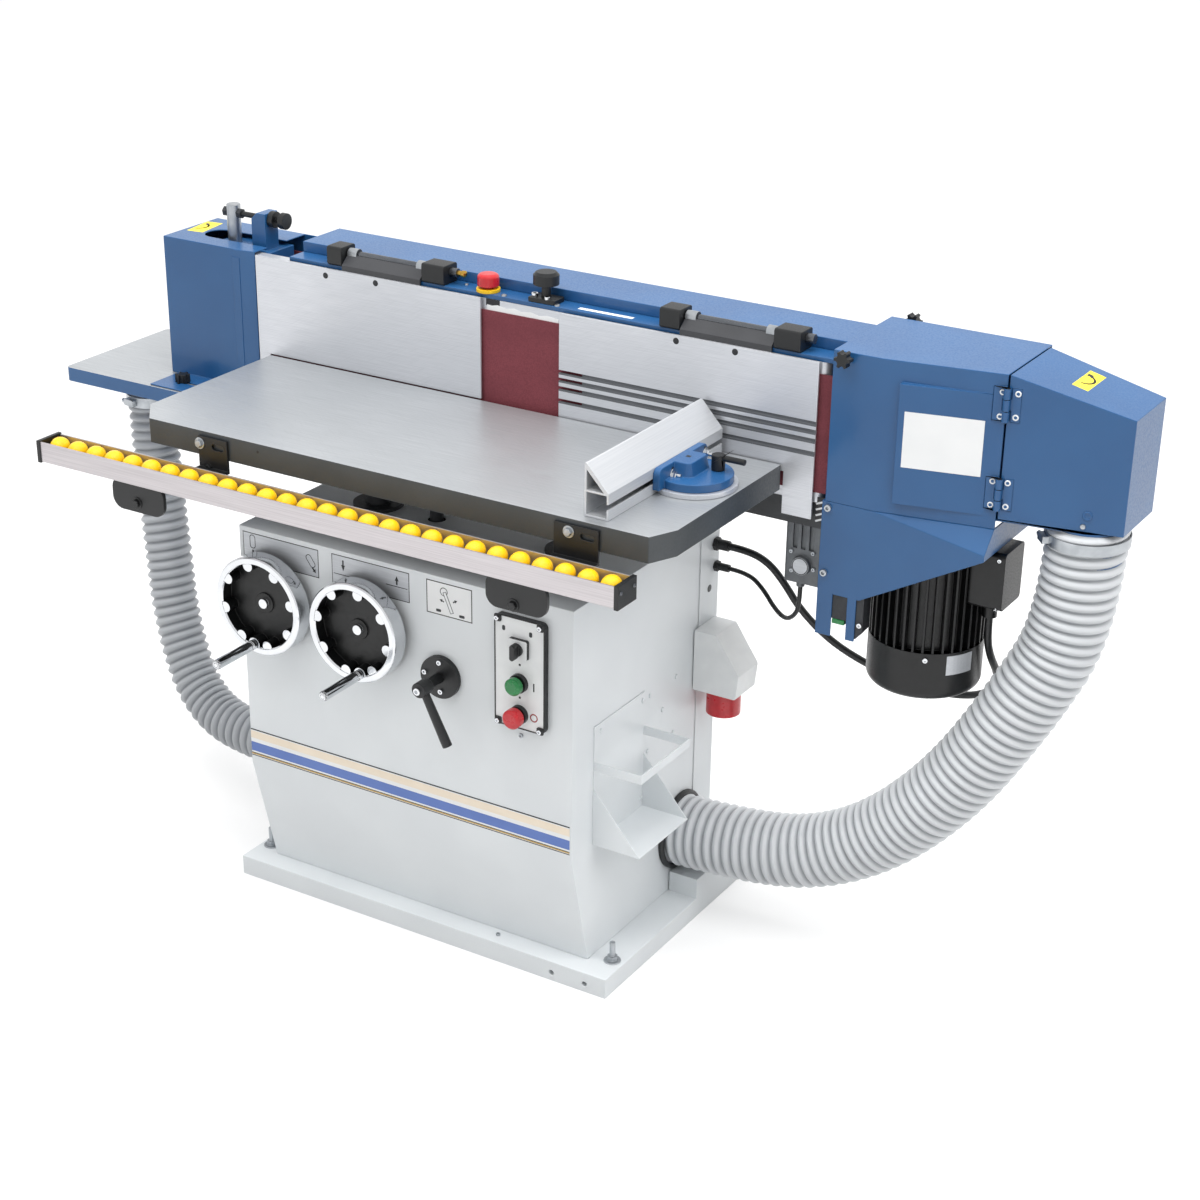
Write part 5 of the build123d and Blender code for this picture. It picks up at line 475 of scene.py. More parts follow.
def dress(
    node: str, finishes: Sequence[Finish], pick: Picker | None = None, edge: float = 1.0
) -> bpy.types.Object:
    """Replaces a node by a merged copy with softened edges and its finishes.

    Args:
        node: The node's name.
        finishes: The finishes that its faces take.
        pick: Gives a face's finish from its middle in millimetres and its normal.
        edge: The width of its softened edges in millimetres.

    Returns:
        The piece.
    """
    work = bmesh.new()
    work.from_mesh(frame["nodes"][node].data)
    for layer in list(work.loops.layers.uv.values()):
        work.loops.layers.uv.remove(layer)
    bmesh.ops.remove_doubles(work, verts=work.verts, dist=MERGE_REACH)
    bmesh.ops.dissolve_limit(work, angle_limit=FLAT, verts=work.verts, edges=work.edges)
    work.normal_update()
    for face in work.faces:
        face.material_index = pick(face.calc_center_median() / MM, face.normal) if pick else 0
    data = bpy.data.meshes.new(node + "_dressed")
    work.to_mesh(data)
    work.free()
    for spare in [a.name for a in data.attributes if a.name in ("custom_normal", "sharp_edge")]:
        data.attributes.remove(data.attributes[spare])
    return settle(node + "_dressed", data, BODY_OF[node], finishes, edge, [node])


class Shape:
    """A mesh under construction in millimetres, each of its parts with the index of its finish."""

    def __init__(self) -> None:
        """Starts with nothing."""
        self.mesh = bmesh.new()

    def _faces(self, rings: list[list[bmesh.types.BMVert]], look: int) -> None:
        """Joins closed rings of points by faces, and closes both ends.

        Args:
            rings: Rings of points, or single points, one after the other.
            look: The index of the finish.
        """
        made = []
        for low, high in zip(rings, rings[1:]):
            count = max(len(low), len(high))
            for i in range(count):
                corners = (low[i % len(low)], low[(i + 1) % len(low)],
                           high[(i + 1) % len(high)], high[i % len(high)])
                made.append(self.mesh.faces.new(list(dict.fromkeys(corners))))
        for ring in (rings[0], rings[-1]):
            if len(ring) > 2 and rings[0] is not rings[-1]:
                made.append(self.mesh.faces.new(ring))
        for face in made:
            face.material_index = look

    def prism(
        self, outline: Outline, origin: Point, across: Point, up: Point, depth: float, look: int = 0
    ) -> "Shape":
        """Adds a flat outline with a depth.

        Args:
            outline: Points along across and up, seen from the outside.
            origin: Where the outline's zero is.
            across: The outline's first direction.
            up: The outline's second direction.
            depth: How far it stands out.
            look: The index of the finish.

        Returns:
            The shape itself.
        """
        a, u = Vector(across), Vector(up)
        out = a.cross(u).normalized() * depth
        base = Vector(origin)
        low = [self.mesh.verts.new(base + a * x + u * y) for x, y in outline]
        high = [self.mesh.verts.new(base + a * x + u * y + out) for x, y in outline]
        self._faces([low, high], look)
        return self

    def block(self, low: Point, high: Point, look: int = 0) -> "Shape":
        """Adds a box between its lowest and its highest corner."""
        x, y, z = (b - a for a, b in zip(low, high))
        return self.prism(((0, 0), (x, 0), (x, y), (0, y)), low, RIGHT, BACK, z, look)

    def lathe(self, profile: Outline, origin: Point, axis: Point, look: int = 0, steps: int = 40) -> "Shape":
        """Turns a profile round an axis, into a ring where the profile ends at its first point.

        Args:
            profile: Pairs of radius and height along the axis.
            origin: Where the height is zero.
            axis: The axis.
            look: The index of the finish.
            steps: How many points go round.

        Returns:
            The shape itself.
        """
        along = Vector(axis).normalized()
        across = along.orthogonal().normalized()
        up = along.cross(across)
        turns = [i * math.tau / steps for i in range(steps)]
        spokes = [across * math.cos(t) + up * math.sin(t) for t in turns]
        rings = []
        for radius, height in profile:
            middle = Vector(origin) + along * height
            # A radius of zero gives one point in place of a ring
            ends = [middle + spoke * radius for spoke in spokes] if radius else [middle]
            rings.append([self.mesh.verts.new(end) for end in ends])
        if profile[0] == profile[-1]:
            self.mesh.verts.ensure_lookup_table()
            for spare in rings.pop():
                self.mesh.verts.remove(spare)
            rings.append(rings[0])
        self._faces(rings, look)
        return self

    def data(self, name: str) -> bpy.types.Mesh:
        """Ends the shape.

        Args:
            name: The mesh's name.

        Returns:
            The mesh in metres with its faces pointing outwards.
        """
        bmesh.ops.recalc_face_normals(self.mesh, faces=self.mesh.faces)
        self.mesh.transform(Matrix.Scale(MM, 4))
        made = bpy.data.meshes.new(name)
        self.mesh.to_mesh(made)
        self.mesh.free()
        return made

    def piece(
        self, name: str, body: str, finishes: Sequence[Finish], edge: float = 0.0,
        stands_for: Sequence[str] = (),
    ) -> bpy.types.Object:
        """Ends the shape as a piece of a body."""
        return settle(name, self.data(name), body, finishes, edge, stands_for)


def box_outline(width: float, height: float, radius: float = 0.0) -> list[Pair]:
    """Gives a rectangle about zero with round corners.

    Args:
        width: Its size across.
        height: Its size up.
        radius: The radius of its corners.

    Returns:
        Its points, anticlockwise.
    """
    x, y = width / 2 - radius, height / 2 - radius
    if not radius:
        return [(-x, -y), (x, -y), (x, y), (-x, y)]
    made = []
    for corner, (cx, cy) in enumerate(((x, y), (-x, y), (-x, -y), (x, -y))):
        for step in range(6):
            turn = math.radians(90 * corner + 18 * step)
            made.append((cx + radius * math.cos(turn), cy + radius * math.sin(turn)))
    return made


def arrow_outline(length: float, width: float) -> list[Pair]:
    """Gives a simple arrow that points along its first direction.

    Args:
        length: Its length.
        width: The width of its head.

    Returns:
        Its points, anticlockwise.
    """
    neck, tail = length * 0.45, width * 0.2
    half = width / 2
    return [(0, -tail), (neck, -tail), (neck, -half), (length, 0), (neck, half), (neck, tail), (0, tail)]


def turned(outline: Outline, degrees: float) -> list[Pair]:
    """Turns an outline about zero, anticlockwise."""
    c, s = math.cos(math.radians(degrees)), math.sin(math.radians(degrees))
    return [(x * c - y * s, x * s + y * c) for x, y in outline]


def arc(radius: float, start: float, end: float, steps: int = 16) -> list[Pair]:
    """Gives points on an arc about zero, between two angles in degrees."""
    turns = [math.radians(start + (end - start) * i / steps) for i in range(steps + 1)]
    return [(radius * math.cos(t), radius * math.sin(t)) for t in turns]


class Ink(IntEnum):
    """The films and inks of a print, in the order of INKS."""

    WHITE = 0
    BLACK = 1
    SILVER = 2
    CREAM = 3
    BLUE = 4
    GOLD = 5
    RED = 6
    YELLOW = 7
    GREY = 8


INKS = (FILM_WHITE, FILM_BLACK, PLATE_SILVER, FILM_CREAM, FILM_BLUE, FILM_GOLD, FILM_RED, FILM_YELLOW,
        GROOVE_GREY)


class Print:
    """Films, plates and marks on a flat face, in millimetres along two directions of that face."""

    def __init__(self, origin: Point, across: Point = RIGHT, up: Point = UP) -> None:
        """Starts on a bare face, with both measures zero at the origin."""
        self.shape = Shape()
        self.origin, self.across, self.up = Vector(origin), Vector(across), Vector(up)

    def patch(self, outline: Outline, at: Pair, ink: Ink, layer: int = 1) -> "Print":
        """Lays an outline on the face.

        Args:
            outline: Its points about zero.
            at: Where its zero goes.
            ink: Its ink.
            layer: How many films lie on each other there, with this one.

        Returns:
            The print itself.
        """
        place = self.origin + self.across * at[0] + self.up * at[1]
        out = self.across.cross(self.up).normalized() * FILM
        self.shape.prism(outline, place - out, self.across, self.up, FILM * (1 + layer), ink)
        return self

    def area(self, low: Pair, high: Pair, ink: Ink, layer: int = 1, radius: float = 0.0) -> "Print":
        """Lays a rectangle on the face, from its lower left to its upper right corner."""
        middle = ((low[0] + high[0]) / 2, (low[1] + high[1]) / 2)
        return self.patch(box_outline(high[0] - low[0], high[1] - low[1], radius), middle, ink, layer)

    def stroke(self, points: Outline, at: Pair, width: float, ink: Ink, layer: int = 3) -> "Print":
        """Draws a line through points.

        Args:
            points: The points about zero.
            at: Where their zero goes.
            width: The width of the line.
            ink: Its ink.
            layer: How many films lie on each other there, with this one.

        Returns:
            The print itself.
        """
        for (x0, y0), (x1, y1) in zip(points, points[1:]):
            bar = box_outline(math.hypot(x1 - x0, y1 - y0) + width * 0.8, width)
            slope = math.degrees(math.atan2(y1 - y0, x1 - x0))
            self.patch(turned(bar, slope), (at[0] + (x0 + x1) / 2, at[1] + (y0 + y1) / 2), ink, layer)
        return self

    def arrow(
        self, at: Pair, length: float, width: float, degrees: float, ink: Ink, layer: int = 3
    ) -> "Print":
        """Draws a simple arrow from its tail, pointing degrees anticlockwise from across."""
        return self.patch(turned(arrow_outline(length, width), degrees), at, ink, layer)

    def stick(self, name: str, body: str) -> bpy.types.Object:
        """Ends the print as a piece of a body, with the inks that it uses.

        Args:
            name: The piece's name.
            body: The body that carries it.

        Returns:
            The piece.
        """
        data = self.shape.data(name)
        used = sorted({face.material_index for face in data.polygons})
        for face in data.polygons:
            face.material_index = used.index(face.material_index)
        return settle(name, data, body, [INKS[i] for i in used])


def new_tree(name: str, inputs: Sequence[tuple[str, str]]) -> tuple[Tree, Node, Node]:
    """Starts a geometry tree with named inputs.

    Args:
        name: The tree's name.
        inputs: Names and socket types of its inputs.

    Returns:
        The tree, its input node and its output node.
    """
    tree = bpy.data.node_groups.new(name, "GeometryNodeTree")
    for label, kind in inputs:
        tree.interface.new_socket(label, in_out="INPUT", socket_type=kind)
    tree.interface.new_socket("Geometry", in_out="OUTPUT", socket_type="NodeSocketGeometry")
    return tree, add_node(tree, "NodeGroupInput"), add_node(tree, "NodeGroupOutput")


def end_tree(tree: Tree, source: Node, end: Node, geometry: Socket) -> Tree:
    """Ends a tree in real geometry with its material.

    Args:
        tree: The tree.
        source: Its input node, with a Material output.
        end: Its output node.
        geometry: What it has made.

    Returns:
        The tree.
    """
    real = add_node(tree, "GeometryNodeRealizeInstances", {}, {"Geometry": geometry})
    coated = add_node(tree, "GeometryNodeSetMaterial", {},
                      {"Geometry": real.outputs[0], "Material": source.outputs["Material"]})
    tree.links.new(coated.outputs[0], end.inputs["Geometry"])
    return tree


def grow(name: str, seed: bpy.types.Mesh, tree: Tree, values: dict[str, object]) -> bpy.types.Mesh:
    """Runs a tree on a mesh.

    Args:
        name: The name of the result.
        seed: The mesh that the tree starts from.
        tree: The tree.
        values: The tree's inputs by name.

    Returns:
        The plain mesh that the tree makes.
    """
    holder = bpy.data.objects.new(name + "_seed", seed)
    bpy.context.scene.collection.objects.link(holder)
    modifier = holder.modifiers.new("grow", "NODES")
    modifier.node_group = tree
    for item in tree.interface.items_tree:
        if item.in_out == "INPUT" and item.name in values:
            modifier[item.identifier] = values[item.name]
    shown = holder.evaluated_get(bpy.context.evaluated_depsgraph_get())
    made = bpy.data.meshes.new_from_object(shown)
    made.name = name
    holder.modifiers.remove(modifier)
    bpy.data.objects.remove(holder)
    return made


def field_tree() -> Tree:
    """Builds the tree that sets one small part on many points, each with its size and direction.

    Returns:
        The tree.
    """
    tree, source, end = new_tree("part_field", (
        ("Geometry", "NodeSocketGeometry"), ("Part", "NodeSocketObject"), ("Scale", "NodeSocketFloat"),
        ("Material", "NodeSocketMaterial")))
    part = add_node(tree, "GeometryNodeObjectInfo", {}, {"Object": source.outputs["Part"]})
    facing = add_node(tree, "GeometryNodeInputNamedAttribute",
                      {"data_type": "FLOAT_VECTOR", "Name": "facing"})
    size = add_node(tree, "GeometryNodeInputNamedAttribute", {"data_type": "FLOAT", "Name": "size"})
    roll = add_node(tree, "GeometryNodeInputNamedAttribute", {"data_type": "FLOAT", "Name": "roll"})
    aimed = add_node(tree, "FunctionNodeAlignRotationToVector", {"axis": "Z"},
                     {"Vector": facing.outputs["Attribute"]})
    spun = add_node(tree, "FunctionNodeAxisAngleToRotation", {"Axis": UP},
                    {"Angle": roll.outputs["Attribute"]})
    stood = add_node(tree, "FunctionNodeRotateRotation", {"rotation_space": "LOCAL"},
                     {"Rotation": aimed.outputs["Rotation"], "Rotate By": spun.outputs["Rotation"]})
    scale = add_node(tree, "ShaderNodeMath", {"operation": "MULTIPLY"},
                     {0: size.outputs["Attribute"], 1: source.outputs["Scale"]})
    placed = add_node(tree, "GeometryNodeInstanceOnPoints", {},
                      {"Points": source.outputs["Geometry"], "Instance": part.outputs["Geometry"],
                       "Rotation": stood.outputs["Rotation"], "Scale": scale.outputs[0]})
    return end_tree(tree, source, end, placed.outputs["Instances"])


def hose_tree() -> Tree:
    """Builds the tree of a hose: a tube along a path, with a rib that winds round it.

    Returns:
        The tree.
    """
    tree, source, end = new_tree("wound_hose", (
        ("Geometry", "NodeSocketGeometry"), ("Radius", "NodeSocketFloat"), ("Pitch", "NodeSocketFloat"),
        ("Rib", "NodeSocketFloat"), ("Sides", "NodeSocketInt"), ("Step", "NodeSocketFloat"),
        ("Material", "NodeSocketMaterial")))
    line = add_node(tree, "GeometryNodeMeshToCurve", {}, {"Mesh": source.outputs["Geometry"]})
    even = add_node(tree, "GeometryNodeResampleCurve", {"mode": "LENGTH"},
                    {"Curve": line.outputs[0], "Length": source.outputs["Step"]})
    along = add_node(tree, "GeometryNodeSplineParameter")
    kept = add_node(tree, "GeometryNodeStoreNamedAttribute",
                    {"data_type": "FLOAT", "domain": "POINT", "Name": "run"},
                    {"Geometry": even.outputs[0], "Value": along.outputs["Length"]})
    ring = add_node(tree, "GeometryNodeCurvePrimitiveCircle", {},
                    {"Resolution": source.outputs["Sides"], "Radius": source.outputs["Radius"]})
    round_it = add_node(tree, "GeometryNodeSplineParameter")
    marked = add_node(tree, "GeometryNodeStoreNamedAttribute",
                      {"data_type": "FLOAT", "domain": "POINT", "Name": "turn"},
                      {"Geometry": ring.outputs["Curve"], "Value": round_it.outputs["Factor"]})
    tube = add_node(tree, "GeometryNodeCurveToMesh", {},
                    {"Curve": kept.outputs[0], "Profile Curve": marked.outputs[0]})
    run = add_node(tree, "GeometryNodeInputNamedAttribute", {"data_type": "FLOAT", "Name": "run"})
    turn = add_node(tree, "GeometryNodeInputNamedAttribute", {"data_type": "FLOAT", "Name": "turn"})
    winds = add_node(tree, "ShaderNodeMath", {"operation": "DIVIDE"},
                     {0: run.outputs["Attribute"], 1: source.outputs["Pitch"]})
    phase = add_node(tree, "ShaderNodeMath", {"operation": "SUBTRACT"},
                     {0: winds.outputs[0], 1: turn.outputs["Attribute"]})
    angle = add_node(tree, "ShaderNodeMath", {"operation": "MULTIPLY", 1: math.tau}, {0: phase.outputs[0]})
    wave = add_node(tree, "ShaderNodeMath", {"operation": "COSINE"}, {0: angle.outputs[0]})
    # The wave goes from minus one to one, the height from nothing to one
    height = add_node(tree, "ShaderNodeMath", {"operation": "MULTIPLY_ADD", 1: 0.5, 2: 0.5},
                      {0: wave.outputs[0]})
    crest = add_node(tree, "ShaderNodeMath", {"operation": "POWER", 1: RIB_POWER}, {0: height.outputs[0]})
    lift = add_node(tree, "ShaderNodeMath", {"operation": "MULTIPLY"},
                    {0: crest.outputs[0], 1: source.outputs["Rib"]})
    normal = add_node(tree, "GeometryNodeInputNormal")
    push = add_node(tree, "ShaderNodeVectorMath", {"operation": "SCALE"},
                    {"Vector": normal.outputs[0], "Scale": lift.outputs[0]})
    ribbed = add_node(tree, "GeometryNodeSetPosition", {},
                      {"Geometry": tube.outputs[0], "Offset": push.outputs[0]})
    shown = add_node(tree, "GeometryNodeStoreNamedAttribute",
                     {"data_type": "FLOAT", "domain": "POINT", "Name": "crest"},
                     {"Geometry": ribbed.outputs[0], "Value": crest.outputs[0]})
    return end_tree(tree, source, end, shown.outputs[0])


def row_tree() -> Tree:
    """Builds the tree of a row of crowned rollers.

    Returns:
        The tree.
    """
    tree, source, end = new_tree("roller_row", (
        ("Geometry", "NodeSocketGeometry"), ("Count", "NodeSocketInt"), ("Start", "NodeSocketVector"),
        ("Step", "NodeSocketVector"), ("Radius", "NodeSocketFloat"), ("Squeeze", "NodeSocketVector"),
        ("Material", "NodeSocketMaterial")))
    line = add_node(tree, "GeometryNodeMeshLine", {},
                    {"Count": source.outputs["Count"], "Start Location": source.outputs["Start"],
                     "Offset": source.outputs["Step"]})
    ball = add_node(tree, "GeometryNodeMeshUVSphere", {"Segments": 20, "Rings": 12},
                    {"Radius": source.outputs["Radius"]})
    lying = add_node(tree, "GeometryNodeTransform", {"Rotation": (math.pi / 2, 0, 0)},
                     {"Geometry": ball.outputs[0]})
    barrel = add_node(tree, "GeometryNodeTransform", {},
                      {"Geometry": lying.outputs[0], "Scale": source.outputs["Squeeze"]})
    placed = add_node(tree, "GeometryNodeInstanceOnPoints", {},
                      {"Points": line.outputs[0], "Instance": barrel.outputs[0]})
    return end_tree(tree, source, end, placed.outputs["Instances"])


class Fastener(Enum):
    """The fasteners on the machine, drawn at a head radius of one."""

    SOCKET = "socket head"
    HEX = "hex bolt with washer"
    PAN = "pan head"
    HOLE = "countersunk hole"
    STUD = "nut and washer on a stud"
    RIVET = "ringed rivet"

    def shape(self) -> Shape:
        """Gives the fastener's head, standing on zero along Z.

        Returns:
            The head's shape.
        """
        made = Shape()
        for steps, profile in TURNED_HEADS[self]:
            made.lathe(profile, (0, 0, 0), UP, steps=steps)
        if self is Fastener.PAN:
            made.prism(box_outline(1.2, 0.22), (0, 0, 0.5), RIGHT, BACK, 0.13)
        return made


# The turned parts of each fastener: how many sides, then pairs of radius and height
TURNED_HEADS: dict[Fastener, Sequence[tuple[int, Outline]]] = {
    Fastener.SOCKET: (
        (18, ((0.98, -0.3), (1, 0.05), (1, 0.75), (0.88, 0.9), (0.52, 0.9), (0.5, 0.3), (0, 0.3))),),
    Fastener.HEX: (
        (24, ((1.45, -0.3), (1.45, 0.16), (1.38, 0.22), (0, 0.22))),
        (6, ((1, 0.1), (1, 0.75), (0.86, 0.9), (0, 0.9)))),
    Fastener.PAN: ((18, ((1, -0.3), (1, 0.2), (0.85, 0.45), (0.5, 0.58), (0, 0.6))),),
    # A flat disc: in black ink it is painted shade for the dark inside of a hole
    Fastener.HOLE: ((18, ((1, -0.3), (1, 0.04), (0.9, 0.06), (0, 0.06))),),
    Fastener.STUD: (
        (24, ((1.9, -0.1), (1.9, 0.3), (1.8, 0.4), (0, 0.4))),
        (6, ((1.15, 0.3), (1.15, 1.3), (0.95, 1.5), (0, 1.5))),
        (18, ((0.6, 1.4), (0.6, 2.6), (0.5, 2.8), (0, 2.8)))),
    Fastener.RIVET: ((18, ((1, -0.2), (1, 0.1), (0.85, 0.22), (0.6, 0.22), (0.5, 0.08), (0, 0.08))),),
}
Coat = tuple[str, Finish, float]
Spot = tuple[Point, Point, float]
Fixing = tuple[str, str, Fastener, Finish, Sequence[Spot]]


def scatter(name: str, body: str, kind: Fastener, finish: Finish, spots: Sequence[Spot]) -> bpy.types.Object:
    """Sets fasteners of one kind on a body.

    Args:
        name: The piece's name.
        body: The body that carries them.
        kind: The fastener.
        finish: Its finish.
        spots: Places and directions in millimetres with the radius of each head.

    Returns:
        The piece.
    """
    head = bpy.data.objects.new(name + "_head", kind.shape().data(name + "_head"))
    seed = bpy.data.meshes.new(name + "_points")
    seed.from_pydata([tuple(c * MM for c in spot[0]) for spot in spots], [], [])
    facing = seed.attributes.new("facing", "FLOAT_VECTOR", "POINT")
    facing.data.foreach_set("vector", [c for spot in spots for c in spot[1]])
    size = seed.attributes.new("size", "FLOAT", "POINT")
    size.data.foreach_set("value", [spot[2] for spot in spots])
    roll = seed.attributes.new("roll", "FLOAT", "POINT")
    roll.data.foreach_set("value", [ROLL_STEP * i for i in range(len(spots))])
    tree = bpy.data.node_groups.get("part_field") or field_tree()
    made = grow(name, seed, tree, {"Part": head, "Scale": 1.0, "Material": finish.material()})
    bpy.data.objects.remove(head)
    return settle(name, made, body, [finish])


def same_way(way: Point, radius: float, *places: Point) -> tuple[Spot, ...]:
    """Gives spots that share a direction and the radius of their heads."""
    return tuple((at, way, radius) for at in places)


def dress_plain(coats: Sequence[Coat]) -> None:
    """Dresses nodes with one finish all over and softened edges of a width in millimetres."""
    for node, finish, edge in coats:
        dress(node, [finish], edge=edge)


def scatter_all(fixings: Sequence[Fixing]) -> None:
    """Sets groups of fasteners, each with its name, body, kind, finish and spots."""
    for fixing in fixings:
        scatter(*fixing)


def close_to(at: Vector, spots: Sequence[Pair], reach: float) -> bool:
    """Tells whether a place is above one of some spots in X and Y."""
    return any(math.hypot(at.x - x, at.y - y) < reach for x, y in spots)


class Stiffness(Enum):
    """How stiff a cord is."""

    MEDIUM = "medium"
    LIMP = "limp"


@dataclass
class Cord:
    """A hose or cable that goes from the stand to the tilting unit."""

    node: str
    finish: Finish
    route: Sequence[Point]
    diameter: float
    bend_start: Point
    bend_end: Point
    stiffness: Stiffness = Stiffness.MEDIUM
    rib: float = 0.0
    pitch: float = 18.5
    sides: int = 16

    def line(self) -> list[Vector]:
        """Gives the points of the smooth line that the cord follows.

        Returns:
            Points in metres, from the start of the route on.
        """
        curve = bpy.data.curves.new(self.node + "_line", "CURVE")
        curve.dimensions = "3D"
        spline = curve.splines.new("NURBS")
        spline.points.add(len(self.route) - 1)
        for point, place in zip(spline.points, self.route):
            point.co = (*(c * MM for c in place), 1.0)
        spline.order_u = 3
        spline.use_endpoint_u = True
        spline.resolution_u = 14
        holder = bpy.data.objects.new(self.node + "_line", curve)
        bpy.context.scene.collection.objects.link(holder)
        shown = holder.evaluated_get(bpy.context.evaluated_depsgraph_get())
        flat = bpy.data.meshes.new_from_object(shown)
        places = [v.co.copy() for v in flat.vertices]
        bpy.data.objects.remove(holder)
        bpy.data.meshes.remove(flat)
        return places

    def build(self) -> bpy.types.Object:
        """Returns:
            The piece.
        """
        places = self.line()
        length = sum((b - a).length for a, b in zip(places, places[1:]))
        seed = bpy.data.meshes.new(self.node + "_path")
        seed.from_pydata(places, [(i, i + 1) for i in range(len(places) - 1)], [])
        step = self.pitch / 10 if self.rib else self.diameter / 3
        data = grow(self.node + "_tube", seed, bpy.data.node_groups.get("wound_hose") or hose_tree(), {
            "Radius": (self.diameter / 2 - self.rib) * MM, "Pitch": self.pitch * MM, "Rib": self.rib * MM,
            "Sides": self.sides, "Step": step * MM, "Material": self.finish.material()})
        data.shade_smooth()
        made = bpy.data.objects.new(self.node + "_tube", data)
        bpy.context.scene.collection.objects.link(made)
        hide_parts(self.node)
        start, end = (tuple(c * MM for c in p) for p in (self.bend_start, self.bend_end))
        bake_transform(made, "stand", "unit", start=start, end=end)
        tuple(places[0])
        LOG.info("%s, %.0f mm long, %d faces", self.node, length / MM, len(data.polygons))
        return made


@dataclass
class Cords:
    """The dust hoses with their bands and rings, and the two cables."""

    cords: Sequence[Cord] = (
        Cord("hose_right", HOSE_GREY,
             ((1010, 172, 867.7), (1010, 172, 700), (940, 150, 540), (830, 136, 350), (680, 122, 205),
              (500, 99.5, 151), (270, 99.5, 151)),
             132, (500, 99.5, 151), (1010, 172, 760), rib=7.0, sides=56),
        Cord("hose_left", HOSE_IN_SHADE,
             ((-842, 80, 794.7), (-842, 80, 670), (-806, 55, 480), (-772, 30, 310), (-690, 0, 170),
              (-540, -20, 140), (-270, -20, 140)),
             92, (-208, 7, 248), (-690, 22, 820), rib=6.5, sides=48),
        Cord("cable_motor", CABLE_BLACK,
             ((365, 197, 675), (403, 197, 675), (440, 199, 662), (468, 204, 632), (500, 216, 578),
              (556, 240, 518), (640, 268, 474), (735, 284, 454), (812, 282, 468), (856, 254, 512),
              (868, 212, 558), (865, 178, 602), (863, 165, 638), (863, 165, 676)),
             13, (440, 199, 640), (863, 165, 628), Stiffness.LIMP),
        Cord("cable_oscillator", CABLE_BLACK,
             ((365, 200, 632), (403, 200, 632), (440, 186, 616), (475, 162, 597), (508, 139, 593),
              (532, 122, 611), (546, 112, 636), (546, 112, 674)),
             8, (306, -264, 287), (401, -345, 376), Stiffness.LIMP, sides=14),
    )
    # Name, point on the axis, radius of the hose, start, end and where the screw is in degrees
    bands: Sequence[tuple[str, Point, float, float, float, float]] = (
        ("right_band", (1010, 172, 0), 66, 838, 856, -141),
        ("left_band", (-842, 80, 0), 46, 748, 768, -100),
    )
    # Name, middle on the wall, where the hose comes from and its radius
    rings: Sequence[tuple[str, Point, Point, float]] = (
        ("right_grommet", (337, 99.5, 151), RIGHT, 66),
        ("left_grommet", (-345, -20, 140), LEFT, 46),
    )
    band_gap: float = 0.8
    band_sheet: float = 1.6
    screw_box: Point = (26.0, 13.0, 2.0)
    screw_height: float = 11.0
    screw_profile: Outline = ((5, -20), (5, -13), (0, -13))
    ring_gap: float = 0.5
    ring_width: float = 7.5

    def band(self, name: str, axis: Point, radius: float, low: float, high: float, turn: float) -> None:
        """Puts a clamp band with its worm screw round a hose's upper end.

        Args:
            name: The piece's name.
            axis: A point on the hose's axis.
            radius: The hose's radius.
            low: Where the band starts.
            high: Where the band ends.
            turn: Where the screw is, in degrees round the axis.
        """
        inner = radius + self.band_gap
        outer = inner + self.band_sheet
        made = Shape().lathe(((inner, low), (outer, low), (outer, high), (inner, high), (inner, low)),
                             axis, UP, steps=64)
        out = Vector((math.cos(math.radians(turn)), math.sin(math.radians(turn)), 0))
        middle = Vector(axis) + out * (outer - 2) + Vector((0, 0, (low + high) / 2))
        along = Vector(UP).cross(out)
        made.prism(box_outline(*self.screw_box), tuple(middle), tuple(along), UP, self.screw_height)
        made.lathe(self.screw_profile, tuple(middle + out * 6), tuple(along), steps=6)
        made.piece(name, "unit", [ZINC], 0.3)

    def grommet(self, name: str, at: Point, way: Point, radius: float) -> None:
        """Puts a rubber ring round a hose where it enters the cabinet.

        Args:
            name: The piece's name.
            at: The middle of the ring on the wall.
            way: Where the hose comes from.
            radius: The hose's radius.
        """
        inner = radius + self.ring_gap
        outer = inner + self.ring_width
        profile = ((inner, -1), (outer, -1), (outer, 4), (outer - 3, 7), (inner, 7), (inner, -1))
        Shape().lathe(profile, at, way, steps=64).piece(name, "stand", [BLACK_PLASTIC])

    def build(self) -> None:
        """Builds the bands and rings of the hoses and the four cords."""
        for band in self.bands:
            self.band(*band)
        for ring in self.rings:
            self.grommet(*ring)
        for cord in self.cords:
            cord.build()


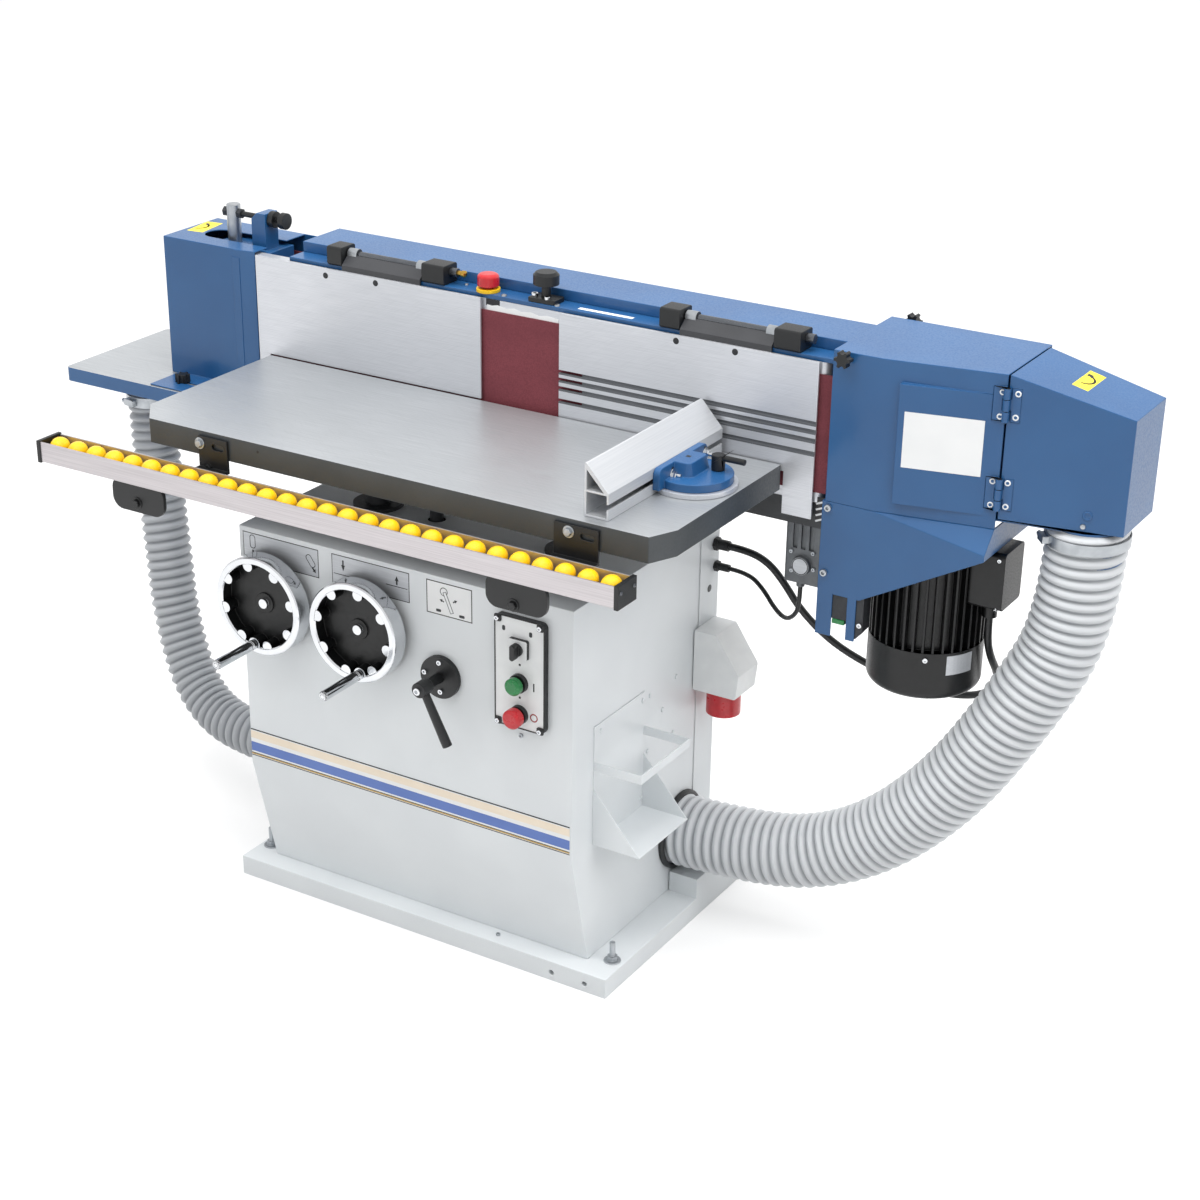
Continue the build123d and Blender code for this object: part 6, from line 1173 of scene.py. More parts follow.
@dataclass
class Studio:
    """The floor, the light and the camera at the photograph's angle, in metres and degrees."""

    eye: Point = (2.112, -3.153, 2.222)
    azimuth: float = 31.5
    elevation: float = 25.7
    roll: float = 0.61
    lens: float = 70.07
    sensor: float = 36.0
    shift: Pair = (0.0181, 0.0692)
    sight: float = 200.0
    floor_size: float = 60.0
    floor_grey: float = 0.6
    floor_glow: float = 0.43
    sky_way: Point = (-0.15, 0.5, 0.85)
    sky_span: Pair = (-0.4, 0.95)
    sky_strength: Pair = (0.15, 1.25)
    # Name, place, aim, side and watts
    lamps: Sequence[tuple[str, Point, Point, float, float]] = (
        ("top_light", (0.3, -0.6, 4.6), (0.1, 0.0, 0.6), 4.0, 195),
        ("front_fill", (-1.6, -4.2, 2.2), (0.0, 0.0, 0.6), 2.6, 20),
        ("right_fill", (3.6, -0.4, 3.0), (0.6, 0.1, 0.9), 2.4, 40),
    )

    def camera(self) -> None:
        """Sets the camera where the photograph was taken from."""
        az, el, roll = (math.radians(a) for a in (self.azimuth, self.elevation, self.roll))
        back = Vector((math.sin(az) * math.cos(el), -math.cos(az) * math.cos(el), math.sin(el)))
        level = (-back).cross(Vector(UP)).normalized()
        rise = level.cross(-back)
        x = level * math.cos(roll) + rise * math.sin(roll)
        y = rise * math.cos(roll) - level * math.sin(roll)
        data = bpy.data.cameras.new("photo_camera")
        data.lens, data.sensor_width, data.sensor_fit = self.lens, self.sensor, "HORIZONTAL"
        data.shift_x, data.shift_y = self.shift
        data.dof.use_dof = False
        data.clip_end = self.sight
        camera = bpy.data.objects.new("photo_camera", data)
        camera.matrix_world = Matrix.Translation(self.eye) @ Matrix((x, y, back)).transposed().to_4x4()
        bpy.context.scene.collection.objects.link(camera)
        bpy.context.scene.camera = camera

    def looking(self, tree: Tree) -> Socket:
        """Tells the rays that see the white studio from those that only carry its light.

        Args:
            tree: The tree that asks.

        Returns:
            One for a ray of the camera, a reflection or a see-through piece.
        """
        path = add_node(tree, "ShaderNodeLightPath").outputs
        mirrored = add_node(tree, "ShaderNodeMath", {"operation": "MAXIMUM"},
                            {0: path["Is Glossy Ray"], 1: path["Is Transmission Ray"]})
        return add_node(tree, "ShaderNodeMath", {"operation": "MAXIMUM"},
                        {0: path["Is Camera Ray"], 1: mirrored.outputs[0]}).outputs[0]

    def floor(self) -> None:
        """Lays a white floor that keeps the shadow."""
        made = bpy.data.materials.new("studio_floor")
        made.use_nodes = True
        tree = made.node_tree
        tree.nodes.clear()
        paper = add_node(tree, "ShaderNodeBsdfDiffuse", {"Color": (*[self.floor_grey] * 3, 1)})
        glow = add_node(tree, "ShaderNodeEmission", {"Color": (1, 1, 1, 1), "Strength": self.floor_glow})
        white = add_node(tree, "ShaderNodeAddShader", {}, {0: paper.outputs[0], 1: glow.outputs[0]})
        mixed = add_node(tree, "ShaderNodeMixShader", {},
                         {0: self.looking(tree), 1: paper.outputs[0], 2: white.outputs[0]})
        add_node(tree, "ShaderNodeOutputMaterial", {}, {"Surface": mixed.outputs[0]})
        corners = box_outline(self.floor_size, self.floor_size)
        data = bpy.data.meshes.new("studio_floor")
        data.from_pydata([(x, y, 0) for x, y in corners], [], [(0, 1, 2, 3)])
        data.materials.append(made)
        plane = bpy.data.objects.new("studio_floor", data)
        bpy.context.scene.collection.objects.link(plane)

    def lamp(self, name: str, place: Point, aim: Point, size: float, power: float) -> None:
        """Hangs a soft square lamp that no metal mirrors.

        Args:
            name: Its name.
            place: Where it hangs.
            aim: What it points at.
            size: Its side in metres.
            power: Its power in watts.
        """
        data = bpy.data.lights.new(name, "AREA")
        data.shape, data.size, data.energy = "SQUARE", size, power
        lamp = bpy.data.objects.new(name, data)
        turn = (Vector(aim) - Vector(place)).to_track_quat("-Z", "Y")
        lamp.matrix_world = Matrix.Translation(place) @ turn.to_matrix().to_4x4()
        lamp.visible_glossy = False
        bpy.context.scene.collection.objects.link(lamp)

    def light(self) -> None:
        """Lights the machine from above under a sky that is brightest behind it, with weak fills."""
        world = bpy.data.worlds.new("studio")
        bpy.context.scene.world = world
        world.use_nodes = True
        tree = world.node_tree
        tree.nodes.clear()
        way = add_node(tree, "ShaderNodeTexCoord").outputs["Generated"]
        rise = add_node(tree, "ShaderNodeVectorMath", {"operation": "DOT_PRODUCT", 1: self.sky_way}, {0: way})
        (dim, bright), (low, high) = self.sky_span, self.sky_strength
        sky = add_node(tree, "ShaderNodeMapRange", {1: dim, 2: bright, 3: low, 4: high},
                       {0: rise.outputs["Value"]})
        fill = add_node(tree, "ShaderNodeBackground", {"Color": (1, 1, 1, 1)}, {"Strength": sky.outputs[0]})
        seen = add_node(tree, "ShaderNodeBackground", {"Color": (1, 1, 1, 1), "Strength": 1.0})
        mixed = add_node(tree, "ShaderNodeMixShader", {},
                         {0: self.looking(tree), 1: fill.outputs[0], 2: seen.outputs[0]})
        add_node(tree, "ShaderNodeOutputWorld", {}, {"Surface": mixed.outputs[0]})
        for lamp in self.lamps:
            self.lamp(*lamp)

    def build(self) -> None:
        """Sets up the studio."""
        bpy.context.scene.view_settings.view_transform = "Standard"
        self.camera()
        self.floor()
        self.light()


@dataclass
class Stand:
    """The base, the cabinet and what is fixed to it."""

    front: float = -269.0
    anchors: Sequence[Pair] = ((-373, -193), (373, -193))
    anchor_reach: float = 17.0
    base_top: float = 38.0
    panel_face: float = -280.5
    panel_reach: float = 0.9
    panel_corners: Sequence[Pair] = ((198.5, 679.5), (280.5, 679.5), (198.5, 494.5), (280.5, 494.5))
    switch_marks: Sequence[Pair] = ((209, 663), (261, 662.5))
    button_marks: Sequence[Pair] = ((240, 604), (240, 545))
    corner_depth: float = 3.0
    switch: Pair = (240.0, 634.0)
    switch_half: float = 18.0
    switch_front: float = -288.0
    stripe_x: Pair = (-344.0, 331.0)
    stripe_z: Pair = (271.0, 325.0)
    stripe_bands: Sequence[tuple[float, float, Ink]] = (
        (322.6, 325, Ink.BLACK), (306.5, 321, Ink.CREAM), (280.8, 298.8, Ink.BLUE),
        (276.2, 277.6, Ink.BLACK), (273.8, 276, Ink.GOLD), (271.2, 272.8, Ink.BLACK),
    )
    plates: Sequence[tuple[Pair, Pair, float, Ink]] = (
        ((-337, 656), (-174, 708), 1.5, Ink.SILVER), ((-146, 655), (14.5, 709), 1.5, Ink.SILVER),
        ((49, 648.5), (140, 708), 1.8, Ink.WHITE),
    )
    pen: float = 1.3
    coats: Sequence[Coat] = (
        ("cabinet", CABINET_PAINT, 1.2), ("tool_tray", CABINET_PAINT, 0.8), ("dust_manifold", ZINC, 0.8),
        ("inlet_housing", WHITE_PLASTIC, 2.0), ("inlet_collar", RED_PLASTIC, 0.8),
        ("cable_glands", BLACK_PLASTIC, 0.6), ("front_bearings", BLACK_PLASTIC, 0.8),
        ("lift_guides", DARK_IRON, 1.0), ("trunnions", DARK_IRON, 1.2),
    )
    fixings: Sequence[Fixing] = (
        ("wall_screws", "stand", Fastener.PAN, CABINET_PAINT, same_way(
            RIGHT, 4.5, (335, 73, 466), (335, -17.5, 466), (335, 27, 421), (335, 68, 359), (335, -23, 361),
            (337, -45.4, 468), (337, -183, 469.4), (337, -44, 280))),
        # Painted shade: a flat black disc stands for the dark inside of the hole in the wall
        ("wall_hole", "stand", Fastener.HOLE, FILM_BLACK, same_way(RIGHT, 7, (337, 181, 595))),
        ("stand_screws", "stand", Fastener.SOCKET, ZINC, (
            *same_way(UP, 4, (160.6, -229.8, 38), (331, -207, 38)),
            *same_way(FRONT, 4, (235.4, -269, 469.6)))),
        ("flange_screws", "stand", Fastener.SOCKET, CHROME, same_way(
            FRONT, 4.6, (80, -279, 567), (82, -279, 514), (50, -279, 543))),
    )

    def base_pick(self, at: Vector, way: Vector) -> int:
        """Plated for the anchor bolts, painted for the base."""
        return int(close_to(at, self.anchors, self.anchor_reach) and at.z > self.base_top + 0.5)

    def panel_pick(self, at: Vector, way: Vector) -> int:
        """White for the panel's face and the face of the switch, black for the rest.

        Args:
            at: The middle of a face.
            way: Its normal.

        Returns:
            The index of the finish.
        """
        aside = max(abs(at.x - self.switch[0]), abs(at.z - self.switch[1]))
        on_switch = aside < self.switch_half and at.y > self.switch_front
        return int(way.y < -0.9 and (at.y > self.panel_face - self.panel_reach or on_switch))

    def stripe(self) -> None:
        """Sticks the stripe and the three plates with their signs on the cabinet's front."""
        signs = Print((0, self.front, 0))
        left, right = self.stripe_x
        signs.area((left, self.stripe_z[0]), (right, self.stripe_z[1]), Ink.WHITE)
        for low, high, ink in self.stripe_bands:
            signs.area((left, low), (right, high), ink, 2)
        for low, high, edge, ink in self.plates:
            signs.area(low, high, Ink.BLACK)
            signs.area((low[0] + edge, low[1] + edge), (high[0] - edge, high[1] - edge), ink, 2)
        capsule = box_outline(11, 24, 5)
        capsule.append(capsule[0])
        signs.stroke(capsule, (-316, 692), self.pen, Ink.BLACK).arrow((-316, 677), 13, 8, -90, Ink.BLACK)
        signs.stroke(turned(capsule, 35), (-191, 684), self.pen, Ink.BLACK)
        signs.arrow((-188, 673), 12, 8, -50, Ink.BLACK)
        signs.stroke(((-142, 674), (-101, 674)), (0, 0), self.pen, Ink.BLACK)
        signs.arrow((-122, 701), 20, 8, -90, Ink.BLACK)
        signs.stroke(((-33, 679), (10, 679)), (0, 0), self.pen, Ink.BLACK)
        signs.arrow((-11, 682), 16, 8, 90, Ink.BLACK)
        signs.stroke(arc(7, 0, 360), (84, 692), self.pen, Ink.BLACK)
        signs.stroke(((86, 689), (99, 659)), (0, 0), 7, Ink.BLACK)
        signs.stroke(((86, 689), (99, 659)), (0, 0), 4.6, Ink.WHITE, 4)
        signs.arrow((84, 674), 9, 6, 160, Ink.BLACK).arrow((102, 677), 10, 6, 30, Ink.BLACK)
        signs.area((68, 654), (78, 659), Ink.BLACK, 3, 2).area((114, 653), (125, 658), Ink.BLACK, 3, 2)
        signs.stick("stand_films", "stand")

    def panel(self) -> None:
        """Sets the corner blocks, screws and marks on the control panel."""
        marks = Print((0, self.panel_face, 0))
        marks.area((265.8, 562), (268.4, 577), Ink.BLACK)
        marks.stroke(arc(6.5, 0, 360), (267.3, 514.6), 2, Ink.RED, 1)
        for at in self.switch_marks:
            marks.patch(box_outline(6, 9, 2.5), at, Ink.BLACK)
        for at in self.button_marks:
            marks.patch(box_outline(4, 4, 0.8), at, Ink.BLACK)
        marks.stick("panel_marks", "stand")
        corners = Shape()
        for x, z in self.panel_corners:
            corners.prism(box_outline(13, 13, 3), (x, self.panel_face, z), RIGHT, UP, self.corner_depth)
        corners.piece("panel_corners", "stand", [BLACK_PLASTIC], 0.5)
        heads = [(x, self.panel_face - self.corner_depth, z) for x, z in self.panel_corners]
        scatter("panel_screws", "stand", Fastener.SOCKET, CHROME, same_way(FRONT, 4.2, *heads))

    def build(self) -> None:
        """Dresses the stand."""
        dress("base_plinth", [CABINET_PAINT, ZINC], self.base_pick, 1.2)
        dress_plain(self.coats)
        dress("control_box", [BLACK_PLASTIC, WHITE_PLASTIC], self.panel_pick, 0.8)
        self.stripe()
        self.panel()
        scatter_all(self.fixings)


@dataclass
class Controls:
    """The handwheels, the clamp lever and the buttons."""

    wheels: Sequence[tuple[str, float]] = (("tilt", -276.0), ("lift", -75.0))
    wheel_z: float = 595.0
    wheel_radius: float = 90.0
    rim_front: float = -315.0
    rim_depth: float = 3.0
    bolt_radius: float = 9.5
    bolt_base: float = -294.0
    clamp_hub: Point = (78.0, -339.0, 538.0)
    clamp_screw: float = 6.5
    buttons: Sequence[Coat] = (
        ("switch_knob", BLACK_PLASTIC, 1.0), ("start_button", GREEN_PLASTIC, 1.2),
        ("stop_button", RED_PLASTIC, 1.5),
    )

    def wheel_pick(self, at_x: float) -> Picker:
        """Gives the choice between a wheel's polished rim and its black cup.

        Args:
            at_x: Where the wheel's middle is.

        Returns:
            The choice by face.
        """
        def pick(at: Vector, way: Vector) -> int:
            """Polished on the rim's front and side and on the bolt, black in the cup.

            Args:
                at: The middle of a face.
                way: Its normal.

            Returns:
                The index of the finish.
            """
            far = math.hypot(at.x - at_x, at.z - self.wheel_z)
            rim_face = way.y < -0.3 and at.y < self.rim_front + self.rim_depth
            bolt = far < self.bolt_radius and at.y < self.bolt_base
            return int(not (far > self.wheel_radius - self.rim_depth or rim_face or bolt))
        return pick

    def build(self) -> None:
        """Dresses the controls."""
        for name, at_x in self.wheels:
            dress(name + "_wheel", [CHROME, WHEEL_BLACK], self.wheel_pick(at_x), 0.8)
            dress(name + "_grip", [CHROME], edge=1.5)
        dress("clamp_lever", [BLACK_PLASTIC], edge=1.5)
        scatter("clamp_screw", "clamp_lever", Fastener.SOCKET, CHROME,
                same_way(FRONT, self.clamp_screw, self.clamp_hub))
        dress_plain(self.buttons)


@dataclass
class Table:
    """The rising table with its roller rail."""

    top: float = 898.0
    roller_radius: float = 16.5
    roller_stretch: float = 1.15
    first_roller: Point = (-646.41, -374.0, 831.5)
    pitch: float = 41.18
    rollers: int = 28
    coats: Sequence[Coat] = (
        ("table_lift", DARK_PAINT, 1.2), ("rail_brackets", BLACK_PLASTIC, 0.8),
        ("roller_rail", RAIL_ALUMINIUM, 0.7), ("rail_trim", BLACK_PLASTIC, 1.2),
    )
    fixings: Sequence[Fixing] = (
        ("rail_bolts", "table", Fastener.HEX, ZINC, same_way(
            FRONT, 7, (-372, -325, 877), (358.7, -325, 878))),
        ("pad_bolts", "table", Fastener.HEX, BLACK_PLASTIC, (
            *same_way(FRONT, 7.5, (-470.5, -382, 766.6), (294, -382, 760.5)),
            *same_way(FRONT, 5, (-355, -325, 838)))),
        ("cap_screws", "table", Fastener.PAN, DARK_STEEL, same_way(
            RIGHT, 3.5, (494, -394, 831.6), (494, -354.7, 831))),
        # Painted shade: a flat black disc stands for the dark inside of the hole in the table
        ("table_hole", "table", Fastener.HOLE, FILM_BLACK, same_way(FRONT, 2.5, (-252, -320, 883.5))),
    )

    def top_pick(self, at: Vector, way: Vector) -> int:
        """Ground for the table's face, enamel for the rest."""
        return int(way.z > 0.5 and at.z > self.top - 3)

    def build(self) -> None:
        """Dresses the table, sets the rollers in their rail and bolts the rail on."""
        dress("table_top", [TABLE_SIDE, TABLE_GROUND], self.top_pick, 1.5)
        dress_plain(self.coats)
        data = grow("rollers_row", bpy.data.meshes.new("roller_seed"), row_tree(), {
            "Count": self.rollers, "Start": tuple(c * MM for c in self.first_roller),
            "Step": (self.pitch * MM, 0, 0), "Radius": self.roller_radius * MM,
            "Squeeze": (1, self.roller_stretch, 1), "Material": YELLOW_PLASTIC.material()})
        settle("rollers_row", data, "table", [YELLOW_PLASTIC], stands_for=["rollers"])
        scatter_all(self.fixings)


@dataclass
class Gauge:
    """The stop fence on its mitre gauge."""

    body: str = BODY_OF["gauge_body"]
    side: float = 426.0
    slots: Sequence[Pair] = ((-124, 922), (-19, 925))
    hole: Point = (433, -86, 942.2)
    coats: Sequence[Coat] = (
        ("stop_fence", FENCE_ALUMINIUM, 0.6), ("gauge_disc", GROUND_STEEL, 0.8),
        ("gauge_body", BLUE_PAINT, 1.5), ("gauge_lever", BLACK_PLASTIC, 1.2),
    )

    def build(self) -> None:
        """Dresses the fence and the gauge, with black patches painted as the shade of its slots and its hole,
        and two bolts.
        """
        dress_plain(self.coats)
        # Painted shade: black patches stand for the dark inside of the slots and the hole
        slots = Print((self.side, 0, 0), BACK, UP)
        for at in self.slots:
            slots.patch(box_outline(8, 26, 3.9), at, Ink.BLACK)
        slots.stick("gauge_slots", self.body)
        hole = Print(self.hole, RIGHT, BACK).patch(box_outline(8, 8), (0, 0), Ink.BLACK)
        hole.stick("gauge_hole", self.body)
        scatter("gauge_bolts", self.body, Fastener.STUD, CHROME,
                same_way(RIGHT, 5.5, *((self.side, y, z) for y, z in self.slots)))


@dataclass(frozen=True)
class Label:
    """A plain yellow label with a bent arrow."""

    name: str
    body: str
    origin: Point
    across: Point
    size: Pair
    turn: float
    bend: float
    head_at: Pair
    head: float
    bend_at: Pair = (-14.0, 0.0)
    sweep: Pair = (-70.0, 50.0)
    head_way: float = 138.0
    pen: float = 3.6

    def stick(self) -> None:
        """Sticks the label on its face."""
        made = Print(self.origin, self.across, BACK)
        made.patch(turned(box_outline(*self.size), self.turn), (0, 0), Ink.YELLOW)
        made.stroke(arc(self.bend, *self.sweep), self.bend_at, self.pen, Ink.BLACK, 2)
        made.arrow(self.head_at, self.head, self.head, self.head_way, Ink.BLACK, 2)
        made.stick(self.name, self.body)


class CoverLook(IntEnum):
    """What a face of a belt cover is, in the order of COVER_FINISHES."""

    SHEET = 0
    LEAF = 1
    GROOVE = 2
    KNUCKLE = 3


COVER_FINISHES = (GROUND_STEEL, DARK_SHEET, GROOVE_GREY, ZINC)


@dataclass
class Unit:
    """The tilting sanding unit with its covers."""

    hinge: Pair = (886.42, 90.82)
    barrel_reach: float = 5.2
    housing_way: Point = (0.17, -0.985, 0.0)
    side_table_top: float = 822.0
    rod: Pair = (103.0, 1106.0)
    knuckle: Pair = (9.0, 10.5)
    cover_y: Pair = (72.0, 76.0)
    cover_top: float = 1080.0
    groove_span: Pair = (915.0, 990.0)
    groove_x: Pair = (90.0, 577.0)
    # Painted shade: a band in the groove's grey from this far below each groove's middle, so that each groove
    # reads wider
    groove_shade_band: Pair = (-5.6, -2.5)
    grooves: Sequence[float] = (978.0, 964.0, 949.0, 927.0)
    cover_holes: Sequence[tuple[str, Sequence[Pair]]] = (
        ("left_cover", ((-401.6, 1067), (-291.6, 1070.5))),
        ("right_cover", ((316.3, 1070.2), (425.8, 1070.7))),
    )
    backing: Outline = (
        (-62, 1058.5), (83, 1058.5), (83, 1065), (60, 1067), (44, 1064.5), (28, 1068), (8, 1065.5),
        (-6, 1069), (-24, 1066), (-40, 1069.5), (-52, 1067), (-62, 1068),
    )
    backing_y: float = 82.0
    plunger: Point = (-150, 103, 1106)
    plunger_nut: Outline = ((7, 0), (7, 6), (5, 7), (5, 10), (0, 10))
    plunger_pin: Outline = ((4.5, 8), (4.5, 22), (6, 23), (6, 29), (3, 31), (0, 31))
    plate_top: float = 1086.0
    wedge: tuple[Point, Point] = ((794, 75.7, 985), (0.976, 0.218, 0))
    lap: tuple[Point, Point] = ((-612, 67.8, 826), (-595.5, 69.5, 1070))
    stripe_face: float = 83.6
    stripe_heights: Sequence[float] = (812, 822, 832, 842)
    leg_block: Outline = ((626, 652), (655, 652), (655, 624), (672, 624), (684, 640), (684, 705), (626, 705))
    leg_back: float = 94.0
    leg_depth: float = 28.0
    leg_stop: tuple[Point, Point] = ((629, 64.5, 644), (651, 80, 652))
    leg_bolt: Point = (679, 66, 651)
    gear_cap: Point = (558.5, 80, 723)
    cap_radius: float = 15.2
    cap_ring: float = 14.0
    labels: Sequence[Label] = (
        Label("hood_label", BODY_OF["end_hood"], (978.5, 199, 1086.8), (0.97, 0, -0.243), (32, 80), 0, 20,
              (-2, 15), 15),
        Label("guard_label", BODY_OF["idler_guard"], (-751, 160, 1085), RIGHT, (34, 72), 8, 18, (-3, 13), 14),
    )
    sheets: Sequence[Coat] = (
        ("top_plate", BLUE_PAINT, 1.2), ("back_cover", BLUE_PAINT, 1.2), ("suction_tray", BLUE_PAINT, 1.2),
        ("motor_shroud", BLUE_PAINT, 1.2), ("idler_guard", BLUE_PAINT, 1.2), ("carriage", BLUE_PAINT, 1.2),
    )
    works: Sequence[Coat] = (
        ("unit_beam", DARK_PAINT, 1.2), ("platen", GROUND_STEEL, 0.8), ("oscillator", DIE_CAST, 1.0),
    )
    knobs: Sequence[Coat] = (
        ("estop_base", YELLOW_RING, 0.8), ("estop_head", RED_PLASTIC, 0.8),
        ("housing_knobs", BLACK_PLASTIC, 1.0), ("guard_knob", BLACK_PLASTIC, 1.0),
        ("tension_knob", BLACK_PLASTIC, 0.8),
    )
    hinges: Sequence[Coat] = (("hinge_blocks", BLACK_PLASTIC, 1.2), ("hinge_rods", DARK_STEEL, 0.6))
    rivets: Sequence[tuple[str, str, Sequence[Point]]] = (
        ("hinge", "unit",
         ((878.3, 93.6, 1080.6), (876.9, 93.4, 1041.2), (874.9, 93.0, 935.1), (874.6, 93.0, 895.8))),
        ("hood", BODY_OF["end_hood"],
         ((901.8, 97.6, 1080.5), (900.9, 97.4, 1042.5), (898.4, 97.0, 935.2), (898.2, 97.0, 896.0))),
    )
    rivet_radius: float = 5.0
    core_radius: float = 2.6
    core_rise: float = 0.6
    fixings: Sequence[Fixing] = (
        ("hood_plug", BODY_OF["end_hood"], Fastener.RIVET, BLUE_PAINT, same_way(
            housing_way, 8, (1023.9, 119.6, 900))),
        ("hood_screw", BODY_OF["end_hood"], Fastener.PAN, ZINC, same_way(
            housing_way, 4.5, (1018.6, 118.7, 881.8))),
        ("shroud_bolts", "unit", Fastener.SOCKET, ZINC, same_way(
            FRONT, 6, (611.8, 63, 844.5), (610.8, 63, 730.9))),
        ("gear_screws", "unit", Fastener.SOCKET, ZINC, same_way(
            FRONT, 3.6, (538, 88, 744), (540, 88, 710), (580, 88, 719.5), (578, 88, 748))),
        ("plate_screws", "unit", Fastener.PAN, ZINC, (
            *same_way(UP, 5, (-30.7, 88, 1086)), *same_way(UP, 4, (-122.7, 109.3, 1086)),
            *same_way(UP, 5, (76.4, 88, 1086)))),
        ("tension_bolts", "unit", Fastener.SOCKET, CHROME, (
            *same_way(UP, 6, (27, 95, 1094)), *same_way(UP, 5, (56, 88.5, 1094)))),
    )

    def barrel_pick(self, at: Vector, way: Vector) -> int:
        """Black for the barrels of the hood's hinges, blue for the sheet."""
        return int(close_to(at, [self.hinge], self.barrel_reach))

    def side_pick(self, at: Vector, way: Vector) -> int:
        """Ground for the side table's face, blue for the rest."""
        return int(way.z > 0.9 and at.z > self.side_table_top - 1)

    def cover_pick(self, at: Vector, way: Vector) -> int:
        """Bright for the knuckles of a cover's hinge, dark for its leaf, grey in the cover's grooves.

        Args:
            at: The middle of a face.
            way: Its normal.

        Returns:
            The index of the finish.
        """
        front, back = self.cover_y
        if self.knuckle[0] < math.hypot(at.y - self.rod[0], at.z - self.rod[1]) < self.knuckle[1]:
            return CoverLook.KNUCKLE
        if at.z > self.cover_top + 1 or at.y > back + 1:
            return CoverLook.LEAF
        inside = front + 0.2 < at.y < back - 0.2 and self.groove_span[0] < at.z < self.groove_span[1]
        return CoverLook.GROOVE if inside and abs(way.x) < 0.9 else CoverLook.SHEET

    def covers(self) -> None:
        """Dresses the two covers with their hinges, screw holes and grooves, paints shade in the holes and a
        band of shade below each groove, and sets the strip above the belt.
        """
        front = self.cover_y[0]
        for node, _ in self.cover_holes:
            dress(node, COVER_FINISHES, self.cover_pick, 0.5)
        # Painted shade: flat black discs stand for the dark inside of the covers' screw holes
        for node, holes in self.cover_holes:
            scatter(node + "_holes", BODY_OF[node], Fastener.HOLE, FILM_BLACK,
                    same_way(FRONT, 5.5, *((x, front, z) for x, z in holes)))
        # Painted shade: a grey band below each groove
        edges = Print((0, front, 0))
        low, high = self.groove_shade_band
        for z in self.grooves:
            edges.area((self.groove_x[0], z + low), (self.groove_x[1], z + high), Ink.GREY)
        edges.stick("groove_edges", BODY_OF["right_cover"])
        dress_plain(self.hinges)
        strip = Print((0, self.backing_y, 0)).patch(self.backing, (0, 0), Ink.WHITE, 3)
        strip.area((-64, 1066), (-36, 1078), Ink.BLACK, 2).stick("belt_backing", "unit")
        plunger = Shape().lathe(self.plunger_nut, self.plunger, RIGHT, 1, 6)
        plunger.lathe(self.plunger_pin, self.plunger, RIGHT, 0, 20)
        plunger.piece("plunger", "unit", [BRASS, ZINC], 0.3)

    def films(self) -> None:
        """Sticks the bare plates, labels and stripes on, and lays the lap on the guard."""
        strip = Print((0, 0, self.plate_top), RIGHT, BACK)
        strip.area((114, 92), (220, 102), Ink.WHITE).stick("top_film", "unit")
        plate = Print(*self.wedge).patch(box_outline(126, 92), (0, 0), Ink.WHITE)
        plate.stick("wedge_plate", "unit")
        for label in self.labels:
            label.stick()
        Shape().block(*self.lap).piece("guard_lap", BODY_OF["idler_guard"], [BLUE_PAINT], 0.3)
        stripes = Print((0, self.stripe_face, 0)).area((579, 806), (604, 850), Ink.BLACK)
        for z in self.stripe_heights:
            stripes.stroke(((581, z - 4), (602, z + 5)), (0, 0), 3.2, Ink.WHITE, 2)
        stripes.stick("unit_stripes", "unit")

    def legs(self) -> None:
        """Sets the dark block with its green stop behind the shroud's legs, and the plate on the cap."""
        block = Shape().prism(self.leg_block, (0, self.leg_back, 0), RIGHT, UP, self.leg_depth)
        block.block(*self.leg_stop, 1).piece("leg_block", "unit", [DARK_IRON, GREEN_PLASTIC], 0.6)
        scatter("leg_bolt", "unit", Fastener.SOCKET, CHROME, same_way(FRONT, 4.5, self.leg_bolt))
        cap = Print(self.gear_cap).patch(arc(self.cap_radius, 0, 345, 23), (0, 0), Ink.SILVER)
        cap.stroke(arc(self.cap_ring, 0, 360, 24), (0, 0), 1.4, Ink.BLACK, 2).stick("gear_plate", "unit")

    def screws(self) -> None:
        """Sets the rivets with their blue cores, and the screws and bolts of the unit and the hood."""
        raised = self.core_rise * Vector(self.housing_way)
        for name, body, places in self.rivets:
            cores = [tuple(Vector(at) + raised) for at in places]
            scatter(name + "_rivets", body, Fastener.RIVET, WHITE_PLASTIC,
                    same_way(self.housing_way, self.rivet_radius, *places))
            scatter(name + "_rivet_cores", body, Fastener.HOLE, BLUE_PAINT,
                    same_way(self.housing_way, self.core_radius, *cores))
        scatter_all(self.fixings)

    def build(self) -> None:
        """Dresses the unit."""
        dress_plain(self.sheets)
        for node in ("drum_housing", "end_hood"):
            dress(node, [BLUE_PAINT, BLACK_PLASTIC], self.barrel_pick, 1.2)
        dress_plain(self.works)
        dress("side_table", [BLUE_PAINT, TABLE_GROUND], self.side_pick, 1.0)
        dress_plain(self.knobs)
        self.covers()
        self.films()
        self.legs()
        self.screws()


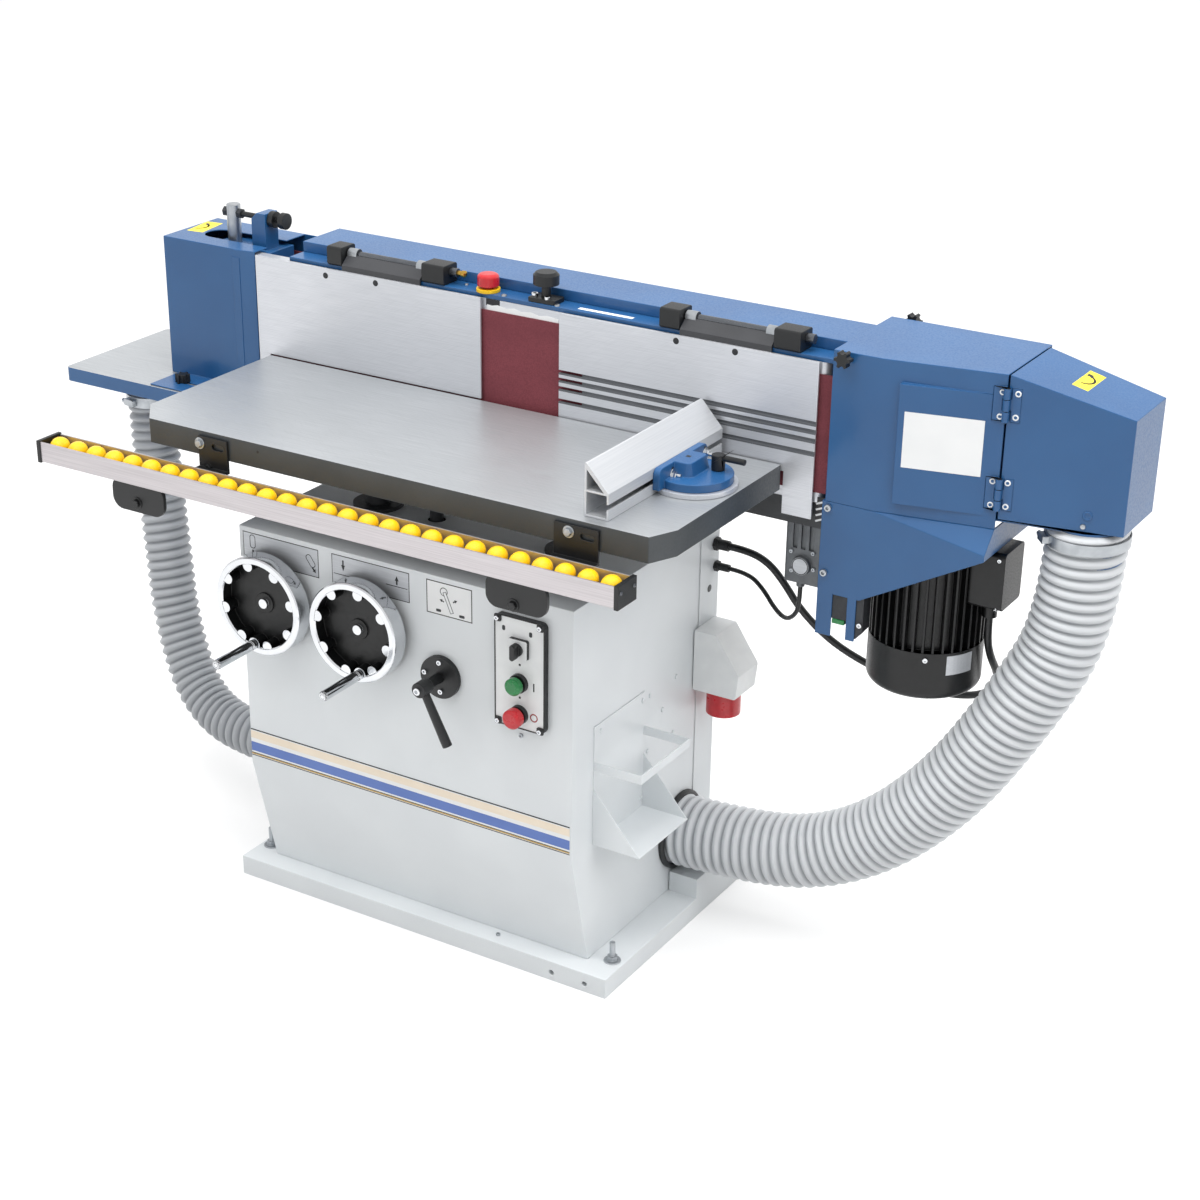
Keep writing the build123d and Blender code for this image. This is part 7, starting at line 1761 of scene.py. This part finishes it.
@dataclass
class Drive:
    """The motor, the drums, the belt and the tracking gear."""

    motor_axis: Pair = (756.0, 165.0)
    fan_radius: float = 96.0
    plate_z: float = 602.0
    plate_size: Pair = (6.35, 34.0)
    plate_start: float = -43.5
    plate_step: float = 3.75
    plate_steps: int = 8
    post: Pair = (-662.0, 139.5)
    post_radius: float = 13.0
    post_z: Pair = (1075.0, 1146.0)
    stud_z: float = 1130.0
    nut_radius: float = 9.5
    nut_height: float = 9.0
    coats: Sequence[Coat] = (
        ("motor", MOTOR_BLACK, 0.8), ("belt", ABRASIVE, 0.0), ("drive_drum", DARK_IRON, 1.0),
        ("idler_drum", GROUND_STEEL, 1.0),
    )
    fixings: Sequence[Fixing] = (
        ("motor_screws", BODY_OF["motor"], Fastener.SOCKET, CHROME, (
            *same_way((0.4, -0.92, 0), 4.5, (793.7, 76.9, 613)), *same_way(FRONT, 3.5, (887.3, 125, 792.3)),
            *same_way((0, -0.71, -0.71), 3.5, (886.3, 127.2, 706.6)))),
    )

    def tracking(self) -> None:
        """Makes the tracking post, a round rod with a nut on each side, and dresses its knob."""
        low, high = self.post_z
        r = self.post_radius
        profile = ((0, low), (r, low), (r, high - 1), (r - 1, high), (0, high))
        rod = Shape().lathe(profile, (*self.post, 0), UP)
        nut = ((0, 0), (self.nut_radius, 0), (self.nut_radius, self.nut_height), (0, self.nut_height))
        for side in (-1, 1):
            at = (self.post[0] + side * (r - 1.5), self.post[1], self.stud_z)
            rod.lathe(nut, at, (side, 0, 0), 1, steps=6)
        rod.piece("tracking_rod", BODY_OF["tracking_post"], [ZINC, DARK_IRON], 0.5, ["tracking_post"])
        dress("tracking_knob", [BLACK_PLASTIC], edge=1.0)

    def nameplate(self) -> None:
        """Bends a bare plate round the fan cover."""
        plate = Shape()
        for step in range(self.plate_steps):
            turn = math.radians(self.plate_start + self.plate_step * step)
            out = Vector((math.cos(turn), math.sin(turn), 0))
            middle = Vector((*self.motor_axis, self.plate_z)) + out * (self.fan_radius - 0.3)
            plate.prism(box_outline(*self.plate_size), tuple(middle), tuple(Vector(UP).cross(out)), UP, 0.7)
        plate.piece("motor_plate", BODY_OF["motor"], [PLATE_SILVER])

    def build(self) -> None:
        """Dresses the drive."""
        dress_plain(self.coats)
        self.tracking()
        self.nameplate()
        scatter_all(self.fixings)


def main() -> None:
    """Builds the studio and the machine."""
    logging.basicConfig(level=logging.INFO, format="%(name)s: %(message)s")
    for part in (Studio(), Cords(), Stand(), Controls(), Table(), Gauge(), Unit(), Drive()):
        part.build()


if __name__ == "__main__":
    main()
